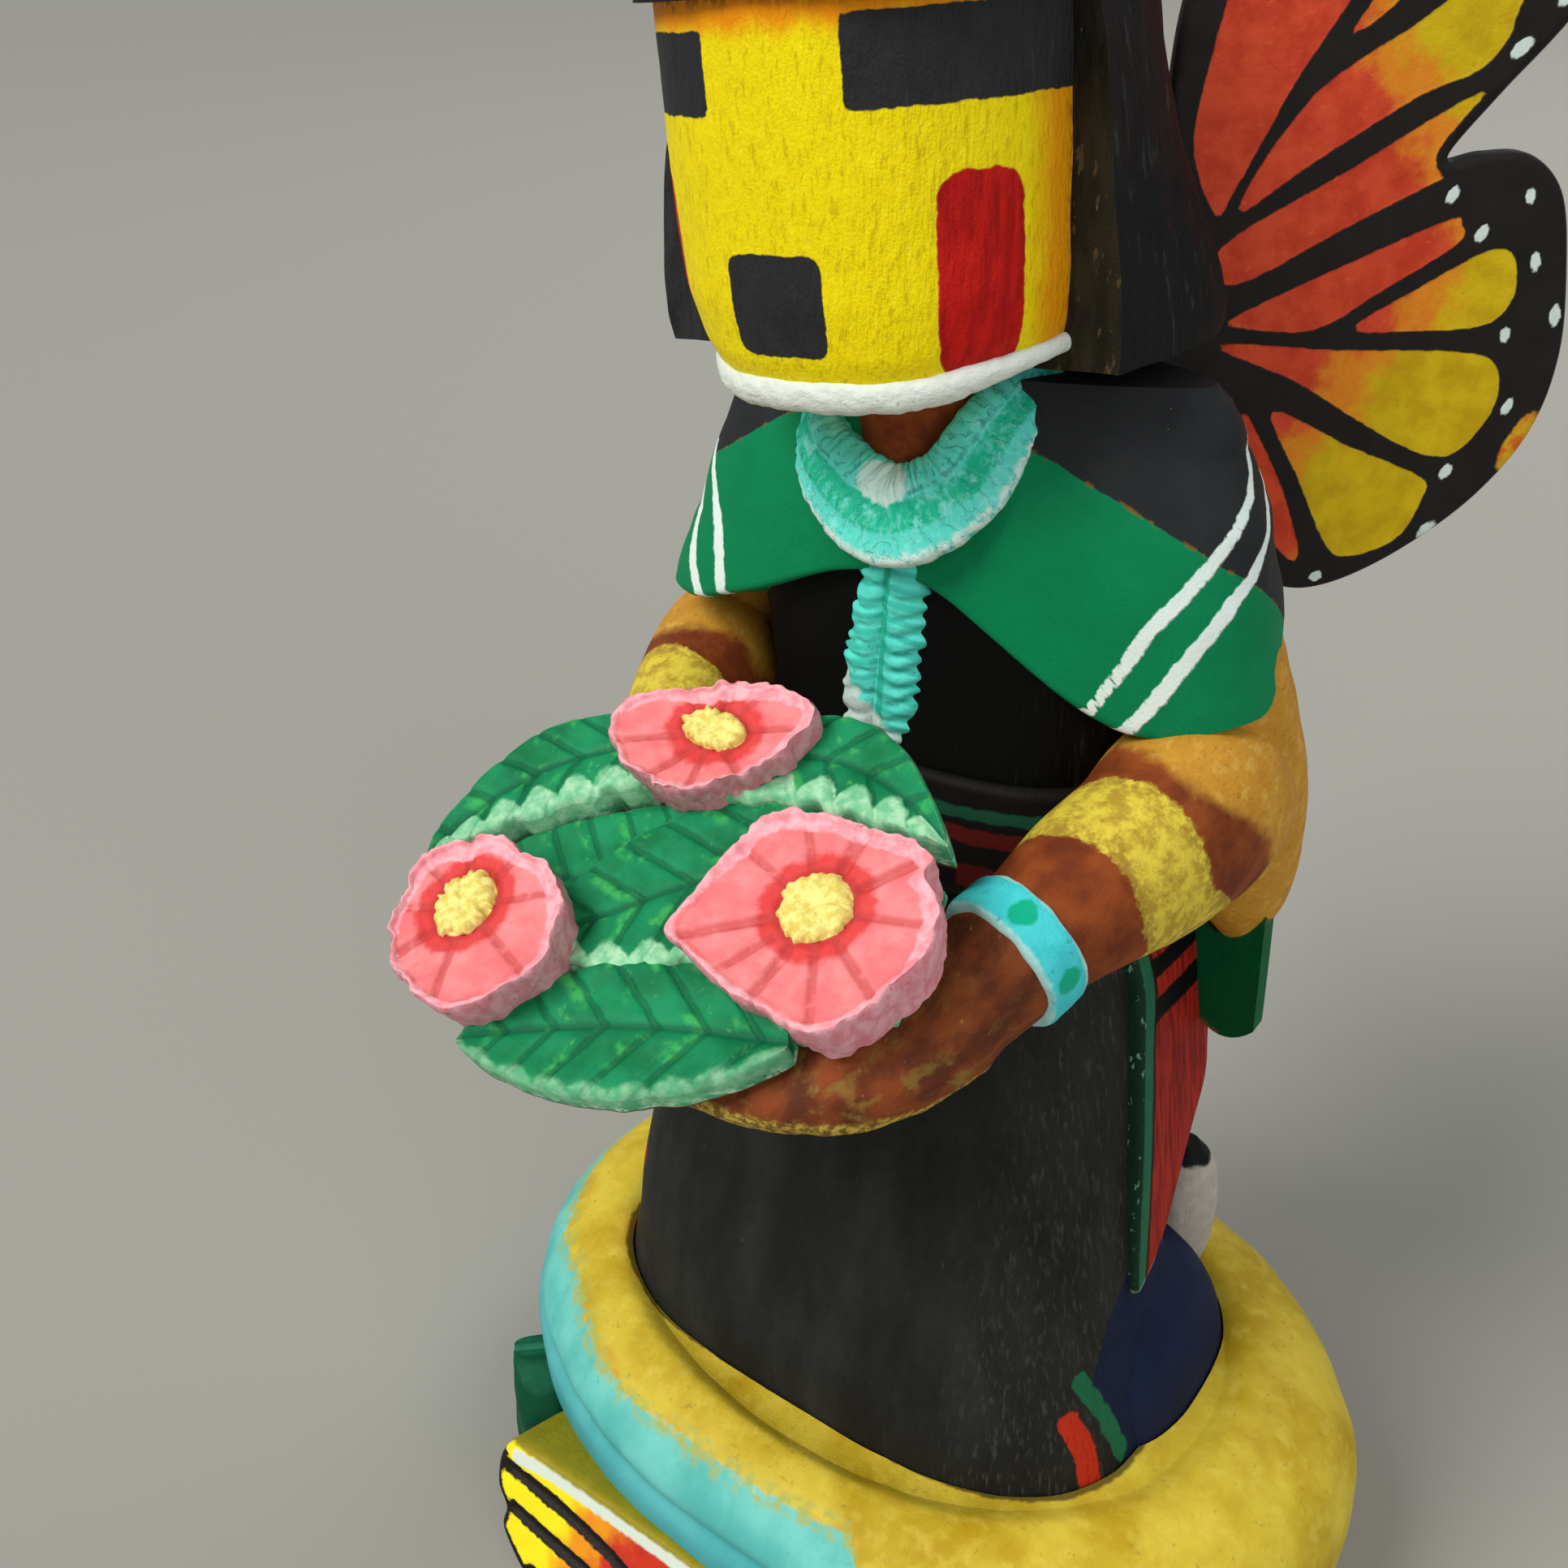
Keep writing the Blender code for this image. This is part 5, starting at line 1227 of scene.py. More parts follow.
def sash_points(side, m=120):
    z = np.linspace(SASH[0][0], 132.0, m)
    rows = np.array(SASH)
    y0, y1, x = (soft_interp(z, rows[:, (0, i)], 2.5) for i in (1, 2, 3))
    corners = ((-5.0, 0), (1.4, 0), (0.2, 1), (-6.0, 1))
    loop = []
    for a, b in zip(corners, corners[1:] + corners[:1]):
        steps = 26 if a[1] != b[1] else 8
        for k in np.linspace(0, 1, steps, endpoint=False):
            loop.append((a[0] + (b[0] - a[0]) * k, a[1] + (b[1] - a[1]) * k))
    L = np.array(loop)
    for _ in range(2):
        L = (np.roll(L, 1, 0) + 2 * L + np.roll(L, -1, 0)) / 4
    X = x[:, None] + L[None, :, 0]
    Y = y0[:, None] + (y1 - y0)[:, None] * L[None, :, 1]
    P = stack(X, Y, z[:, None])
    P[..., 0] += 0.2 * noise(P, (6, 6, 14), 81, 2) * (L[None, :, 0] > 0)
    P[..., 1] += 0.2 * noise(P, (6, 6, 9), 82, 2)
    return P if side > 0 else mirrored(P)


def sash_guides(V):
    rows = np.array(SASH)
    y0 = soft_interp(V[:, 2], rows[:, (0, 1)], 2.5)
    y1 = soft_interp(V[:, 2], rows[:, (0, 2)], 2.5)
    low = np.maximum(V[:, 2] - SASH[0][0], 0)
    return stack(V[:, 1] - y0, y1 - V[:, 1], low), None


def knob_points(grow=0.0, z0=None):
    r = np.array(KNOB)
    z = np.linspace(z0 if z0 is not None else r[0, 0], r[-1, 0], 30)
    rad = soft_interp(z, r, 1.5) + grow
    a = np.arange(48) * 2 * np.pi / 48
    return stack(KNOB_AT[0] + rad[:, None] * np.cos(a), KNOB_AT[1] + rad[:, None] * np.sin(a), z[:, None])


def neck_points():
    z = np.linspace(180.0, 206.0, 30)
    a = np.arange(72) * 2 * np.pi / 72
    P = stack(2.5 + NECK_R * np.cos(a)[None] + 0 * z[:, None], 7.0 + NECK_R * np.sin(a)[None] + 0 * z[:, None], z[:, None])
    return P + outward(P) * (0.3 * noise(P, 4.0, 91, 2))[..., None]


def jaw(c, z):
    """How far the right half of the mask moves in, most at the chin."""
    return (0.7 + 2.6 * smooth(214.0, 197.0, z)) * np.maximum(-c, 0.0) ** 2


def mask_points(m=84, n=176):
    rows = ((MASK_Z0, 0.80, 1.0), (MASK_Z0 + 1.5, 0.88, 1.0), (MASK_Z0 + 5.0, 0.945, 0.8), (MASK_Z0 + 11.0, 0.985, 0.5),
            (MASK_Z0 + 24.0, 1.0, 0.0), (MASK_Z1, 1.0, 0.0))
    r = np.array(rows)
    z = np.concatenate([np.linspace(MASK_Z0, MASK_Z0 + 6, 18)[:-1], np.linspace(MASK_Z0 + 6, MASK_Z1, m - 17)])
    k, fade = soft_interp(z, r[:, (0, 1)], 0.8), soft_interp(z, r[:, (0, 2)], 1.5)
    t = around(n, MASK_P)
    e = 2.0 / MASK_P
    c, s = spow(np.cos(t), e)[None], spow(np.sin(t), e)[None]
    kk = k[:, None]
    X = MASK_C[0] + MASK_A * kk * c + (1.0 - kk) * 0.6 * c ** 6 * MASK_A * c + jaw(c, z[:, None])
    Y = MASK_C[1] + MASK_B * kk * s
    Z = z[:, None] + MASK_RISE * np.abs(c) ** 4 * fade[:, None]
    P = stack(X, Y, Z)
    N = outward(P)
    lumps = 0.16 * noise(P, 7.0, 101, 2) + 0.075 * noise(P, (1.5, 1.5, 7.0), 102, 2) + 0.03 * noise(P, 1.0, 103) - 0.08
    return lean(P + N * lumps[..., None])


def mask_guides(V):
    q = lean(V, back=True)
    th = np.arctan2(q[:, 0] - MASK_C[0], -(q[:, 1] - MASK_C[1]))
    u, z = np.abs(th) * 25.0, q[:, 2]
    wave = 0.4 * np.sin(th * 21.0) + 0.25 * np.sin(z * 0.9)
    inner = np.where(th > 0, 10.3, 8.4)
    eye = box_dist(u, z, (inner + 41.0) / 2, np.where(th > 0, 233.5, 232.9), (41.0 - inner) / 2, np.where(th > 0, 4.4, 4.1), 0.7) + 0.15 * wave
    mouth = box_dist(th * 25.0, z, -0.7, 209.6, 6.9, 5.5, 1.7) + 0.15 * wave
    cheek = box_dist(u, z, 24.2, 212.0, 4.8, 10.8, 3.6) + 0.3 * wave
    return stack(eye, mouth, cheek), stack(u - 1.496 * 25.0, z, u)


def chin_points(m=170, n=26):
    t = np.pi * (1.0 + np.linspace(0, 1, m))
    e = 2.0 / MASK_P
    c, s = spow(np.cos(t), e), spow(np.sin(t), e)
    d = stack(c * MASK_A, s * MASK_B, 0 * c)
    out = d / np.linalg.norm(d, axis=1, keepdims=True)
    mid = stack(MASK_C[0] + 0 * c, MASK_C[1] + 0 * c, MASK_Z0 + 1.2 + MASK_RISE * np.abs(c) ** 4) + d * (0.86 + 0.10 * c ** 6)[:, None]
    mid[:, 0] += jaw(c, MASK_Z0)
    a = np.arange(n) * 2 * np.pi / n
    r = out[:, None] * np.cos(a)[None, :, None] + np.array([0, 0, 1.15]) * np.sin(a)[None, :, None]
    r = r * (0.90 - 0.45 * smooth(-0.5, -0.98, c) - 0.40 * smooth(0.7, 0.99, c))[:, None, None]
    P = mid[:, None] + r * CHIN_ROLL_R
    slant = P @ np.array([0.8, 0.8, 1.0])
    lump = 0.22 * noise(P, 2.6, 111, 2) + 0.12 * noise(stack(slant, P[..., 0] * 0.4, P[..., 1] * 0.4), 1.1, 112)
    return lean(P + r * lump[..., None])


def hair_points(grow=0.0, m=88, n=176):
    z = np.concatenate([np.linspace(HAIR_Z0, 244.0, m - 26), np.linspace(244.0, HEAD_TOP, 27)[1:]])
    v = rows_at(HAIR, z, 1.6)[:, None, :] + [grow, grow, grow, grow, 0.0]
    t = around(n, HAIR_P)
    e = 2.0 / HAIR_P
    c, s = spow(np.cos(t), e)[None], spow(np.sin(t), e)[None]
    Y = HAIR_C[1] + np.where(s > 0, v[..., 3], v[..., 2]) * s
    X = HAIR_C[0] + np.where(c > 0, v[..., 0], v[..., 1]) * c
    X = X + np.tanh(c * 3.0) * v[..., 4] * np.clip((Y - HAIR_FRONT) / 20.5, 0.0, 1.25)
    P = stack(X, Y, z[:, None])
    N = outward(P)
    comb = noise(P, (1.9, 1.9, 30.0), 121, 2)
    deep = 0.35 + 0.65 * smooth(228.0, 208.0, P[..., 2])
    lumps = (0.3 * noise(P, (9, 9, 18), 122, 2) - 1.15 * deep * np.maximum(comb, 0) ** 1.3
             + 0.12 * noise(P, (1.1, 1.1, 8.0), 123) - 0.15)
    if grow:
        lumps = 0.0 * lumps
    return lean(P + N * lumps[..., None])


def hair_cutter():
    """Everything in front of the flat where the mask shows between the two sides of the hair."""
    z0, z1 = HAIR_Z0 - 6.0, MASK_Z1 - 6.0
    front, back = -40.0, HAIR_FRONT
    zs = np.linspace(z0, z1, 60)
    corners = [(-60.0, front), (60.0, front), (60.0, back), (-60.0, back)]
    loop = []
    for (xa, ya), (xb, yb) in zip(corners, corners[1:] + corners[:1]):
        for k in np.linspace(0, 1, 110 if ya == yb == back else 12, endpoint=False):
            loop.append((xa + (xb - xa) * k, ya + (yb - ya) * k))
    L = np.array(loop)
    P = stack(L[None, :, 0], L[None, :, 1], zs[:, None])
    near = np.abs(P[..., 1] - back) < 0.01
    P[..., 1] += near * (0.35 * noise(P, (2.6, 3.0, 9.0), 131, 2) + 0.12 * noise(P, (0.9, 1.0, 4.0), 132))
    return lean(P)


def build_figure():
    dress, navy, arm = dress_paint(), navy_paint(), arm_paint()
    brace, sashes = bracelet_paint(), sash_paint()
    body = tube("skirt", skirt_points(), dress, stripe_guides)
    parts = [tube("belt", belt_points(), belt_paint()),
             tube("cape", cape_points(), cape_paint(), cape_guides),
             slab("tail", *tail_points(), tail_paint(), tail_guides),
             tube("neck", neck_points(), neck_paint()),
             tube("necklace", necklace_points(), necklace_paint(), necklace_guides),
             tube("pendant", pendant_points(), pendant_paint(), pendant_guides),
             tube("sash", sash_points(1), sashes, sash_guides),
             tube("knob", knob_points(), knob_paint())]
    for side in (1, -1):
        parts += [tube("lobe", lobe_points(side), navy, stripe_guides),
                  tube("upper_arm", upper_arm_points(side), arm, arm_guides),
                  tube("forearm", forearm_points(side), arm, arm_guides),
                  tube("bracelet", bracelet_points(side), brace, bracelet_guides)]
    hair = tube("hair", hair_points(), hair_paint())
    merge(hair, [tube("hair_cutter", hair_cutter(), strip_paint())], "DIFFERENCE")
    parts += [hair, tube("mask", mask_points(), mask_paint(), mask_guides), tube("chin", chin_points(), chin_paint())]
    return merge(body, parts, name="figure_detail")


# ------------------------------------------------------------------ the base
def base_paint():
    m = painted("base", 0.5, 0.4, brush=0.04, stretch=(1, 1, 1), size=1.3, grain=0.03)
    edge, groove, well = m.guide("pa")
    kind, z, c = m.guide("pb")
    yel = m.mix(m.ramp(m.noise(12.0, 4.0), 0.3, 0.7), lin("b8981a"), lin("d6bf3c"))
    yel = m.mix(m.ramp(m.noise(3.0, 5.0, shift=3.0), 0.45, 0.75) * 0.45, yel, lin("e4cf55"))
    yel = m.mix(m.ramp(m.noise(1.4, 5.0, shift=6.0), 0.62, 0.72) * 0.5, yel, lin("8f8430"))
    yel = m.mix(m.ramp(m.noise(0.7, 3.0, shift=8.0), 0.70, 0.76) * 0.35, yel, lin("5f7a58"))
    orange = m.ramp(m.noise(6.0, 4.0, (0.5, 1, 1), 9.0), 0.5, 0.7)
    wob = (m.noise(7.0, 4.0, shift=2.0) - 0.5) * 5.0
    near = 1.0 - m.ramp(abs(edge + wob), 0.8, 5.0)
    yel = m.mix(near * orange * 0.55, yel, lin("c98418"))
    tur = m.mix(m.ramp(m.noise(9.0, 4.0, (1, 1, 0.7), 4.0), 0.3, 0.7), lin("58b6ad"), lin("76cec3"))
    # painted shade: the turquoise darkens towards the bottom of the ring
    tur = m.mix(m.ramp(m.z, 37.0, 24.0) * 0.75, tur, lin("3d97a3"))
    tur = m.mix(m.ramp(m.noise(1.3, 5.0, shift=5.0), 0.6, 0.75) * 0.4, tur, lin("3f9d86"))
    rag = (m.noise(1.8, 5.0, shift=15.0, rough=0.7) - 0.5) * 4.0
    part = 1.0 - m.ramp(edge + wob * 0.8 + rag, -0.6, 0.6)
    col = m.mix(part, yel, tur)
    mid = (1.0 - m.ramp(abs(edge + wob * 0.8 + rag * 0.5), 0.3, 3.4)) * m.ramp(m.noise(2.0, 5.0, shift=7.0), 0.42, 0.6)
    col = m.mix(mid * 0.9, col, lin("a8b25a"))
    # painted shadow: dark teal along the carved groove on the front-left flank
    col = m.mix(m.inside(groove, 0.8, 0.8) * 0.2, col, lin("2a8a8c"))
    # painted shadow: dark brown in the well and in a thin ring round the foot of the skirt
    col = m.mix(m.inside(well, 0.25, 0.5, 2.5) * 0.8, col, lin("2c2712"))
    return m.done(col, 0.46 + m.noise(6.0, 3.0) * 0.16)


def relief_paint():
    m = painted("relief_wing", 0.5, 0.4, brush=0.06)
    u, v, r = m.guide("pa")
    vein, white, top = m.guide("pb")
    wob = (m.noise(4.0, 4.0, shift=2.0) - 0.5) * 9.0
    red = m.mix(m.noise(3.0, 4.0), lin("b5281a"), lin("e0442a"))
    ora = m.mix(m.noise(3.0, 4.0, shift=1.0), lin("e8821a"), lin("f6a81c"))
    yel = m.mix(m.noise(3.0, 4.0, shift=2.0), lin("f2dc08"), lin("fff02a"))
    col = m.mix(m.ramp(r + wob, 22.0, 27.0), red, ora)
    col = m.mix(m.ramp(r + wob, 29.0, 34.0), col, yel)
    black = m.mix(m.noise(3.0, 4.0), lin("14110f"), lin("241f1a"))
    col = m.mix(m.inside(vein - 0.5, 0.2, 0.6), col, black)
    col = m.mix(m.inside(white - 0.7, 0.3, 0.6), col, lin("d9e4d4"))
    rim = m.mix(m.noise(3.0, 4.0, shift=3.0), lin("857a16"), lin("a99a20"))
    col = m.mix(m.ramp(top + (m.noise(2.0, 3.0) - 0.5) * 1.0, -0.3, 0.5), col, rim)
    return m.done(col)


def base_leaf_paint():
    m = painted("base_leaf", 0.55, 0.35, brush=0.06)
    s, t, c = m.guide("pa")
    col = m.mix(m.noise(4.0, 4.0), lin("033a26"), lin("0a5236"))
    ph = m.math("FRACT", (s + abs(t) * 0.8) / 6.0 + 10.0)
    vein = 1.0 - m.ramp(abs(ph - 0.5) * 6.0, 0.3, 0.9)
    col = m.mix(vein * m.noise(2.0, 3.0) * 0.35, col, lin("2f8a66"))
    col = m.mix((1.0 - m.ramp(abs(t), 0.4, 0.9)) * 0.3, col, lin("4fa888"))
    m.bump(vein * -0.15)
    return m.done(col)


def base_wave(ang, k):
    """The low swell of the base's top: a shallow second valley at the front left."""
    w = smooth(196.0, 215.0, ang) * smooth(292.0, 276.0, ang)
    return -0.3 * w * np.exp(-((k - 0.80) / 0.04) ** 2) + 0.1 * w * np.exp(-((k - 0.74) / 0.04) ** 2)


def base_points(n=360):
    prof = bspline(BASE_PROFILE, 9)
    t = np.arange(n) * 2 * np.pi / n
    e = 2.0 / BASE_P
    c, s = spow(np.cos(t), e), spow(np.sin(t), e)
    k = prof[:, 0][:, None]
    P = stack(BASE_C[0] + BASE_A * k * c, BASE_C[1] + BASE_B * k * s, prof[:, 1][:, None])
    ang = np.degrees(np.arctan2(P[..., 1] - BASE_C[1], P[..., 0] - BASE_C[0])) % 360.0
    P[..., 2] += base_wave(ang, k)
    N = outward(P)
    w = smooth(192.0, 210.0, ang) * smooth(296.0, 284.0, ang)
    fade = smooth(0.0, 4.0, P[..., 2])
    lumps = 0.55 * noise(P, 17.0, 201, 2) - 0.45 + 0.12 * noise(P, 4.0, 202)
    groove = -1.1 * w * np.exp(-((P[..., 2] - 29.5) / 1.6) ** 2)
    P = P + N * ((lumps + groove) * fade)[..., None]
    P[..., 2] = np.maximum(P[..., 2], 0.0)
    return P


BASE_EDGE = (             # angle, how far down the ring's outer side the turquoise begins
    (0.0, 70.0), (80.0, 62.0), (100.0, 40.0), (120.0, 24.0), (150.0, 20.0), (180.0, 17.0), (196.0, 15.0),
    (205.0, 15.4), (212.0, 12.4), (224.0, 13.6), (231.0, 14.7), (241.0, 14.9), (248.0, 13.0), (262.0, 13.1),
    (275.0, 12.6), (286.0, 11.8), (291.0, 12.4), (295.0, 25.0), (299.0, 45.0), (303.0, 62.0), (360.0, 70.0),
)


def base_guides(V):
    ang = np.degrees(np.arctan2(V[:, 1] - BASE_C[1], V[:, 0] - BASE_C[0])) % 360.0
    k = ((np.abs(V[:, 0] - BASE_C[0]) / BASE_A) ** BASE_P + (np.abs(V[:, 1] - BASE_C[1]) / BASE_B) ** BASE_P) ** (1 / BASE_P)
    prof = bspline(BASE_PROFILE, 6)[::-1] * [62.0, 1.0]
    run = np.concatenate([[0], np.cumsum(np.linalg.norm(np.diff(prof, axis=0), axis=1))])
    q = np.c_[k * 62.0, V[:, 2]]
    near = np.array([run[((prof - c) ** 2).sum(1).argmin()] for c in q])
    near = near + np.where(near <= 0, (k - 0.69) * 62.0, 0)
    edge = soft_interp(ang, BASE_EDGE, 1.2) - near
    w = smooth(192.0, 210.0, ang) * smooth(296.0, 284.0, ang)
    groove = np.abs(V[:, 2] - 29.8) - 0.6 + (1 - w) * 20.0
    p = 3.0
    q = rows_at(SKIRT, np.clip(V[:, 2], 15, 60), 3.0)
    side = np.where(V[:, 1] > q[:, 1], q[:, 4], q[:, 3])
    g = (np.abs((V[:, 0] - q[:, 0]) / q[:, 2]) ** p + np.abs((V[:, 1] - q[:, 1]) / side) ** p) ** (1 / p)
    well = (g - 1.0) * 38.0 - 0.9
    return stack(edge, groove, well), stack(0 * ang, V[:, 2], 0 * ang)


def relief_place(L):
    c, s = math.cos(RELIEF_TILT), math.sin(RELIEF_TILT)
    u, v, w = L[..., 0], L[..., 1], L[..., 2]
    return stack(RELIEF_AT[0] + u, RELIEF_AT[1] + v * c - w * s, RELIEF_AT[2] + v * s + w * c)


RELIEF_VEINS = (((2.0, 9.0), (-14.0, 13.0), (-30.0, 17.0), (-46.0, 18.5)),
                ((2.0, 8.0), (-16.0, 9.0), (-32.0, 10.5), (-44.0, 12.0)),
                ((1.0, 6.0), (-12.0, 4.0), (-26.0, 2.5), (-38.0, 3.0)))


def relief_board(name, side, mat):
    """Half of the carved butterfly: a fat board with a soft edge."""
    outline = bspline(RELIEF, 16, closed=True)
    mid = np.array([-22.0, 11.0])
    rings = []
    for f, w in ((1.0, -14.0), (1.0, -8.0), (1.0, 0.0), (1.0, 1.6), (0.992, 2.8), (0.975, 3.6), (0.945, 4.0),
                 *((f, 4.0) for f in np.linspace(0.9, 0.03, 26))):
        q = mid + (outline - mid) * f
        rings.append(stack(q[:, 0], q[:, 1], np.full(len(q), w)))
    P = np.array(rings)
    flat = P.reshape(-1, 3)
    vein = np.minimum.reduce([line_dist(flat[:, :2], bspline(r, 5)) for r in RELIEF_VEINS]).reshape(P.shape[:2])
    front = smooth(2.0, 4.0, P[..., 2])
    P[..., 2] += front * (-0.8 * np.exp(-(vein / 1.0) ** 2) + 0.3 * noise(P * [1, 1, 0], 6.0, 211, 2) - 0.3)
    L = P.reshape(-1, 3)
    L = np.concatenate([L, P[0].mean(0)[None], P[-1].mean(0)[None]])
    u, v = L[:, 0], L[:, 1]
    vd = np.minimum.reduce([line_dist(L[:, :2], bspline(r, 5)) for r in RELIEF_VEINS]) - 0.9
    patch = np.hypot((u + 17.0) / 4.0, (v - 6.2) / 2.0) * 2.0 - 2.0
    vd = np.minimum(vd, patch)
    rim = -shape_dist(L[:, :2], outline[::4])
    vd = np.minimum(vd, np.where(v < 21.0, rim - 1.2, 9.0))
    white = line_dist(L[:, :2], ((-45.0, 21.3), (-37.0, 22.2), (-8.0, 22.0), (2.0, 21.0))) - 0.55
    top = np.maximum(v - 22.9, (3.3 - L[:, 2]) * 1.5 - 1.0)
    guides = (stack(u, v, np.hypot(u + 2.0, (v - 8.0) * 1.2)), stack(vd, white, top))
    W = relief_place(P * [side, 1.0, 1.0])
    return tube(name, W, mat, lambda _: guides)


def base_leaf_points(m=60, n=56):
    rows = np.array(((0.0, 9.5), (0.35, 11.0), (0.65, 9.5), (0.88, 5.5), (1.0, 2.0)))
    along, out = np.array([0.66, -0.75, 0.0]), np.array([-0.75, -0.66, 0.0])
    k = np.linspace(0, 1, m)
    half = soft_interp(k, rows, 0.05)
    a = np.arange(n) * 2 * np.pi / n
    c, s = spow(np.cos(a), 0.8), spow(np.sin(a), 0.7)
    mid = stack(LEAF_AT[0] + 0 * k, LEAF_AT[1] + 0 * k, 27.0 * k - 1.0) - out * k[:, None]
    P = mid[:, None] + along * (half[:, None] * c[None])[..., None] + out * (s * 5.3)[None, :, None]
    t = (P - mid[:, None]) @ along
    P = P - out * (0.6 * np.exp(-(t / 1.2) ** 2) * (s > 0))[..., None]
    return P + out * (0.25 * noise(P, 4.0, 221, 2) * (s > 0))[..., None]


def base_leaf_guides(V):
    along = np.array([0.66, -0.75, 0.0])
    t = (V - [*LEAF_AT, 0.0]) @ along
    return stack(V[:, 2], t, 0 * t), None


def cutter_box(mat):
    z = np.array([-60.0, 0.0])
    loop = np.array([(-120, -120), (120, -120), (120, 120), (-120, 120)], float)
    return tube("floor_cut", stack(loop[None, :, 0], loop[None, :, 1], z[:, None]), mat, lambda V: (V * 0 + 9.0, V * 0))


def build_base():
    paint = base_paint()
    base = tube("ring", base_points(), paint, base_guides)
    relief = relief_paint()
    merge(base, [relief_board("relief_a", 1.0, relief), relief_board("relief_b", -1.0, relief),
                 tube("base_leaf", base_leaf_points(), base_leaf_paint(), base_leaf_guides)])
    z0 = SKIRT_FOOT - GAP
    cuts = [cutter_box(paint),
            tube("well", skirt_points(GAP + 0.05, SKIRT_FOOT, 78.0, 60), paint, base_guides)]
    for side in (1, -1):
        cuts.append(tube("lobe_cut", lobe_points(side, GAP + 0.05), paint, base_guides))
    cuts.append(tube("knob_cut", stack(KNOB_AT[0] + 6.2 * np.cos(np.arange(64) * np.pi / 32)[None] + np.zeros((4, 1)),
                                       KNOB_AT[1] + 6.2 * np.sin(np.arange(64) * np.pi / 32)[None] + np.zeros((4, 1)),
                                       np.array([42.0, 50.0, 65.0, 80.0])[:, None]), paint, base_guides))
    for c in cuts[1:]:
        for v in c.data.vertices:
            if v.co.z < (SKIRT_FOOT + 1.2) * MM:
                v.co.z -= GAP * MM
    return merge(base, cuts, "DIFFERENCE", "base_detail")


# ------------------------------------------------------------------ the spray of leaves and blossoms
VEIN = 6.4                # spacing of the leaves' side veins


def tray(L):
    c, s = math.cos(TRAY_TILT), math.sin(TRAY_TILT)
    u, v, w = L[..., 0], L[..., 1], L[..., 2]
    return stack(TRAY_P[0] + u, TRAY_P[1] + v * c - w * s, TRAY_P[2] + v * s + w * c)


def leaf_paint():
    m = painted("leaves", 0.5, 0.4, brush=0.05, stretch=(1, 1, 1), size=1.2, grain=0.02)
    along, across, edge = m.guide("pa")
    pale, top, back = m.guide("pb")
    wob = (m.noise(3.0, 3.0, shift=2.0) - 0.5) * 2.0
    col = m.mix(m.ramp(m.noise(6.0, 4.0), 0.3, 0.7), lin("0a7444"), lin("16915c"))
    ph = m.math("FRACT", (along - abs(across) * 0.85 + wob * 0.6) / VEIN + 20.0)
    vein = 1.0 - m.ramp(abs(ph - 0.5) * VEIN, 0.2, 0.8)
    light = m.ramp(m.noise(4.5, 3.0, shift=6.0), 0.48, 0.62)
    stroke = m.ramp(m.noise(1.6, 3.0, shift=8.0), 0.3, 0.55)
    col = m.mix((1.0 - m.ramp(abs(ph - 0.70) * VEIN, 0.3, 1.6)) * light * stroke * 0.85, col, lin("3fb45c"))
    col = m.mix(m.ramp(m.noise(2.2, 4.0, shift=14.0), 0.62, 0.72) * 0.45, col, lin("5cc06c"))
    # painted shade: dark green in the carved side-vein grooves
    col = m.mix(vein * 0.5, col, lin("064a30"))
    # painted shade: dark green along the sunken midrib
    rib = 1.0 - m.ramp(abs(across + wob * 0.25), 0.2, 0.7)
    col = m.mix(rib * 0.6, col, lin("075038"))
    rag = (m.noise(1.8, 5.0, shift=4.0, rough=0.7) - 0.5) * 2.4
    scallop = abs(m.math("SINE", along * (math.pi / 5.0) + wob * 0.4))
    rim = 1.0 - m.ramp(edge + rag * 0.8 - pale * (1.5 + scallop * 2.6), -0.5, 0.5)
    white = m.mix(m.ramp(m.noise(1.6, 4.0, shift=9.0), 0.35, 0.7), lin("76c795"), lin("b4e8bc"))
    col = m.mix(rim * (pale * 0.74 + 0.22), col, white)
    wall = 1.0 - m.ramp(top + rag * 0.2, -1.9, -1.3)
    wcol = m.mix(m.ramp(m.noise(1.6, 5.0, (1, 1, 1.6), 7.0), 0.44, 0.66), lin("4aa878"), lin("bfe8c6"))
    wcol = m.mix(m.ramp(m.noise(1.2, 4.0, shift=3.3), 0.60, 0.68) * 0.8, wcol, lin("0a4a2c"))
    col = m.mix(wall, col, wcol)
    low = 1.0 - m.ramp(back + rag * 0.4, 0.5, 1.2)
    col = m.mix(low, col, m.mix(m.noise(4.0, 4.0), lin("5a3420"), lin("7d4a2a")))
    m.bump(vein * -0.10)
    return m.done(col, 0.46 + m.noise(3.0, 3.0) * 0.2)


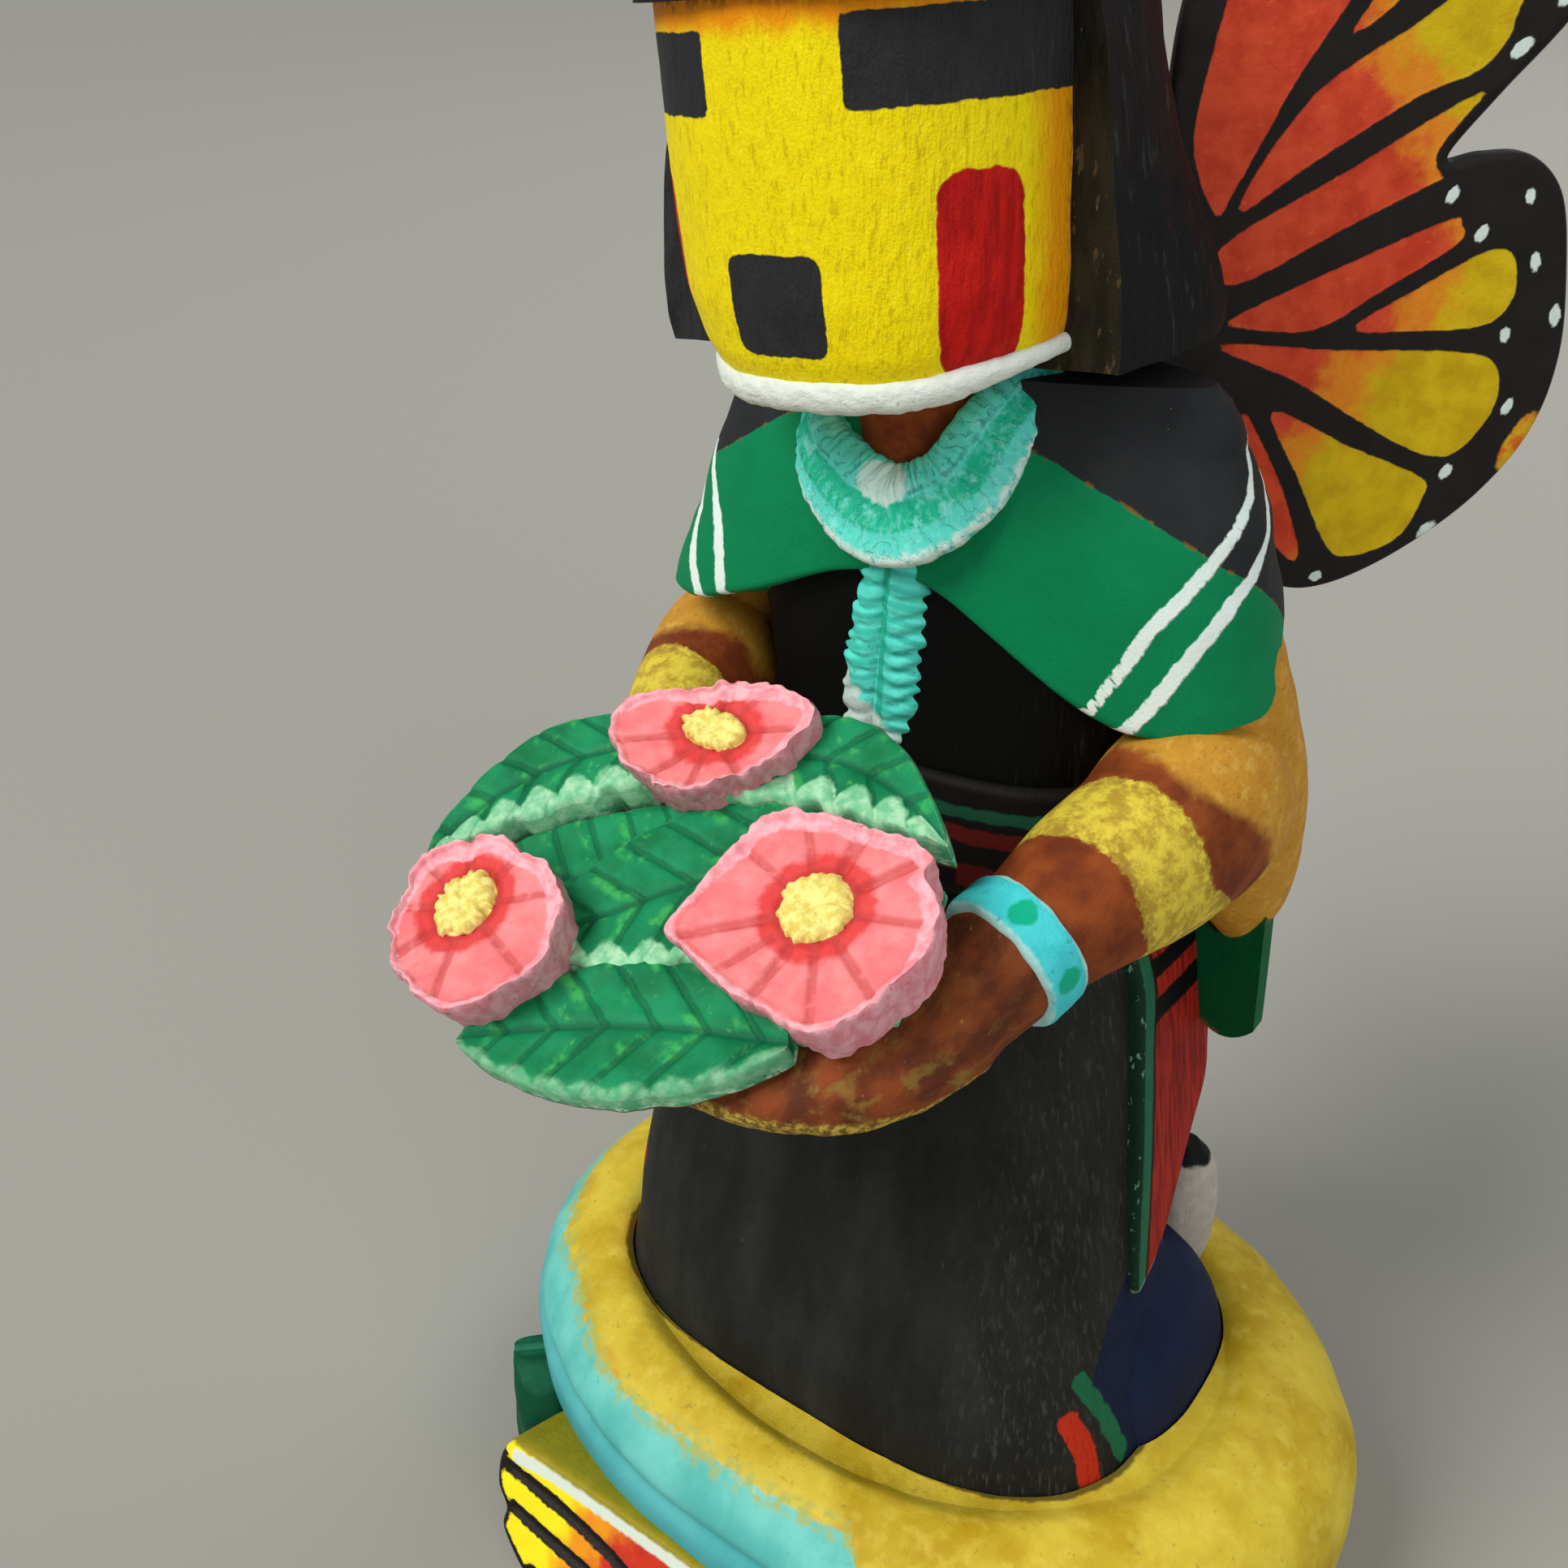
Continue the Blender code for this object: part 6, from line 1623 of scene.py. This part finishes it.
def petal_paint():
    m = painted("petals", 0.55, 0.35, brush=0.05, stretch=(1, 1, 1), size=1.0, grain=0.03)
    r, crease, rim = m.guide("pa")
    wall, cen, w = m.guide("pb")
    wob = (m.noise(2.0, 5.0, shift=2.0) - 0.5) * 2.6
    col = m.mix(m.ramp(m.noise(4.0, 4.0), 0.3, 0.7), lin("f5787c"), lin("fb9394"))
    col = m.mix(m.ramp(m.noise(1.5, 4.0, shift=5.0), 0.6, 0.75) * 0.35, col, lin("e0605f"))
    ring = 1.0 - m.ramp(r + wob, 1.9, 3.1)
    col = m.mix(ring * 0.85, col, lin("dd3634"))
    deep = 1.0 - m.ramp(r + wob * 0.5, 0.3, 1.3)
    col = m.mix(deep * 0.55, col, lin("a81e1c"))
    # painted shade: darker red in the carved creases between and within the petals
    col = m.mix((1.0 - m.ramp(crease, 0.35, 1.1)) * m.ramp(m.noise(1.6, 3.0, shift=4.0), 0.2, 0.5) * 0.6, col, lin("bd4644"))
    rimc = m.mix(m.ramp(m.noise(1.5, 4.0, shift=7.0), 0.35, 0.65), lin("f29aa6"), lin("fbc0c8"))
    col = m.mix((1.0 - m.ramp(rim + wob * 0.6, 1.9, 2.4)) * 0.85, col, rimc)
    side = m.mix(m.ramp(m.noise(1.6, 5.0, (1, 1, 0.7), 8.0), 0.36, 0.64), lin("dc8890"), lin("eaaab2"))
    side = m.mix(m.ramp(m.noise(1.0, 4.0, shift=9.0), 0.62, 0.70) * 0.6, side, lin("c26264"))
    side = m.mix(m.ramp(m.noise(1.2, 4.0, shift=12.0), 0.66, 0.74) * 0.5, side, lin("f0d2d4"))
    col = m.mix(m.ramp(wall, 0.3, 0.7), col, side)
    button = m.mix(m.ramp(m.noise(1.0, 4.0, shift=3.0), 0.38, 0.6), lin("e4cf66"), lin("f8ee8e"))
    col = m.mix(m.ramp(cen, 0.3, 0.7).max(1.0 - m.ramp(r + wob * 0.12, -0.2, 0.1)), col, button)
    return m.done(col, 0.5 + m.noise(3.0, 3.0) * 0.18)


def leaf_body(name, base, tip, half, bend, low, high, mat, front, m=110, n=64):
    a, b = np.array(base), np.array(tip)
    along = b - a
    L = np.linalg.norm(along)
    across = np.array([-along[1], along[0]]) / L
    k = np.linspace(0, 1, m)[:, None]
    t = np.sin(np.linspace(-1, 1, n) * np.pi / 2)[None]
    foot = 0.02 if name == "front" else 0.14
    w = half * np.sin(np.pi * np.minimum(k * (1 - foot) + foot, 1.0)).clip(1e-6) ** 0.75
    w = np.maximum(w, 0.25)
    seed = int(half * 100 + L)
    rag = 0.10 * noise(stack(k * L, 0 * k, 0 * k), 2.2, seed + 3, 2) + 0.05 * np.cos(2 * np.pi * 6.5 * k + 1.0)
    waves = 1.0 + np.where(t * front > 0, 0.25 if name == "front" else 1.0, 0.3) * rag * np.abs(t) ** 6
    curve = bend * np.sin(np.pi * k)
    U = a[0] + along[0] * k + across[0] * (curve + w * t * waves)
    V = a[1] + along[1] * k + across[1] * (curve + w * t * waves)
    d = w * t
    ph = ((k * L - np.abs(d) * 0.85) / VEIN) % 1.0
    groove = np.exp(-((ph - 0.5) * VEIN / 0.6) ** 2)
    rib = np.exp(-(d / 0.75) ** 2)
    flat = stack(U, V, 0 * U)
    rise = 0.55 * np.abs(t) ** 3 - 0.28 * groove * (1 - rib) - 0.45 * rib + 0.25 * noise(flat, 5.0, seed, 2)
    rise = rise - 1.3 * np.abs(t) ** 14 - 0.9 * smooth(0.93, 1.0, k) - 0.35
    top = stack(U, V, high + rise)
    under = stack(U, V, low + 0.35 * np.abs(t) ** 8 + 0 * U + 0.2)
    edge = (1.0 - np.abs(t)) * w + 0 * U
    pale = np.where(t * front > 0, 0.4 if name == "front" else 1.0, 0.12) + 0 * U
    ga = np.concatenate([stack(k * L + 0 * U, d + 0 * U, edge).reshape(-1, 3)] * 2)
    gb = np.concatenate([stack(pale, rise, 0 * U + 9.0).reshape(-1, 3), stack(pale, 0 * U - 2.0, 0 * U).reshape(-1, 3)])
    return slab(name, tray(top), tray(under), mat, lambda _: (ga, gb))


CREASES = {               # bearings of the creases between and within the petals, and their depth
    "back": ((205, 0.5), (245, 0.7), (285, 0.5), (325, 0.6), (20, 0.4), (60, 0.3), (100, 0.9), (150, 0.5)),
    "right": ((213, 0.8), (240, 0.45), (268, 0.9), (300, 0.5), (328, 0.6), (10, 0.5), (46, 0.9), (84, 0.8), (92, 0.6), (128, 0.5), (165, 0.4)),
    "left": ((250, 0.9), (290, 0.5), (340, 0.5), (25, 0.4), (70, 0.6), (120, 0.7), (165, 0.4), (205, 0.5)),
}


def blossom_body(name, centre, button, outline, mat, n=220):
    """Flat petals with a raised, ragged edge and upright sides round a rough button."""
    rim = BLOSSOM_RIM
    raw = bspline(outline, 12, closed=True)
    mid = np.array(centre)
    d = raw - mid
    bear = np.arctan2(d[:, 1], d[:, 0])
    order = np.argsort(bear)
    a = -np.pi + (np.arange(n) + 0.5) * 2 * np.pi / n
    reach = np.interp(a, bear[order], np.hypot(d[:, 0], d[:, 1])[order], period=2 * np.pi)
    bu = button[0] * button[1] / np.hypot(button[1] * np.cos(a), button[0] * np.sin(a))
    rows = []                                       # part of the way out, height, kind: wall, petal, button
    for k, w in ((0.93, -3.0), (0.955, -1.0), (0.975, 1.0), (0.99, 2.6), (1.0, rim - 1.5), (1.003, rim - 0.7), (0.99, rim - 0.2)):
        rows.append((k, w, 1.0, 0.0))
    for k in np.linspace(0.97, 0.0, 40):
        rows.append((k, rim - 0.15 - 0.9 * (1 - k) - 0.5 * smooth(0.94, 0.86, k), 0.0, 0.0))
    for k, w in ((1.0, rim - 1.2), (0.97, rim - 0.6), (0.88, rim - 0.2), (0.7, rim), (0.5, rim + 0.1), (0.3, rim - 0.05), (0.12, rim - 0.2)):
        rows.append((k, w, 0.0, 1.0))
    R = np.array(rows)
    k, w, wall, cen = (R[:, i][:, None] for i in range(4))
    r = np.where(cen > 0, bu[None] * k, np.where(wall > 0, reach[None] * k, bu[None] + (reach - bu)[None] * k))
    seed = 400 + int(abs(centre[0]) * 3)
    circ = stack(np.cos(a) * 9, np.sin(a) * 9, 0 * a)
    ripple = 0.55 * noise(circ, 1.6, seed) + 0.3 * noise(circ, 0.7, seed + 1)
    out = np.where(cen > 0, 0.0, smooth(0.3, 1.0, k) + wall * 0.2)
    r = r + ripple[None] * out.clip(0, 1) * 0.8 + cen * (k > 0.6) * 0.5 * noise(circ, 1.3, seed + 2)[None]
    U, V = mid[0] + r * np.cos(a), mid[1] + r * np.sin(a)
    flat = stack(U, V, w + 0 * U)
    crease = np.full(r.shape, 9.0)
    cut = 0.0
    for b, depth in CREASES[name]:
        off = np.abs((a - math.radians(b) + 0.05 * noise(circ * 0 + [b, 0, 0], 1.0, 5) + np.pi) % (2 * np.pi) - np.pi)
        dist = off[None] * r + 0 * r
        crease = np.minimum(crease, dist / (0.5 + 0.6 * depth))
        cut = cut + depth * np.exp(-(dist / 0.62) ** 2)
    petal = (1 - wall) * (1 - cen) * smooth(0.02, 0.15, k)
    W = w - petal * (0.75 * cut - 0.22 * noise(flat, 3.2, seed, 2) - 0.12 * noise(flat, 1.1, seed + 4))
    W = W - wall * (w > 2) * 0.5 * cut + (k > 0.9) * (1 - cen) * (w > 2) * 0.35 * noise(flat, 1.8, seed + 6, 2)
    W = W + cen * (0.55 * noise(flat, 1.25, seed + 3, 2) - 0.25)
    rough = wall * (0.5 * noise(flat, (3.2, 3.2, 1.8), seed + 5, 2) + 0.25 * noise(flat, 1.0, seed + 7))
    U, V = U + np.cos(a) * rough, V + np.sin(a) * rough
    P = tray(stack(U, V, W))
    g = stack(r - bu[None], crease, reach[None] - r + 1.3 * smooth(0.3, -0.5, np.sin(a))[None])
    h = stack(wall + 0 * U, cen + 0 * U, w + 0 * U)
    ga = np.concatenate([g.reshape(-1, 3), g[0].mean(0)[None], g[-1].mean(0)[None]])
    gb = np.concatenate([h.reshape(-1, 3), h[0].mean(0)[None], h[-1].mean(0)[None]])
    return tube("blossom_" + name, P, mat, lambda _: (ga, gb))


def build_spray():
    leaf, petal = leaf_paint(), petal_paint()
    side = {"middle": 1, "upper_left": 1, "upper_right": -1, "centre": 1, "front": 1}
    bodies = [leaf_body(name, *rest, leaf, side[name]) for name, *rest in LEAVES]
    bodies += [blossom_body(*b, petal) for b in BLOSSOMS]
    spray = merge(bodies[0], bodies[1:])
    cuts = [tube("hand_cut", limb_points(FOREARM[3:], 10, 56, s, lambda P, a: 0 * P[..., 0] + 0.55), leaf,
                 lambda V: (V * 0 + 9.0, V * 0 + [0.0, -2.0, 0.0])) for s in (1, -1)]
    return merge(spray, cuts, "DIFFERENCE", "spray_detail")


# ------------------------------------------------------------------ the wings
def wing_paint():
    m = painted("wing", 0.5, 0.4, brush=0.03, stretch=(1, 1, 1), size=0.9, grain=0.02)
    cell, s, h = m.guide("pa")
    dot, yellow, spot = m.guide("pb")
    wob = (m.noise(5.0, 4.0, shift=2.0) - 0.5) * 12.0
    fine = (m.noise(1.6, 5.0, shift=5.0) - 0.5) * 5.0
    red = m.mix(m.ramp(m.noise(3.5, 5.0, shift=1.0), 0.3, 0.7), lin("c93c22"), lin("e2512f"))
    red = m.mix(m.ramp(m.noise(1.0, 4.0, shift=6.0), 0.62, 0.74) * 0.4, red, lin("f0763a"))
    ora = m.mix(m.noise(2.0, 4.0, shift=3.0), lin("e4761c"), lin("efa024"))
    yel = m.mix(m.ramp(m.noise(4.0, 5.0, shift=4.0), 0.3, 0.7), lin("c9a408"), lin("dfc012"))
    yel = m.mix(m.ramp(m.noise(1.1, 4.0, shift=7.0), 0.64, 0.74) * 0.4, yel, lin("a98706"))
    y = yellow + wob + fine
    col = m.mix(m.ramp(y, -5.0, 0.0), red, ora)
    col = m.mix(m.ramp(y, 1.0, 6.0), col, yel)
    black = m.mix(m.noise(5.0, 4.0, shift=2.0), lin("161412"), lin("262321"))
    black = m.mix(m.ramp(m.noise(0.7, 3.0, shift=9.0), 0.76, 0.8) * 0.4, black, lin("5a5650"))
    edge = cell + (m.noise(1.4, 3.0, shift=1.0) - 0.5) * 0.45
    col = m.mix(m.ramp(edge, -0.14, 0.14), col, black)
    so = m.mix(m.ramp(m.noise(2.0, 4.0, shift=8.0), 0.35, 0.6), lin("d8691c"), lin("d9b021"))
    col = m.mix(m.inside(spot, 0.2, 0.4), col, so)
    k = m.inside(dot, 0.1, 0.22, 1.1)
    col = m.mix(k, col, m.mix(m.noise(1.0, 3.0), lin("c8dcd6"), lin("eef8f4")))
    m.bump(k * 0.12)
    m.bump((1.0 - m.ramp(edge, -0.3, 0.3)) * -0.06)
    return m.done(col, 0.46 + m.noise(4.0, 3.0) * 0.16)


def wing_guides(S):
    """Paint guides of a wing at points along it and above its root."""
    cells = [(bspline(c, 5, closed=True), y0) for c, y0 in
             [*zip(FORE_CELLS, (66.0, 40.0, 37.0, 36.0)), *zip(HIND_CELLS, (38.0, 33.0, 27.0, 27.0, 44.0))]]
    D = np.array([shape_dist(S, c) for c, _ in cells])
    near = D.argmin(0)
    r = np.hypot(S[:, 0] - WING_FOCUS[0], S[:, 1] - WING_FOCUS[1])
    y0 = np.array([y for _, y in cells])[near]
    dots = np.full(len(S), 1e3)
    for s, h, a, b, turn in WING_DOTS:
        c, n = math.cos(math.radians(turn)), math.sin(math.radians(turn))
        x, y = S[:, 0] - s, S[:, 1] - h
        dots = np.minimum(dots, (np.hypot((x * c + y * n) / a, (y * c - x * n) / b) - 1.0) * b)
    x, y = S[:, 0] - 63.6, S[:, 1] + 15.6
    c, n = math.cos(math.radians(62)), math.sin(math.radians(62))
    spot = (np.hypot((x * c + y * n) / 4.4, (y * c - x * n) / 1.7) - 1.0) * 1.7
    rim = shape_dist(S, bspline(WING, 8, closed=True)) + 1.7
    return stack(np.maximum(D.min(0), rim), S[:, 0], S[:, 1]), stack(dots, r - y0, spot)


def build_wing(name, side, paint):
    outline = bspline(WING, 8, closed=True)
    tang = np.roll(outline, -1, 0) - np.roll(outline, 1, 0)
    nrm = stack(tang[:, 1], -tang[:, 0])
    nrm /= np.linalg.norm(nrm, axis=1, keepdims=True)
    if shape_dist((outline + nrm * 0.5)[:1], outline)[0] < 0:
        nrm = -nrm
    inner = outline - nrm * 0.45
    step = 0.85
    gs = np.arange(-2.0, 70.0, step)
    gh = np.arange(-36.0, 79.0, step * 0.866)
    G = np.array([(s + (step / 2 if j % 2 else 0), h) for j, h in enumerate(gh) for s in gs])
    G = G[shape_dist(G, outline[::2]) < -1.1]
    pts = np.concatenate([inner, G])
    k = len(inner)
    vs, _, faces, *_ = delaunay_2d_cdt([Vector(p) for p in pts], [(i, (i + 1) % k) for i in range(k)], [], 1, 1e-4)
    flat = np.array([tuple(v) for v in vs])
    assert len(flat) == len(pts)
    n, half = len(flat), WING_THICK / 2
    lump = 0.10 * noise(np.c_[flat, 0 * flat[:, :1]], 6.0, 301, 2)
    L = np.concatenate([np.c_[flat, half - 0.12 + lump], np.c_[flat, -half + 0.12 + lump],
                        np.c_[outline, np.full(k, half - 0.55)], np.c_[outline, np.full(k, -half + 0.55)]])
    F = [tuple(f) for f in faces] + [tuple(n + i for i in reversed(f)) for f in faces]
    o, q = 2 * n, 2 * n + k
    area = sum((inner[i, 0] * inner[(i + 1) % k, 1] - inner[(i + 1) % k, 0] * inner[i, 1]) for i in range(k))
    for i in range(k):
        j = (i + 1) % k
        bands = [(i, o + i, o + j, j), (o + i, q + i, q + j, o + j), (q + i, n + i, n + j, q + j)]
        F += [b if area > 0 else b[::-1] for b in bands]
    if area > 0:
        fixed = []
    root = np.array(WING_ROOT)
    along = np.array([math.cos(WING_SWEEP), math.sin(WING_SWEEP), 0.0])
    out = np.array([math.sin(WING_SWEEP), -math.cos(WING_SWEEP), 0.0])
    W = root + along * L[:, :1] + np.array([0, 0, 1.0]) * L[:, 1:2] + out * L[:, 2:3]
    if side < 0:
        W[:, 0] = 2 * BODY_X - W[:, 0]
    pa, pb = wing_guides(L[:, :2])
    wing = make(name, W, F, [paint], pa=pa, pb=pb)
    bm = bmesh.new()
    bm.from_mesh(wing.data)
    bmesh.ops.recalc_face_normals(bm, faces=bm.faces)
    bm.to_mesh(wing.data)
    bm.free()
    far = lambda V: (np.full((len(V), 3), 9.0), np.full((len(V), 3), 9.0))
    cuts = [tube("cape_cut", cape_points(GAP, 40, 160), paint, far), slab("tail_cut", *tail_points(GAP, 70, 50), paint, far),
            tube("hair_cut", hair_points(GAP, 70, 140), paint, far)]
    return merge(wing, cuts, "DIFFERENCE", name)


# ------------------------------------------------------------------ put together
def keep_in(obj, node):
    """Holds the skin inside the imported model's extent."""
    lo, hi = CAD_BOX
    me = obj.data
    co = np.zeros(len(me.vertices) * 3, np.float32)
    me.vertices.foreach_get("co", co)
    co = co.reshape(-1, 3)
    co = np.clip(co, np.array(lo) + 2e-6, np.array(hi) - 2e-6)
    me.vertices.foreach_set("co", co.ravel())
    me.update()


pieces = {
    "figure": (build_figure(), "figure"),
    "swirl_base": (build_base(), "swirl_base"),
    "flower_spray": (build_spray(), "flower_spray"),
}
WING_MAT = wing_paint()
pieces["wing_left"] = (build_wing("wing_left_detail", 1.0, WING_MAT), "wing")
pieces["wing_right"] = (build_wing("wing_right_detail", -1.0, WING_MAT), "wing")
for node, (obj, slot) in pieces.items():
    keep_in(obj, node)
    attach(obj, "root")
    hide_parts(node)
    print(node, len(obj.data.polygons), "faces", sum(len(p.vertices) - 2 for p in obj.data.polygons), "triangles")

# ------------------------------------------------------------------ floor, light, camera
scene = bpy.context.scene
floor = bpy.data.meshes.new("floor")
floor.from_pydata([(-9, -9, 0), (9, -9, 0), (9, 9, 0), (-9, 9, 0)], [], [(0, 1, 2, 3)])
floor_mat = bpy.data.materials.new("floor")
floor_mat.use_nodes = True
fb = floor_mat.node_tree.nodes["Principled BSDF"]
fb.inputs["Base Color"].default_value = (0.34, 0.335, 0.30, 1.0)
fb.inputs["Roughness"].default_value = 0.9
floor.materials.append(floor_mat)
floor_obj = bpy.data.objects.new("floor", floor)
floor_obj.location.z = -0.0002
scene.collection.objects.link(floor_obj)


def area_light(name, loc, target, size, power, colour=(1, 1, 1)):
    lamp = bpy.data.lights.new(name, "AREA")
    lamp.shape, lamp.size, lamp.energy, lamp.color = "DISK", size, power, colour
    o = bpy.data.objects.new(name, lamp)
    o.location = loc
    o.rotation_mode = "QUATERNION"
    o.rotation_quaternion = (Vector(target) - Vector(loc)).to_track_quat("-Z", "Y")
    scene.collection.objects.link(o)


sun = bpy.data.lights.new("key", "SUN")
sun.energy, sun.angle, sun.color = 2.5, math.radians(30.0), (1.0, 0.985, 0.95)
key = bpy.data.objects.new("key", sun)
key.rotation_mode = "QUATERNION"
key.rotation_quaternion = Vector((0.90, 1.60, -1.96)).to_track_quat("-Z", "Y")
scene.collection.objects.link(key)
area_light("fill", (2.20, -1.20, 1.40), (0, 0, 0.14), 2.0, 22.0, (0.97, 0.98, 1.0))
area_light("rim", (0.60, 2.10, 2.00), (0, 0, 0.18), 1.5, 18.0)
world = bpy.data.worlds.new("studio")
world.use_nodes = True
world.node_tree.nodes["Background"].inputs[0].default_value = (0.86, 0.88, 0.90, 1.0)
world.node_tree.nodes["Background"].inputs[1].default_value = 0.34
scene.world = world
scene.view_settings.view_transform = "Standard"

cam_data = bpy.data.cameras.new("camera")
cam_data.sensor_width, cam_data.lens, cam_data.clip_start = 36.0, 1935.0 / 1932.0 * 36.0, 0.005
cam = bpy.data.objects.new("camera", cam_data)
a, p, r = math.radians(38.0), math.radians(30.0), math.radians(2.5)
h = Vector((-math.sin(a), math.cos(a), 0.0))
right = Vector((math.cos(a), math.sin(a), 0.0))
up = Vector((0.0, 0.0, 1.0))
look = h * math.cos(p) - up * math.sin(p)
tip = h * math.sin(p) + up * math.cos(p)
side, top = right * math.cos(r) - tip * math.sin(r), right * math.sin(r) + tip * math.cos(r)
cam.matrix_world = (Matrix.Translation((h * -190.0 + right * -15.0 + up * 250.0) * MM)
                    @ Matrix((side, top, -look)).transposed().to_4x4())
scene.collection.objects.link(cam)
scene.camera = cam
